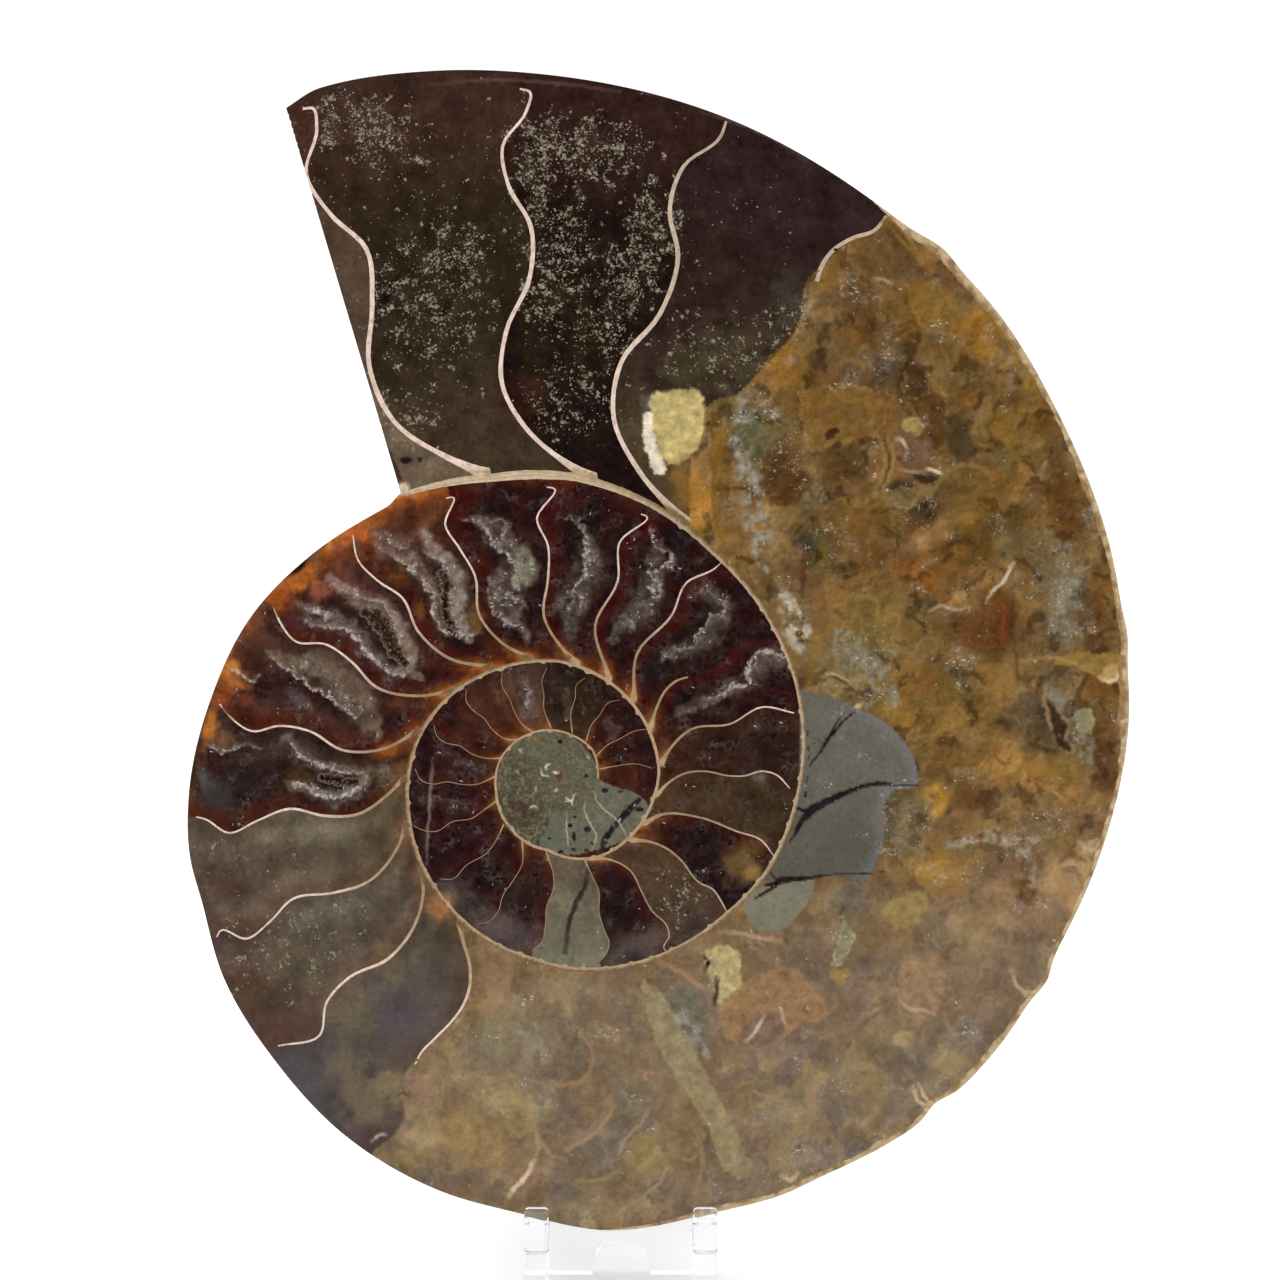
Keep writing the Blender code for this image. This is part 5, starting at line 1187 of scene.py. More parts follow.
def paint_chambers(paint, place, number, gap, mottle):
    """The chambers of the coil: each with its own filling, amber and maroon beside its walls."""
    across, between, inner_gap, outer_gap = place
    for k, (inner, middle, outer, glow, rim_glow) in enumerate(CHAMBERS):
        where = np.flatnonzero(number == k)
        if not len(where):
            continue
        p, wave = paint.p[where], mottle[where]
        f = across[where] + 0.05 * wave
        paint.lay(where, middle, np.ones(len(where)))
        paint.lay(where, inner, 1 - step(f, 0.12, 0.42))
        paint.lay(where, outer, step(f, 0.58, 0.9))
        if glow:
            left = between[where] + 0.07 * wave
            paint.lay(where, RED, 0.75 * glow * (1 - step(left, 0.08, 0.34)))
            black = step(left, 0.2, 0.36) * (1 - step(left, 0.5, 0.8))
            paint.lay(where, BLACK, 0.7 * glow * black)
            paint.lay(where, BLACK, 0.5 * glow * step(left, 0.76, 0.94))
            di = np.maximum(inner_gap[where], 0)
            near = np.exp(-gap[where] / 3.0)
            streak = 0.75 + 0.5 * cloud(p, 1.6, 61, 3)
            warm = (glow + 0.7 * rim_glow) * streak
            paint.lay(where, RED_BROWN, warm * np.exp(-((di / 4) ** 2)) * (0.05 + 0.85 * near))
            paint.lay(where, AMBER, warm * np.exp(-di / 1.7) * (0.03 + 0.9 * near))
            paint.lay(where, NECK, 1.3 * glow * np.exp(-di / 1.6) * np.exp(-gap[where] / 0.6))
        if rim_glow:
            do = np.maximum(outer_gap[where], 0) + 1.3 * wave
            paint.lay(where, RUST, 0.8 * rim_glow * (1 - step(do, 1.0, 6)))
            paint.lay(where, ORANGE, rim_glow * (1 - step(do, 0.0, 3.0)))
            gold = (1 - step(do, -0.2, 1.0)) * step(cloud(p, 2.0, 71, 3), -0.2, 0.4)
            paint.lay(where, GOLD, 0.8 * rim_glow * gold)


def veins(p, size, seed, width=0.14):
    """Thin winding lines, 1 on the line and 0 away from it."""
    return np.exp(-((cloud(p, size, seed, 3) / width) ** 2))


def paint_zones(paint, rows, seed, smooth=1.0):
    """Translucent crystal: soft pale zones, veined and full of bright points."""
    for k, (tone, strength, points) in enumerate(rows):
        line = smooth_line(points)
        where = close_to(paint.p, line, 2.9 * line[:, 2].max())
        p = paint.p[where]
        bent = p + 0.8 * swirl(p, 3.2, (seed + k, seed + 40 + k), 4)
        away, along, _ = from_line(bent, line)
        half = 1.15 * width_at(line, along)
        body = strength * (1 - step(away / half + 0.1 * cloud(p, 1.3, seed + 5, 2), 0.4, 1.3))
        milk = 1 - (1 - 0.7 * smooth) * (1 - step(cloud(p, 2.0, seed + 9, 4), -0.3, 0.35))
        texture = 1 + 0.16 * cloud(p, 1.5, seed + 7, 3)
        paint.lay(where, np.array(tone) * texture[:, None], body * milk)
        bright = body * step(cloud(p, 3.4, seed + 15, 3), -0.35, 0.5)
        paint.lay(where, CRYSTAL_LIGHT, 0.26 * bright * veins(p, 1.5, seed + 11))
        paint.lay(where, CRYSTAL_DARK, 0.25 * body * step(cloud(p, 1.7, seed + 13, 3), 0.35, 0.8))
        paint.depth[where] += 0.12 * body * np.maximum(0, cloud(p, 1.1, seed + 13, 2))
        at_least(paint.frost, where, 0.14 * body + 0.4 * bright)


def paint_crests(paint, rows, seed):
    """Ragged white edges of crystal: broken pieces in a soft haze, with a dark gap on one side."""
    for k, (width, strength, points) in enumerate(rows):
        line = smooth_line(points)
        where = close_to(paint.p, line, 4)
        p = paint.p[where]
        bent = p + 0.6 * swirl(p, 1.7, (seed + k, seed + 30 + k), 4)
        away, along, side = from_line(bent, line)
        ends = np.sin(np.pi * np.clip(along, 0.04, 0.96)) ** 0.35
        wide = width * (0.5 + 0.4 * cloud(p, 2.8, seed + 50 + k, 2))
        gap = (side < 0) * step(away, 0.4 * wide, wide) * (1 - step(away, wide + 0.3, wide + 2.0))
        paint.lay(where, CRYSTAL_DARK, 0.6 * strength * ends * gap)
        haze = 1 - step(away, 0.1, wide + 0.3 + 0.7 * (side > 0))
        paint.lay(where, CRYSTAL_GREY, 0.45 * strength * ends * haze)
        crest = 1 - step(away, 0.45 * wide, 0.55 * wide + 0.25)
        broken = step(cloud(p, 0.9, seed + 17, 3) + 0.35 * veins(p, 1.2, seed + 19), -0.1, 0.55)
        paint.lay(where, CRYSTAL_LIGHT, strength * ends * crest * (0.2 + 0.8 * broken))
        paint.depth[where] -= 0.04 * strength * ends * crest
        at_least(paint.frost, where, strength * ends * haze)


def paint_filling(paint, where):
    """The calcite and broken shell that fill the last part of the tube, with a painted reflection over its
    foot.
    """
    p = paint.p[where]
    part = Paint(p)
    part.color[:] = FILLING_TONE
    warp = swirl(p, 9, (41, 47))
    curl = swirl(p, 3.5, (43, 49))
    ragged = 0.4 * cloud(p, 5, 53, 4)
    for row in CLOUDS:
        spot, amount = spot_of(p, row, ragged)
        part.lay(spot, row[5], 1.2 * row[6] * amount)
    every = np.arange(len(p))
    # Painted reflection: towards the foot the face is paler and its marks fainter; clear is the share left
    # outside that reflection.
    haze = painted_reflection_at(p)
    clear = 1 - 0.7 * haze
    bent = p + 1.8 * warp + 0.9 * curl
    part.shade(every, clear * (0.16 * cloud(bent, 7, 59, 3) + 0.035 * cloud(p, 1.6, 67, 3)))
    # Fragments: each with its own tint, a dark seam round it and a light edge on one side.
    for size, seed, strength in ((13.0, 71, 0.7), (7.5, 79, 0.5), (4.2, 73, 0.2)):
        first, second, which = shards(bent, size, seed)
        shown = strength * clear * step(cloud(p, 9, seed + 2, 3), -0.2, 0.35)
        part.shade(every, 0.22 * shown * (which - 0.5))
        part.lay(every, GLOW_TONE, 0.2 * shown * step(which, 0.8, 0.84))
        part.lay(every, DARK_TONE, 0.2 * shown * (1 - step(which, 0.14, 0.18)))
        edge = (second - first) * size
        fades = step(cloud(p, 4, seed + 5, 2), -0.4, 0.3)
        part.lay(every, SEAM_TONE, 0.25 * shown * fades * (1 - step(np.abs(edge - 0.8), 0.1, 0.45)))
        part.lay(every, DARK_TONE, 0.2 * shown * fades * (1 - step(edge, 0.08, 0.42)))
    # Curved layers of shell, like the edges of a torn pack of leaves.
    leaf = np.abs((3 * cloud(p + 1.8 * warp, 12, 101, 2)) % 1.0 - 0.5) * 2
    leaves = (0.25 + 0.75 * clear) * step(cloud(p, 8, 103, 2), 0.0, 0.45)
    part.lay(every, SEAM_TONE, 0.26 * leaves * step(leaf, 0.8, 0.95))
    part.lay(every, DARK_TONE, 0.16 * leaves * (1 - step(leaf, 0.04, 0.2)))
    # Light falls from the upper left over the relief seen through the polish.
    for size, seed, strength in ((3.4, 105, 0.05), (1.3, 107, 0.015)):
        slope = cloud(p + (-0.3, 0.3), size, seed, 3) - cloud(p, size, seed, 3)
        part.shade(every, strength * clear * np.clip(slope * size / 0.5, -1, 1))
    for seed, tone in ((83, GLOW_TONE), (85, FILLING_RED), (87, FILLING_OLIVE)):
        glow = step(cloud(bent + seed, 7, seed, 4), 0.05, 0.55)
        part.lay(every, tone, 0.24 * glow * clear)
    # Pale and milky patches grow stronger under the painted reflection at the foot.
    pale = step(cloud(p + 7, 4.5, 89, 4), 0.3, 0.8)
    part.lay(every, PALE_TONE, (0.28 - 0.14 * clear) * pale)
    dark = step(cloud(bent + 19, 4, 97, 4), 0.3, 0.65)
    part.lay(every, DARK_TONE, 0.44 * dark * clear)
    milk = step(cloud(p + 31, 7, 109, 4), 0.32, 0.75)
    milk *= 0.4 + 0.6 * step(cloud(p, 1.1, 111, 3), -0.3, 0.4)
    part.lay(every, MILK_TONE, (0.34 - 0.2 * clear) * milk)
    # Painted reflection laid over the foot.
    part.lay(every, REFLECTION_TONE, 0.42 * haze * (0.8 + 0.3 * cloud(p, 6, 113, 3)))
    # Seen under the painted reflection at the foot: soft pieces, yellow, brown and grey, with paler edges.
    for size, seed, strength in ((10.0, 171, 0.6), (5.5, 173, 0.5)):
        first, second, which = shards(bent + 5, size, seed)
        edge = (second - first) * size
        shown = strength * haze * step(cloud(p, 7, seed + 2, 3), -0.35, 0.3) * step(edge, 0, 1.2)
        for k, tone in enumerate((SOFT_GREY, SOFT_BROWN, SOFT_YELLOW, SOFT_PINK)):
            mine = (which > k / 4) & (which <= (k + 1) / 4)
            part.lay(every, tone, 0.75 * shown * mine)
        part.lay(every, SOFT_EDGE, 0.5 * shown * (1 - step(np.abs(edge - 1.0), 0.05, 0.5)))
    part.shade(every, haze * (0.1 * cloud(bent, 3.6, 175, 4) + 0.04 * cloud(p, 1.2, 177, 3)))
    richer = part.color + 0.26 * clear[:, None] * (part.color - FILLING_MIDDLE)
    paint.color[where] = np.clip(richer * (1 + clear[:, None] * np.array(FILLING_CAST)), 20, 235)
    at_least(paint.frost, where, 0.07 + 0.5 * milk)
    at_least(paint.grain, where, 0.035)


def painted_reflection_at(p):
    """How strong the painted reflection on the polished face is, from 0 at the top to 1 at the foot."""
    return step(-p[:, 1] + 0.12 * p[:, 0], 8, 48)


def paint_plates(paint):
    """Fragments of shell and calcite, each with a rim of its own or with soft edges."""
    for tone, strength, rim, width, points in PLATES:
        outline = smooth_ring(points, 3)
        where = close_to(paint.p, outline, 4)
        p = paint.p[where]
        bent = p + 0.25 * swirl(p, 1.6, (401, 409))
        level = beyond(bent, outline) + 0.3 * cloud(p, 1.1, 423, 2)
        texture = 1 + 0.16 * cloud(p, 1.8, 419, 3)[:, None]
        spread = 0 if rim else width
        soft = strength * (1 - step(level, -0.15 - spread, 0.2 + spread))
        paint.lay(where, np.array(tone) * texture, soft)
        if rim:
            shown = 0.75 * step(cloud(p, 2.6, 421, 3), -0.35, 0.3)
            paint.lay(where, rim, shown * (1 - step(np.abs(level), width / 2, width / 2 + 0.25)))


def paint_matrix(paint):
    """The blue-grey fine-grained matrix that stayed in the last chambers, its cracks, and a painted
    reflection inside its right edge.
    """
    for tone, points in MATRIX:
        outline = smooth_ring(points, 4)
        where = close_to(paint.p, outline, 2)
        p = paint.p[where]
        level = beyond(p, outline)
        fine = 1 + 0.05 * cloud(p, 7, 431, 3) + 0.03 * cloud(p, 0.8, 433, 2)
        deep = step(-p[:, 1], -4, 12) * (tone[0] < 110)
        soft = 1 - step(level, -0.05, 0.18)
        paint.lay(where, np.array(tone) * (fine * (1 - 0.13 * deep))[:, None], soft)
        # Painted reflection: a paler blue-grey just inside the matrix's right edge.
        edge_reflection = step(level, -2.4, -0.3) * step(p[:, 0], 48, 56)
        paint.lay(where, MATRIX_REFLECTION, 0.5 * soft * edge_reflection)
    for points in CRACKS:
        line = smooth_line(points)
        where = close_to(paint.p, line, 2)
        p = paint.p[where]
        away, along, _ = from_line(p, line)
        level = away - width_at(line, along) * (1 + 0.35 * cloud(p, 0.55, 439, 2))
        paint.lay(where, CRACK_TONE, 0.95 * (1 - step(level, -0.06, 0.12)))


def paint_lines(paint, rows, seed, soft=0.28):
    """Thin edges and veins that wander a little and fade at both ends."""
    for width, tone, strength, points in rows:
        line = smooth_line(points)
        where = close_to(paint.p, line, 2)
        p = paint.p[where]
        away, along, _ = from_line(p + 0.18 * swirl(p, 1.4, (seed, seed + 3)), line)
        ends = np.sin(np.pi * np.clip(along, 0.06, 0.94)) ** 0.4
        paint.lay(where, tone, strength * ends * (1 - step(away, width / 2, width / 2 + soft)))


def paint_middle(paint, disc):
    """The grey-green sediment in the middle of the coil, with tiny shells, and the chambers beside it."""
    where = np.flatnonzero(disc)
    p = paint.p[where]
    paint.lay(where, DISC_TONE, np.ones(len(where)))
    ragged = 0.45 * cloud(p, 2.2, 503, 4)
    for row in DISC_SPOTS:
        spot, amount = spot_of(p, row, ragged)
        paint.lay(where[spot], row[5], row[6] * amount)
    rough = step(-p[:, 0] - 0.6 * p[:, 1], -4, 6)
    first, second, which = shards(p + 0.3 * swirl(p, 1, (551, 553)), 0.75, 545)
    crumbs = (0.45 + 0.55 * rough) * (1 - step(second - first, 0.1, 0.35))
    paint.lay(where, DISC_CRUMB, 0.75 * crumbs)
    paint.shade(where, (0.5 + rough) * 0.2 * (which - 0.5) + 0.1 * cloud(p, 0.9, 509, 3))
    ring = smooth_ring(WEDGE, 3)
    near = close_to(paint.p, ring, 0.5)
    near = near[inside(paint.p[near], ring)]
    q = paint.p[near]
    paint.lay(near, WEDGE_TONE, np.ones(len(near)))
    paint.lay(near, WEDGE_GREEN, step(-q[:, 0] + 0.3 * q[:, 1], -5, 1))
    paint.shade(near, 0.08 * cloud(q, 0.8, 523, 3) + 0.06 * cloud(q, 2.5, 525, 2))
    line = smooth_line(BLACK_VEIN)
    near = close_to(paint.p, line, 1.5)
    q = paint.p[near]
    away, along, _ = from_line(q, line)
    half = width_at(line, along) * (1 + 0.3 * cloud(q, 0.7, 527, 2))
    paint.lay(near, VEIN_BLACK, 0.92 * (1 - step(away - half, -0.08, 0.1)))
    white = step(cloud(q, 0.9, 529, 2), 0.25, 0.6) * (1 - step(away, 0.1, 0.35))
    paint.lay(near, VEIN_WHITE, 0.85 * white)
    rows = [(0.12, WEDGE_SEPTUM, 0.8, points) for points in WEDGE_SEPTA]
    rows += [(width, CURL_TONE, strength, points) for width, strength, points in CURLS]
    paint_lines(paint, rows, 547, 0.1)


def paint_holes(paint):
    """Small dark pits with firm edges."""
    even = np.zeros(len(paint.p))
    for u, v, wide, high in HOLES:
        spot, amount = spot_of(paint.p, (u, v, 1.25 * wide, 1.25 * high, 0), even)
        hole = step(amount, 0.25, 0.6)
        paint.lay(spot, CRACK_TONE, 0.9 * hole)
        paint.depth[spot] += 0.15 * hole


def paint_face(p):
    """Colour, shares of grains and frost and depth of pits at points of the cut face, in millimetres."""
    paint = Paint(p)
    along, across, inner_gap, outer_gap, disc = tube_place(p)
    number, between = chamber_of(along, across)
    gap = np.full(len(p), FAR)
    for _, _, points in SEPTA:
        line = smooth_line(points)
        where = close_to(p, line, 6)
        gap[where] = np.minimum(gap[where], from_line(p[where], line)[0])
    mottle = cloud(p, 3.2, 11, 4)
    paint_chambers(paint, (across, between, inner_gap, outer_gap), number, gap, mottle)
    for row in STAINS:
        spot, amount = spot_of(p, row, 0.4 * mottle)
        paint.lay(spot, row[5], row[6] * amount)
    every = np.arange(len(p))
    # clear is the share outside the painted reflection at the foot; the mottling fades under that
    # reflection.
    clear = 1 - 0.6 * painted_reflection_at(p)
    paint.shade(every, 0.16 * clear * cloud(p, 4.5, 23, 4))
    paint.shade(every, 0.09 * clear * cloud(p, 0.9, 29, 2))
    paint_zones(paint, ZONES, 1200)
    paint_crests(paint, CRESTS, 1500)
    filling = (number == FILLING_NUMBER) & ~disc
    paint_filling(paint, np.flatnonzero(filling))
    paint_plates(paint)
    paint_zones(paint, FROST, 1700, 0.0)
    paint_lines(paint, LINES, 601)
    paint_middle(paint, disc)
    paint_matrix(paint)
    paint_lines(paint, DETAILS, 607)
    paint_holes(paint)
    ragged = 0.5 * cloud(p, 3, 31, 4)
    clumps = 0.5 + 0.9 * step(cloud(p, 2.4, 37, 3), -0.2, 0.5)
    for row in GRAINS:
        spot, amount = spot_of(p, row, ragged)
        at_least(paint.grain, spot, 1.4 * row[5] * amount * clumps[spot])
        paint.lay(spot, GRAIN_TONE, 0.05 * row[5] * amount * clumps[spot])
    in_coil = (number >= FILLING_NUMBER + 4) & ~disc
    at_least(paint.grain, in_coil, 0.03)
    at_least(paint.frost, in_coil, 0.06 + 0.14 * step(mottle[in_coil], 0, 0.6))
    return paint


# ---- From the face's own coordinates to the frame -----------------------------------------------


def on_line(angle, radius):
    """Points at these angles, in degrees, and radii round the coil's middle."""
    turn = np.radians(angle)
    return np.stack([radius * np.cos(turn), radius * np.sin(turn)], axis=-1)


def rim_outline(steps):
    """Points along the rim from the mouth of the saw cut clockwise to the notch."""
    angle = np.linspace(RIM[-1][0], RIM[0][0], steps)
    return on_line(angle, rim_radius(angle))


low_corner, high_corner = (np.array(corner) * 1000 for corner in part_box("ammonite_half"))
edge_of_face = rim_outline(3000)
COS, SIN = math.cos(math.radians(LEAN)), math.sin(math.radians(LEAN))
ORIGIN = np.array(
    (
        low_corner[0] - edge_of_face[:, 0].min(),
        low_corner[1] - edge_of_face[:, 1].min() * SIN,
        high_corner[2] - edge_of_face[:, 1].max() * COS,
    )
)


def placed(p, depth):
    """Points u, v of the face, this deep behind it, in the frame and in metres."""
    depth = np.broadcast_to(depth, len(p))
    x = ORIGIN[0] + p[:, 0]
    y = ORIGIN[1] + p[:, 1] * SIN + depth * COS
    z = ORIGIN[2] + p[:, 1] * COS - depth * SIN
    return np.stack([x, y, z], axis=1) / 1000


def linear(tones):
    """Colours of 0 to 255 as a screen shows them, made linear."""
    c = np.clip(np.asarray(tones, float) / 255, 0, 1)
    return np.where(c <= 0.04045, c / 12.92, ((c + 0.055) / 1.055) ** 2.4)


FOSSIL = ("ammonite_half", "polished_fossil")  # node and slot of the stone's own pieces


def new_piece(name, points, faces, material, node, slot, marks=None, indices=None):
    """A closed mesh of world points, with colours or numbers on its points as attributes."""
    mesh = bpy.data.meshes.new(name)
    mesh.from_pydata(points.tolist(), [], [list(map(int, f)) for f in faces])
    for key, values in (marks or {}).items():
        if np.ndim(values) == 2:
            light = np.maximum(linear(values) - STONE_BLACK, 0.001)
            rgba = np.concatenate([light, np.ones((len(values), 1))], axis=1)
            mesh.attributes.new(key, "FLOAT_COLOR", "POINT").data.foreach_set("color", rgba.ravel())
        else:
            numbers = np.asarray(values, float)
            mesh.attributes.new(key, "FLOAT", "POINT").data.foreach_set("value", numbers)
    for one in material if isinstance(material, tuple) else (material,):
        mesh.materials.append(one)
    if indices is not None:
        mesh.polygons.foreach_set("material_index", np.asarray(indices, np.int32))
    mesh.validate()
    mesh.update()
    obj = bpy.data.objects.new(name, mesh)
    bpy.context.scene.collection.objects.link(obj)
    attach(obj, "root")
    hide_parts(node)
    return obj


# ---- The cut face, inlaid with the shell's walls ------------------------------------------------


def ribbon(line, half, other=None):
    """Closed outline round a line, with the width at each of its points to the left and to the right."""
    other = half if other is None else other
    middle = line[:, :2]
    along = np.gradient(middle, axis=0)
    side = np.stack([-along[:, 1], along[:, 0]], axis=1)
    side /= np.maximum(np.linalg.norm(side, axis=1, keepdims=True), 1e-9)
    return np.concatenate([middle + side * half[:, None], (middle - side * other[:, None])[::-1]])


def evenly(line, pitch):
    """The line again, with points a pitch apart."""
    ends = np.concatenate([[0], np.cumsum(np.hypot(*np.diff(line[:, :2], axis=0).T))])
    places = np.linspace(0, ends[-1], max(3, int(ends[-1] / pitch) + 1))
    return np.stack([np.interp(places, ends, line[:, k]) for k in range(line.shape[1])], axis=1)


def drawn_on(line, walls):
    """The line carried on past its last point until it meets the wall."""
    step_on = 0.25 * (line[-1] - line[-3]) / np.hypot(*(line[-1] - line[-3]))
    added = [line[-1]]
    if np.hypot(*(walls - line[-1]).T).min() > FREE_END:
        return line
    for _ in range(16):
        away = [np.hypot(*(walls - point).T).min() for point in (added[-1], added[-1] + step_on)]
        if away[0] < 0.3 or away[1] > away[0]:
            break
        added.append(added[-1] + step_on)
    return np.vstack([line, added[1:]]) if len(added) > 1 else line


def septum_ribbons():
    """Outline of each septum: wider where it joins the wall inside it."""
    angle = np.arange(WALL[0][0], WALL_END, -0.5)
    turn = np.arange(-180, 180, 1.0)
    walls = np.vstack([on_line(angle, wall_radius(angle)), on_line(turn, disc_radius(turn))])
    ribbons = []
    for name, width, points in SEPTA:
        line = evenly(smooth_line(points), SEPTUM_PITCH)
        if np.hypot(*line[0]) < np.hypot(*line[-1]):
            line = line[::-1]
        line = drawn_on(line, walls)
        left = np.hypot(*(line - line[-1]).T)
        flare = MOUTH_FLARE if name in MOUTH_SEPTA else 1.0
        flare *= np.hypot(*(walls - line[-1]).T).min() < FREE_END
        reach = NECK_LENGTH * max(flare, 1)
        neck = NECK_WIDTH * flare * np.exp(-((left / reach) ** 1.1)) * min(1, width / 0.45) ** 2
        neck *= step(left, -0.1, 0.8)
        start = np.hypot(*(line - line[0]).T)
        taper = 0.5 + 0.2 * step(start, 0, 3) + 0.3 * step(start, 6, 24)
        wave = 1 + 0.12 * cloud(line, 5.0, 801, 2)
        ribbons.append(ribbon(line, 0.5 * width * taper * wave + neck))
    return ribbons


def wall_ribbon():
    """Outline of the wall that winds inwards between the turns, beaded along its outside."""
    angle = np.arange(WALL[0][0], WALL_END, -0.7)
    width = np.interp(-angle, -np.array(WALL_WIDTH)[:, 0], np.array(WALL_WIDTH)[:, 1])
    line = on_line(angle, wall_radius(angle))
    line = evenly(np.column_stack([line, width]), SEPTUM_PITCH)
    half = line[:, 2] / 2 + 0.05 * cloud(line[:, :2], 1.1, 811, 3)
    # A row of small beads along the outside, where the tube sat on the turn within.
    along = SEPTUM_PITCH * np.arange(len(line))
    beads = np.maximum(0, np.cos(math.pi * along / BEAD_PITCH + cloud(line[:, :2], 4, 813, 2))) ** 6
    height = BEAD_HEIGHT * step(along, 60, 70) * (1 - step(along, 330, 350))
    beads *= height * step(cloud(line[:, :2], 7, 815, 2), -0.4, 0)
    return ribbon(line, half, half + beads)


def rim_shell_ribbon():
    """Outline of the shell that is left along the outer edge."""
    knots = np.array(RIM_SHELL)
    angle = np.arange(knots[0, 0], knots[-1, 0], -0.2)
    rim = rim_radius(angle)
    thick = np.interp(-angle, -knots[:, 0], knots[:, 1])
    line = on_line(angle, rim)
    thick = thick * (1 + 0.3 * cloud(line, 6.0, 821, 3) + 0.12 * cloud(line, 1.1, 823, 2))
    within = on_line(angle, rim - np.maximum(thick, 0.05))
    return np.concatenate([on_line(angle, rim + 1.0), within[::-1]])


def on_face(p):
    """Which points lie on the cut face, inside the rim and the straight saw cut."""
    angle = angle_of(p)
    angle = np.where(angle > RIM[-1][0], angle - 360, angle)
    across = np.radians(CUT_DIRECTION + 90)
    beside = p @ np.array((math.cos(across), math.sin(across)))
    return np.where(angle >= RIM[0][0], np.hypot(*p.T) < rim_radius(angle), beside < CUT_OFFSET)


def slot_outline(spine, wider=0.0):
    """Outline of an open hollow, ragged like broken crystal."""
    line = smooth_line(spine, 12)
    ragged = 1 + 0.4 * cloud(line[:, :2], 1.1, 861, 3) + 0.15 * cloud(line[:, :2], 0.4, 863, 2)
    return ribbon(line, line[:, 2] * ragged + wider)


def grid_points(low, high, pitch):
    """Points of even triangles over a rectangle."""
    rows = np.arange(low[1], high[1], pitch * math.sqrt(3) / 2)
    grid = np.stack(np.meshgrid(np.arange(low[0], high[0], pitch), rows), axis=-1)
    grid[1::2, :, 0] += pitch / 2
    return grid.reshape(-1, 2)


def fineness(p):
    """0 in the mouth and the filling, 1 in the chambers of the coil, 2 in its middle."""
    along, across, *_, disc = tube_place(p)
    number, _ = chamber_of(along, across)
    middle = disc | (np.hypot(*p.T) < MIDDLE_REACH)
    return np.where(middle, 2, np.where(number > FILLING_NUMBER + 3, 1, 0))


def ring_edges(start, count):
    """The edges of a closed outline whose points are numbered from start."""
    return [(start + k, start + (k + 1) % count) for k in range(count)]


def triangulated(points, edges, tolerance):
    """Points and triangles of the plane round the points, with the edges kept."""
    vectors = [Vector(point) for point in points]
    flat, _, faces, *_ = delaunay_2d_cdt(vectors, edges, [], 0, tolerance, False)
    return np.array([tuple(point) for point in flat]), np.array([f for f in faces if len(f) == 3])


def sides_of(triangles):
    """The three sides of every triangle."""
    return np.concatenate([triangles[:, [0, 1]], triangles[:, [1, 2]], triangles[:, [2, 0]]])


def face_triangles(outline, shapes):
    """Points and triangles over the face, with the edges of the outline and the shapes kept."""
    low, high = outline.min(axis=0), outline.max(axis=0)
    grid, pitches = [], []
    for fine, pitch in enumerate(FACE_PITCHES):
        points = grid_points(low, high, pitch)
        points = points[fineness(points) == fine]
        grid.append(points)
        pitches.append(np.full(len(points), pitch))
    grid, pitches = np.concatenate(grid), np.concatenate(pitches)
    keep = on_face(grid)
    for shape in [outline] + shapes:
        ring = closed(shape)
        for part in np.array_split(np.arange(len(ring) - 1), max(1, len(ring) // 12)):
            piece = ring[part[0] : part[-1] + 2]
            near = close_to(grid, piece, pitches.max())
            keep[near[from_line(grid[near], piece)[0] < 0.4 * pitches[near]]] = False
    points, edges = [grid[keep]], []
    count = keep.sum()
    for shape in [outline] + shapes:
        points.append(shape)
        edges += ring_edges(count, len(shape))
        count += len(shape)
    flat, triangles = triangulated(np.concatenate(points), edges, 1e-5)
    return flat, triangles[on_face(flat[triangles].mean(axis=1))]


def untied(triangles, labels, rounds=6):
    """Labels changed so that no piece touches itself at one point only."""
    for _ in range(rounds):
        changed = 0
        for label in np.unique(labels):
            ends = np.sort(sides_of(triangles[labels == label]), axis=1)
            pairs, count = np.unique(ends, axis=0, return_counts=True)
            met = np.bincount(pairs[count == 1].ravel(), minlength=triangles.max() + 1)
            tied = np.flatnonzero(met > 2)
            if not len(tied):
                continue
            touching = np.isin(triangles, tied).any(axis=1)
            other = touching & (labels != label) & (labels >= 0)
            changed += other.sum()
            labels[other] = label
        if not changed:
            break
    return labels


def slab(name, flat, triangles, mine, depth, thickness, material, node, slot, marks):
    """A closed slab: the fine triangles in front, upright sides and a plain back."""
    used, index = np.unique(triangles[mine], return_inverse=True)
    front = index.reshape(-1, 3)
    p = flat[used]
    ends = sides_of(front)
    _, where, count = np.unique(np.sort(ends, axis=1), axis=0, return_index=True, return_counts=True)
    rim = ends[where[count == 1]]
    ring, at_ring = np.unique(rim, return_inverse=True)
    at_ring = at_ring.reshape(-1, 2)
    flat_ring = p[ring]
    # The back has only the outline's own points, and the same holes as the front.
    same, back = triangulated(flat_ring, [tuple(map(int, pair)) for pair in at_ring], 1e-7)
    if len(same) != len(flat_ring):
        raise ValueError(f"{name}: the outline crosses itself")
    back = back[within_edges(flat_ring[back].mean(axis=1), flat_ring[at_ring])]
    a, b, c = (flat_ring[back[:, k]] for k in range(3))
    forwards = np.cross(b - a, c - a) > 0
    back[forwards] = back[forwards][:, ::-1]
    foot = len(p) + at_ring
    sides = [np.column_stack([rim[:, ::-1], foot[:, 0]]), np.column_stack([rim[:, 1], foot])]
    faces = np.concatenate([front, *sides, back + len(p)])
    points = np.concatenate([placed(p, depth[used]), placed(flat_ring, thickness)])
    marks = {key: np.concatenate([values[used], values[used][ring]]) for key, values in marks.items()}
    return new_piece(name, points, faces, material, node, slot, marks)


# ---- The back of the stone ----------------------------------------------------------------------

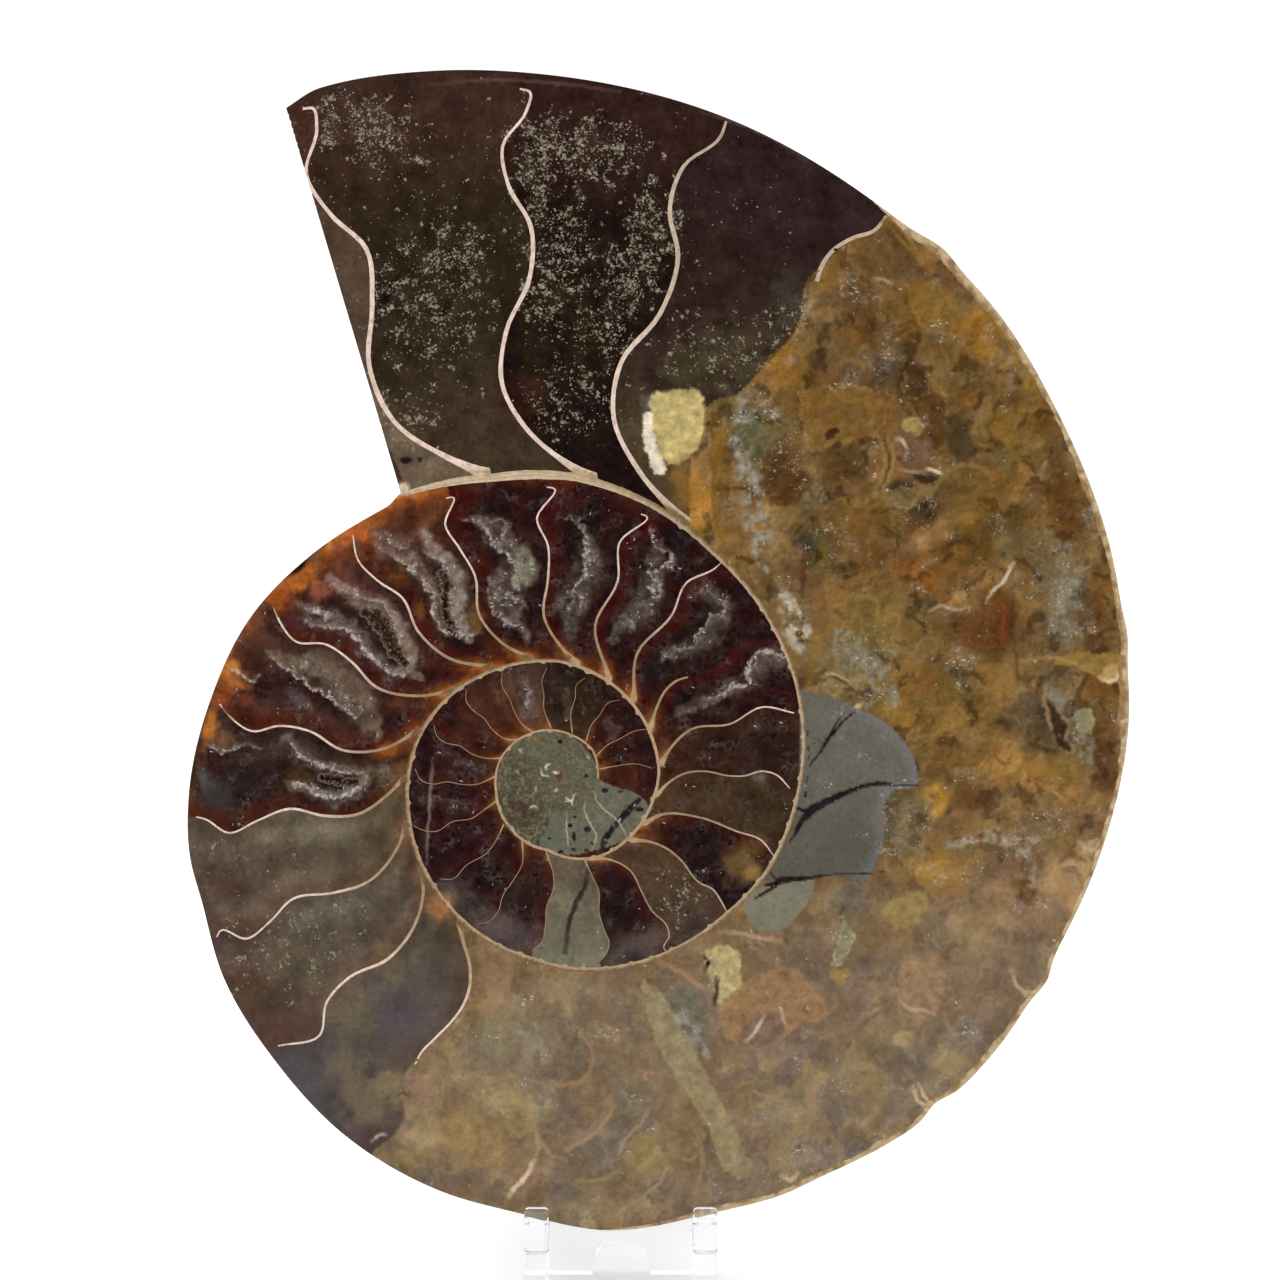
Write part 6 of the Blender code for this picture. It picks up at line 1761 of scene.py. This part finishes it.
MOUTH_RADIUS = float(rim_radius(np.array([RIM[-1][0]]))[0])
NOTCH_RADIUS = float(rim_radius(np.array([RIM[0][0]]))[0])
RINGS_A_TURN = 8 * FINER
RING_RATIO = (NOTCH_RADIUS / MOUTH_RADIUS) ** (1 / RINGS_A_TURN)
SEAM_RING = 2 * RINGS_A_TURN
SEAM = RING_RATIO**SEAM_RING
OUTSIDE, SAWN, FILLED, FRONT = range(4)  # the materials of the back


def cut_angle(radius):
    """Angle of the saw cut at this radius, held constant inside the umbilicus."""
    return CUT_DIRECTION + np.degrees(np.arcsin(CUT_OFFSET / np.maximum(radius, MOUTH_RADIUS * SEAM)))


def back_height(rim, part, angle):
    """Depth of the back below the face at this part of the rim radius, where the plug covers it,
    the place across the whorl and the rib there."""
    turns = np.ceil(np.clip(np.log(SEAM * (1 - 1e-6) / part) / -np.log(RING_RATIO) / RINGS_A_TURN, 0, 9))
    whorl = part / RING_RATIO ** (RINGS_A_TURN * turns)
    width = rim * RING_RATIO ** (RINGS_A_TURN * turns)
    level = np.where(turns > 0, PLUG + PLUG_WAVE * np.sin(np.radians(3 * angle)), 0)
    outwards = np.clip((whorl - SHOULDER) / (1 - SHOULDER), 0, 1)
    inwards = np.clip((SHOULDER - whorl) / (SHOULDER - SEAM), 0, 1)
    profile = np.where(whorl > SHOULDER, (1 - outwards**1.9) ** (1 / 1.9), 1 - SEAM_DROP * inwards**2.6)
    sweep = RIB_SWEEP * (whorl + 0.25 * np.sin(2 * math.pi * whorl))
    on_flank = np.maximum(0, np.sin(math.pi * (whorl - SEAM) / (1 - SEAM))) ** 0.7
    rib = np.cos(np.radians(RIBS * (angle - sweep)))
    height = width * THICKNESS * profile + RIB_HEIGHT * (width / MOUTH_RADIUS) * on_flank * rib
    return np.where(part >= 1, 0, np.maximum(height, level)), height < level, whorl, rib * on_flank


def stone_back(hollows, materials):
    """The half behind the cut face: coiled back, sediment plug, sawn mouth and the open hollows."""
    ratios = [1.0] + list(VENTER_PARTS) + [RING_RATIO**ring for ring in range(1, RINGS * FINER + 1)]
    extra = len(VENTER_PARTS)
    count = len(ratios)
    turn = np.arange(BACK_COLUMNS + 1) / BACK_COLUMNS - 1
    rim = np.where(turn < -0.5, NOTCH_RADIUS, MOUTH_RADIUS)
    for _ in range(12):
        rim = rim_radius(np.clip(cut_angle(rim) + 360 * turn, RIM[0][0], RIM[-1][0]))
    radius = rim[:, None] * np.array(ratios)
    angle = cut_angle(radius) + 360 * turn[:, None]
    part = np.broadcast_to(np.array(ratios), radius.shape)
    height, plug, whorl, rib = back_height(rim[:, None], part, angle)
    p = on_line(angle, radius).reshape(-1, 2)
    whorl, rib, plug = whorl.ravel(), rib.ravel(), plug.ravel()
    growth = np.cos(np.radians(11 * RIBS * (angle.ravel() - RIB_SWEEP * whorl)) + 2 * cloud(p, 9, 901, 2))
    rough = 0.05 * growth * (~plug) + 0.1 * cloud(p, 2.5, 907, 3) + 0.12 * plug * cloud(p, 1.2, 911, 3)
    depth = np.maximum(height.ravel() + rough * step(height.ravel(), 1, 5), SLAB + 0.02)
    depth = np.where(np.tile(np.arange(count) == 0, len(turn)), SLAB, depth)

    number = np.arange(len(p)).reshape(-1, count).copy()
    number[-1, extra + SEAM_RING :] = number[0, extra + SEAM_RING - RINGS_A_TURN : count - RINGS_A_TURN]
    quads = np.stack([number[:-1, :-1], number[1:, :-1], number[1:, 1:], number[:-1, 1:]], axis=-1)
    faces = [tuple(dict.fromkeys(q)) for q in quads.reshape(-1, 4).tolist()]
    kinds = [FILLED if plug[q[0]] else OUTSIDE for q in quads.reshape(-1, 4)]
    first, last = number[0], number[-1]

    middle = list(number[:-1, -1]) + [last[-1]] + list(first[count - RINGS_A_TURN : -1])
    centre = len(p)
    p = np.vstack([p, p[middle].mean(axis=0)])
    depth = np.append(depth, depth[middle].mean())
    closing = [(a, b, centre) for a, b in zip(middle, middle[1:] + middle[:1]) if a != b]
    faces += closing
    kinds += [FILLED] * len(closing)

    at_cut = MOUTH_RADIUS * RING_RATIO ** np.arange(1, RINGS_A_TURN)
    edge = [last[0]] + list(range(len(p), len(p) + RINGS_A_TURN - 1)) + [first[0]]
    p = np.vstack([p, on_line(cut_angle(at_cut), at_cut)])
    depth = np.append(depth, np.full(RINGS_A_TURN - 1, SLAB))
    sawn = [[edge[1]] + list(last[: extra + 2][::-1])]
    sawn += [(edge[k + 1], last[extra + k + 1], last[extra + k], edge[k]) for k in range(1, RINGS_A_TURN)]
    outer = last[extra + RINGS_A_TURN :]
    sawn.append(list(first[: extra + 2]) + [outer[1], outer[0]])
    sawn += [
        tuple(dict.fromkeys((first[extra + k], first[extra + k + 1], outer[k + 1], outer[k])))
        for k in range(1, RINGS_A_TURN)
    ]
    faces += [tuple(f) for f in sawn]
    kinds += [SAWN] * len(sawn)

    p, depth, front = sunk_front(p, depth, list(number[:, 0]) + edge[1:-1], hollows)
    faces += front
    kinds += [FRONT] * len(front)
    piece = new_piece(
        "stone_back", placed(p, depth), faces, materials, *FOSSIL, {"tone": back_tones(p, rib)}, kinds
    )
    outwards(piece)


def sunk_front(p, depth, around, hollows):
    """The front behind the cut face, with the open hollows sunk into it: points, depths, faces."""
    rings = [slot_outline(spine) for spine, _ in hollows]
    sizes = [len(around)] + [len(ring) for ring in rings]
    starts = np.cumsum([0] + sizes[:-1])
    edges = [edge for start, size in zip(starts, sizes) for edge in ring_edges(start, size)]
    flat, triangles = triangulated(np.vstack([p[around]] + rings), edges, 1e-7)
    if len(flat) != sum(sizes):
        raise ValueError("the outline of the back crosses itself")
    triangles = triangles[inside(flat[triangles].mean(axis=1), flat[: sizes[0]])]
    middles = flat[triangles].mean(axis=1)
    index = np.concatenate([around, len(p) + np.arange(sum(sizes[1:]))])
    p = np.vstack([p] + rings)
    depth = np.append(depth, np.full(sum(sizes[1:]), SLAB))
    faces = []
    cap = np.ones(len(triangles), bool)
    for (_, pit), start, size, ring in zip(hollows, starts[1:], sizes[1:], rings):
        floor = inside(middles, ring)
        cap &= ~floor
        top = index[start : start + size]
        foot = len(p) + np.arange(size)
        p = np.vstack([p, ring])
        depth = np.append(depth, np.full(size, pit))
        to_foot = dict(zip(top.tolist(), foot.tolist()))
        faces += [tuple(to_foot[k] for k in t) for t in index[triangles[floor]].tolist()]
        faces += [(top[k], top[k - 1], foot[k - 1], foot[k]) for k in range(size)]
    faces += [tuple(t) for t in index[triangles[cap]].tolist()]
    return p, depth, faces


def outwards(piece):
    """Turns every face of a closed piece outwards."""
    bm = bmesh.new()
    bm.from_mesh(piece.data)
    bmesh.ops.recalc_face_normals(bm, faces=bm.faces)
    bm.to_mesh(piece.data)
    bm.free()


def back_tones(p, rib):
    """Brown shell with paler ribs, and nacre showing through where it is worn."""
    paint = Paint(p)
    paint.color[:] = BACK_TONE
    every = np.arange(len(p))
    paint.lay(every, BACK_DARK, 0.7 * step(cloud(p, 16, 921, 4), -0.1, 0.7))
    paint.lay(every, BACK_PALE, 0.6 * step(cloud(p + 50, 11, 923, 4), 0.15, 0.8))
    paint.lay(every, NACRE, 0.55 * step(cloud(p + 90, 22, 927, 3), 0.35, 0.8))
    paint.shade(every[: len(rib)], 0.12 * rib)
    paint.shade(every, 0.12 * cloud(p, 2.2, 929, 3))
    return paint.color


# ---- Materials ----------------------------------------------------------------------------------


class Look:
    """A new material, with makers of the nodes that lead into its shader."""

    def __init__(self, name, **settings):
        self.material = bpy.data.materials.new(name)
        self.material.use_nodes = True
        self.tree = self.material.node_tree
        self.shader = self.tree.nodes["Principled BSDF"]
        for socket, value in settings.items():
            self.shader.inputs[socket.replace("_", " ")].default_value = value

    def node(self, kind, inputs=None, **values):
        """A new node with these settings, its inputs set to numbers or joined to other nodes."""
        made = self.tree.nodes.new(kind)
        for key, value in values.items():
            setattr(made, key, value)
        for key, value in (inputs or {}).items():
            if isinstance(value, bpy.types.NodeSocket):
                self.tree.links.new(value, made.inputs[key])
            else:
                made.inputs[key].default_value = value
        return made

    def into(self, socket, value):
        """Joins a value to one of the shader's inputs."""
        self.tree.links.new(value, self.shader.inputs[socket])

    @cached_property
    def place(self):
        """The place on the object, in metres."""
        return self.node("ShaderNodeTexCoord").outputs["Object"]

    def painted(self, name, output="Color"):
        """What was painted on the points under this name."""
        return self.node("ShaderNodeAttribute", attribute_name=name).outputs[output]

    def math(self, operation, *values):
        """One sum with its values in order."""
        return self.node("ShaderNodeMath", dict(enumerate(values)), operation=operation).outputs[0]

    def times(self, a, b):
        """The product of two values."""
        return self.math("MULTIPLY", a, b)

    def between(self, value, low, high, to_low=0.0, to_high=1.0):
        """The value spread from one pair of limits to another, and held at them."""
        limits = {"From Min": low, "From Max": high, "To Min": to_low, "To Max": to_high}
        return self.node("ShaderNodeMapRange", {"Value": value, **limits}).outputs["Result"]

    def mixed(self, amount, a, b, blend="MIX"):
        """Two colours mixed."""
        values = {0: amount, 6: a, 7: b}
        return self.node("ShaderNodeMix", values, data_type="RGBA", blend_type=blend).outputs[2]

    def over(self, color, tone, amount):
        """The colour with an amount of a plain tone, 0 to 255, over it."""
        return self.mixed(amount, color, screen_tone(tone))

    def noise(self, scale, detail):
        """Smooth variation round a half."""
        inputs = {"Vector": self.place, "Scale": scale, "Detail": detail}
        return self.node("ShaderNodeTexNoise", inputs).outputs["Fac"]

    def ridge(self, scale):
        """Nearly 0 on thin winding lines, more away from them."""
        return self.math("ABSOLUTE", self.math("SUBTRACT", self.noise(scale, 4), 0.5))

    def cells(self, place, scale):
        """Distance to the nearest of a scatter of points, and that point's colour."""
        return self.node("ShaderNodeTexVoronoi", {"Vector": place, "Scale": scale}).outputs

    def mottled(self, scale, detail, *reach):
        """The painted tone with fine lighter and darker spots, and the spots alone."""
        fine = self.between(self.noise(scale, detail), *reach)
        return self.mixed(1.0, self.painted("tone"), fine, "MULTIPLY"), fine

    def relief(self, height, strength, distance):
        """Bumps the surface, by a distance in metres."""
        inputs = {"Height": height, "Strength": strength, "Distance": distance}
        self.into("Normal", self.node("ShaderNodeBump", inputs).outputs["Normal"])


def screen_tone(tone):
    """A tone of 0 to 255 as a node takes it."""
    return (*linear(tone), 1)


def polished_face():
    """Polished stone: the painted fillings, fine mottling, grains, needles of crystal and a fine relief."""
    look = Look("polished_face", Roughness=0.34, Specular_IOR_Level=0.22)
    color, _ = look.mottled(1500, 4, 0.25, 0.75, 0.84, 1.16)
    share, frost = look.painted("grain", "Fac"), look.painted("frost", "Fac")
    # Fine dark gaps and bright threads between the crystals.
    thread = look.between(look.ridge(900), 0.1, 0.0)
    clumps = look.between(look.noise(420, 3), 0.42, 0.62)
    dark = look.between(look.noise(1900, 3), 0.47, 0.33, 0.0, 0.6)
    color = look.over(color, GAP_TONE, look.times(dark, frost))
    color = look.over(color, THREAD, look.times(look.times(thread, clumps), look.times(frost, 0.5)))
    # Short needles that lie in two directions.
    for turn, scale in ((0.3, 1000.0), (1.9, 1250.0)):
        laid = {"Vector": look.place, "Rotation": (0.0, turn, 0.0), "Scale": (1, 1, 0.3)}
        along = look.node("ShaderNodeMapping", laid, vector_type="TEXTURE").outputs["Vector"]
        cells = look.cells(along, scale)
        some = look.math("LESS_THAN", cells["Color"], look.times(frost, 0.46))
        amount = look.times(some, look.between(cells["Distance"], 0.42, 0.2))
        color = look.over(color, NEEDLE, look.times(amount, 0.7))
    # Grains: a share of the cells, each with its own size and tint.
    dust = look.between(share, 0, 0.5, 0.03, 0.36)
    drift = look.node("ShaderNodeTexNoise", {"Vector": look.place, "Scale": 2400.0}).outputs["Color"]
    bent = look.mixed(0.0007, look.place, drift)
    bright = look.between(look.noise(1700, 1), 0.35, 0.65, 0.35, 0.95)
    size = look.between(look.noise(600, 1), 0.3, 0.7, 0.55, 1.25)
    for scale, reach, tint, few in zip(
        (1150.0, 2100.0, 3300.0), (0.42, 0.42, 0.46), DUST_TINTS, (share, share, dust)
    ):
        cells = look.cells(bent, scale)
        some = look.math("LESS_THAN", cells["Color"], few)
        near = look.math("DIVIDE", cells["Distance"], size)
        amount = look.times(some, look.between(near, reach, reach - 0.14))
        color = look.over(color, tint, look.times(amount, bright))
    look.into("Base Color", color)
    look.into("Roughness", look.between(look.noise(900, 2), 0.3, 0.7, 0.26, 0.42))
    look.relief(look.noise(1500, 3), 0.14, 0.0002)
    return look.material


def shell_wall():
    """The cream shell of septa, wall and outer edge, with fine fibres and brown flecks."""
    look = Look("shell_wall", Roughness=0.4, Specular_IOR_Level=0.3)
    color, fine = look.mottled(2600, 4, 0.2, 0.8, 0.82, 1.12)
    fleck = look.between(look.noise(700, 4), 0.6, 0.78, 0.0, 0.55)
    look.into("Base Color", look.over(color, WALL_FLECK, fleck))
    look.relief(fine, 0.15, 0.0002)
    return look.material


def shell_outside():
    """The back: brown shell with growth lines, and duller where it is worn."""
    look = Look("shell_outside", Roughness=0.45, Specular_IOR_Level=0.4)
    color, fine = look.mottled(420, 6, 0.25, 0.75, 0.7, 1.25)
    worn = look.between(look.noise(90, 5), 0.52, 0.66)
    look.into("Base Color", look.over(color, BACK_WORN, look.times(worn, 0.5)))
    look.into("Roughness", look.between(worn, 0, 1, 0.32, 0.6))
    look.relief(fine, 0.35, 0.0004)
    return look.material


def sediment(name, low, high, speck):
    """Fine-grained stone of two tones with specks, for the sawn mouth and the plug behind."""
    look = Look(name, Roughness=0.6, Specular_IOR_Level=0.3)
    blotch = look.between(look.noise(160, 6), 0.3, 0.7)
    color = look.mixed(blotch, screen_tone(low), screen_tone(high))
    speckle = look.between(look.cells(look.place, 1300.0)["Distance"], 0.28, 0.12)
    some = look.between(look.noise(240, 3), 0.5, 0.62)
    look.into("Base Color", look.over(color, speck, look.times(look.times(speckle, some), 0.6)))
    look.relief(look.noise(1200, 5), 0.3, 0.0003)
    return look.material


def crystal(name, low, high):
    """Calcite of the hollows' own walls, stained brown in places."""
    look = Look(name, Roughness=0.16, Specular_IOR_Level=0.6)
    stain = look.between(look.noise(700, 5), 0.3, 0.7)
    look.into("Base Color", look.mixed(stain, screen_tone(low), screen_tone(high)))
    look.relief(look.noise(2500, 4), 0.2, 0.0002)
    return look.material


def druse_crystal():
    """Calcite points: pale at the tips, brown and darker between them with painted shade, glassy."""
    look = Look("druse_crystal", Roughness=0.2, Specular_IOR_Level=0.45)
    color, _ = look.mottled(2200, 4, 0.3, 0.7, 0.7, 1.3)
    look.into("Base Color", color)
    look.relief(look.noise(3500, 3), 0.2, 0.0001)
    return look.material


def clear_plastic():
    """Clear moulded plastic, very slightly hazed where it was handled."""
    look = Look(
        "clear_plastic", Base_Color=(0.97, 0.985, 0.99, 1), Transmission_Weight=1.0, IOR=1.49
    )
    look.into("Roughness", look.between(look.noise(60, 4), 0.35, 0.75, 0.03, 0.12))
    return look.material


# ---- The crusts in the hollows ------------------------------------------------------------------


def lined_hollows():
    """The crust of pointed crystals that lines each hollow, one closed piece in each."""
    material = druse_crystal()
    for (spine, deep), name in zip(HOLLOWS, ("upper", "middle", "lower")):
        hole, outline = slot_outline(spine), slot_outline(spine, CRUST_OVERLAP)
        grid = grid_points(outline.min(axis=0), outline.max(axis=0), CRUST_PITCH)
        grid = grid[beyond(grid, outline) < -0.4 * CRUST_PITCH]
        edges = ring_edges(len(grid), len(outline))
        flat, triangles = triangulated(np.concatenate([grid, outline]), edges, 1e-6)
        triangles = triangles[inside(flat[triangles].mean(axis=1), outline)]
        away = np.maximum(-beyond(flat, hole), 0)
        bent = flat + 0.12 * swirl(flat, 0.5, (871, 873), 2)
        near, _, which = shards(bent, 0.62, 877)
        tip = np.maximum(0, 1 - near / 0.62) * (0.25 + 0.75 * which)
        small, _, other = shards(bent, 0.3, 879)
        tip += 0.3 * np.maximum(0, 1 - small / 0.6) * other
        depth = CRUST_DEPTH * (1 - np.exp(-away / 0.6)) + 0.15 - 1.1 * tip * step(away, 0, 0.4)
        depth = np.clip(depth, CRUST_TOP, deep - 0.15)
        # Painted shade: the crust darkens with depth into the hollow and between its points; the tips near
        # the opening and its edge are paler.
        shade = Paint(flat)
        every = np.arange(len(flat))
        shade.color[:] = CRUST_SHADED
        shade.lay(every, CRUST_MIDDLE, 1 - step(depth, 0.3, 1.6))
        shade.lay(every, CRUST_TIP, step(tip, 0.3, 0.9) * (1 - 0.8 * step(depth, 0.5, 2.0)))
        shade.lay(every, CRUST_RIM, 0.9 * (1 - step(away, 0.05, 0.35)))
        slab(
            "crystals_" + name, flat, triangles, np.ones(len(triangles), bool), depth, deep - 0.05,
            material, "crystal_lining_" + name, "calcite_druse", {"tone": shade.color},
        )


# ---- Putting it together ------------------------------------------------------------------------

# Labels of the face's triangles, one for each piece; an open hollow has none.
WALLS, MOUTH, FILLING_UPPER, COIL, RIM_EDGE, FILLING_LOWER, OUTER = range(7)
OPEN = -1


def build_face():
    """The cut face: its fillings as five pieces, the septa with the wall, and the shell on the rim."""
    hollows = [slot_outline(spine) for spine, _ in HOLLOWS]
    outline = np.vstack([rim_outline(int(SIZE_OF_RIM / RIM_PITCH)), saw_cut_points()])
    septa = septum_ribbons()
    wall = wall_ribbon()
    edge = rim_shell_ribbon()
    flat, triangles = face_triangles(outline, hollows + septa + [wall, edge])
    middle = flat[triangles].mean(axis=1)
    along, across, *_, disc = tube_place(middle)
    number, _ = chamber_of(along, across)
    filling = np.where(middle[:, 1] > FILLING_SPLIT, FILLING_UPPER, FILLING_LOWER)
    coil = np.where(disc | (number > OUTER_CHAMBERS), COIL, OUTER)
    labels = np.where(number == FILLING_NUMBER, filling, np.where(number < FILLING_NUMBER, MOUTH, coil))
    labels[disc] = COIL
    shapes = [(edge, RIM_EDGE), (wall, WALLS)] + [(shape, WALLS) for shape in septa]
    for shape, label in shapes + [(shape, OPEN) for shape in hollows]:
        near = close_to(middle, shape, 0.1)
        labels[near[inside(middle[near], shape)]] = label
    labels = untied(triangles, labels)
    paint = paint_face(flat)
    stone, shell = polished_face(), shell_wall()
    marks = {"tone": paint.color, "grain": paint.grain, "frost": paint.frost}
    for label, name in (
        (MOUTH, "cut_face_mouth"), (FILLING_UPPER, "cut_face_filling_upper"),
        (FILLING_LOWER, "cut_face_filling_lower"), (OUTER, "cut_face_outer_chambers"),
        (COIL, "cut_face_coil"),
    ):
        slab(name, flat, triangles, labels == label, paint.depth, SLAB, stone, *FOSSIL, marks)
    marks = {"tone": shell_tones(flat)}
    for label, name in ((WALLS, "septa_and_wall"), (RIM_EDGE, "rim_shell")):
        slab(name, flat, triangles, labels == label, 0 * paint.depth, SLAB, shell, *FOSSIL, marks)


def saw_cut_points():
    """Points along the saw cut, from the notch back to the mouth."""
    mouth, notch = rim_outline(2)
    steps = int(np.hypot(*(mouth - notch)) / RIM_PITCH)
    return notch + (mouth - notch) * (np.arange(1, steps) / steps)[:, None]


def shell_tones(p):
    """Rosy cream, golden brown at the necks of the septa and towards the middle of the coil."""
    radius = np.hypot(*p.T)
    from_inner = tube_place(p)[2]
    paint = Paint(p)
    every = np.arange(len(p))
    paint.color[:] = SEPTUM_TONE
    paint.lay(every, MOUTH_SEPTUM_TONE, step(p[:, 1], 30, 45) * step(p[:, 0], 10, 25))
    paint.lay(every, INNER_SEPTUM_TONE, 1 - step(radius, 26, 44))
    paint.lay(every, NECK_TONE, 0.7 * (1 - step(from_inner, 0.5, 2.6)) * (1 - step(radius, 60, 75)))
    angle = angle_of(p)
    for turn in (-360, -720, -1080):
        here = angle + turn
        wall = np.abs(radius - wall_radius(here)) < 1.3
        bead = 0.5 + 0.5 * cloud(p, 1.3, 841, 2)
        mix = wall * (here > WALL_END - 5) * (0.75 + 0.25 * bead)
        outside = step(radius - wall_radius(here) + 0.15 * cloud(p, 1.1, 843, 2), -0.02, 0.2)
        thick = step(here, -300, -262) * (here < -240)
        paint.lay(every, WALL_TONE, mix)
        paint.lay(every, WALL_BROWN, mix * outside * (1 - thick) * (here > -640))
        paint.lay(every, WALL_PALE, mix * thick)
        strand = np.sin(9 * (radius - wall_radius(here)) + 1.5 * cloud(p, 4, 847, 2))
        paint.shade(every, 0.1 * mix * thick * strand)
    rim = rim_radius(np.where(angle > RIM[-1][0], angle - 360, angle)) - radius
    on_rim = (rim < 2.2) & (rim > -1.5) & (angle > -90) & (angle < 63)
    paint.lay(every, RIM_SHELL_TONE, 1.0 * on_rim)
    brown = step(cloud(p, 2.2, 845, 3) + 0.8 * rim, 0.2, 0.9)
    paint.lay(every, RIM_SHELL_BROWN, 0.8 * on_rim * brown)
    paint.shade(every, 0.09 * cloud(p, 1.2, 831, 3))
    paint.lay(every, SHELL_STAIN, 0.3 * step(cloud(p, 2.4, 835, 3), 0.35, 0.9))
    return paint.color


def staged(name, points, faces, **values):
    """A piece of the stage, in a material of its own."""
    mesh = bpy.data.meshes.new(name)
    mesh.from_pydata(points, [], faces)
    mesh.update()
    piece = bpy.data.objects.new(name, mesh)
    bpy.context.scene.collection.objects.link(piece)
    mesh.materials.append(Look(name, **values).material)
    return piece


def pale_room():
    """A wide pale floor, and far round it a white wall that lights nothing."""
    turn = np.linspace(0, 2 * math.pi, ROOM_SIDES, endpoint=False)
    ring = np.stack([ROOM_RADIUS * np.cos(turn), ROOM_RADIUS * np.sin(turn)], axis=1)
    low = [(x, y, 0) for x, y in ring]
    high = [(x, y, ROOM_HEIGHT) for x, y in ring]
    staged(
        "floor", low, [tuple(range(ROOM_SIDES))], Roughness=0.8, Specular_IOR_Level=0.1,
        Base_Color=(0.93, 0.93, 0.93, 1), Emission_Color=(1, 1, 1, 1), Emission_Strength=0.42,
    )
    sides = [(a, b, ROOM_SIDES + b, ROOM_SIDES + a) for a, b in ring_edges(0, ROOM_SIDES)]
    wall = staged(
        "backdrop", low + high, sides, Roughness=1, Specular_IOR_Level=0, Base_Color=(0, 0, 0, 1),
        Emission_Color=(1, 1, 1, 1), Emission_Strength=1.0,
    )
    wall.visible_diffuse = wall.visible_glossy = wall.visible_shadow = False


def soft_light(name, place, size, power):
    """A round lamp that shines on the middle of the fossil."""
    light = bpy.data.lights.new(name, "AREA")
    light.shape = "DISK"
    light.size = size
    light.energy = power
    lamp = bpy.data.objects.new(name, light)
    lamp.location = place
    lamp.rotation_euler = (Vector(LOOK_AT) - Vector(place)).to_track_quat("-Z", "Y").to_euler()
    bpy.context.scene.collection.objects.link(lamp)


def room_light():
    """Even light from all sides but the camera's, so the polish shows no glare there."""
    world = bpy.data.worlds.new("studio")
    world.use_nodes = True
    tree = world.node_tree
    toward = tree.nodes.new("ShaderNodeTexCoord").outputs["Generated"]
    facing = tree.nodes.new("ShaderNodeVectorMath")
    facing.operation = "DOT_PRODUCT"
    facing.inputs[1].default_value = (0, -COS, SIN)
    tree.links.new(toward, facing.inputs[0])
    dark = tree.nodes.new("ShaderNodeMapRange")
    for socket, value in (("From Min", 0.55), ("From Max", 0.9), ("To Min", WORLD_LIGHT), ("To Max", 0.04)):
        dark.inputs[socket].default_value = value
    tree.links.new(facing.outputs["Value"], dark.inputs["Value"])
    tree.links.new(dark.outputs["Result"], tree.nodes["Background"].inputs["Strength"])
    tree.nodes["Background"].inputs["Color"].default_value = (1, 1, 1, 1)
    bpy.context.scene.world = world


def face_on_camera():
    """The camera, square to the cut face, with the picture's frame."""
    scene = bpy.context.scene
    middle = placed(np.array([PICTURE_MIDDLE]), 0)[0]
    away = np.array((0, -COS, SIN)) * CAMERA_DISTANCE / 1000
    data = bpy.data.cameras.new("camera")
    data.sensor_width = SENSOR_WIDTH
    data.lens = SENSOR_WIDTH * CAMERA_DISTANCE / PICTURE_WIDTH
    data.clip_end = 20
    camera = bpy.data.objects.new("camera", data)
    camera.location = middle + away
    camera.rotation_euler = (math.radians(90 - LEAN), 0, 0)
    scene.collection.objects.link(camera)
    scene.camera = camera
    scene.view_settings.view_transform = "Standard"
    scene.view_settings.look = "None"


def dress(node_name, material):
    """Gives a solid of the frame, unchanged in shape, this material."""
    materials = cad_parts[node_name].data.materials
    for k in range(len(materials)):
        materials[k] = material


build_face()
stone_back(
    HOLLOWS,
    (
        shell_outside(),
        sediment("sawn_mouth", *SAWN_MOUTH),
        sediment("plug", *SEDIMENT_PLUG),
        crystal("hollow_walls", *HOLLOW_WALLS),
    ),
)
lined_hollows()
dress("easel", clear_plastic())
pale_room()
room_light()
for lamp in LAMPS:
    soft_light(*lamp)
face_on_camera()
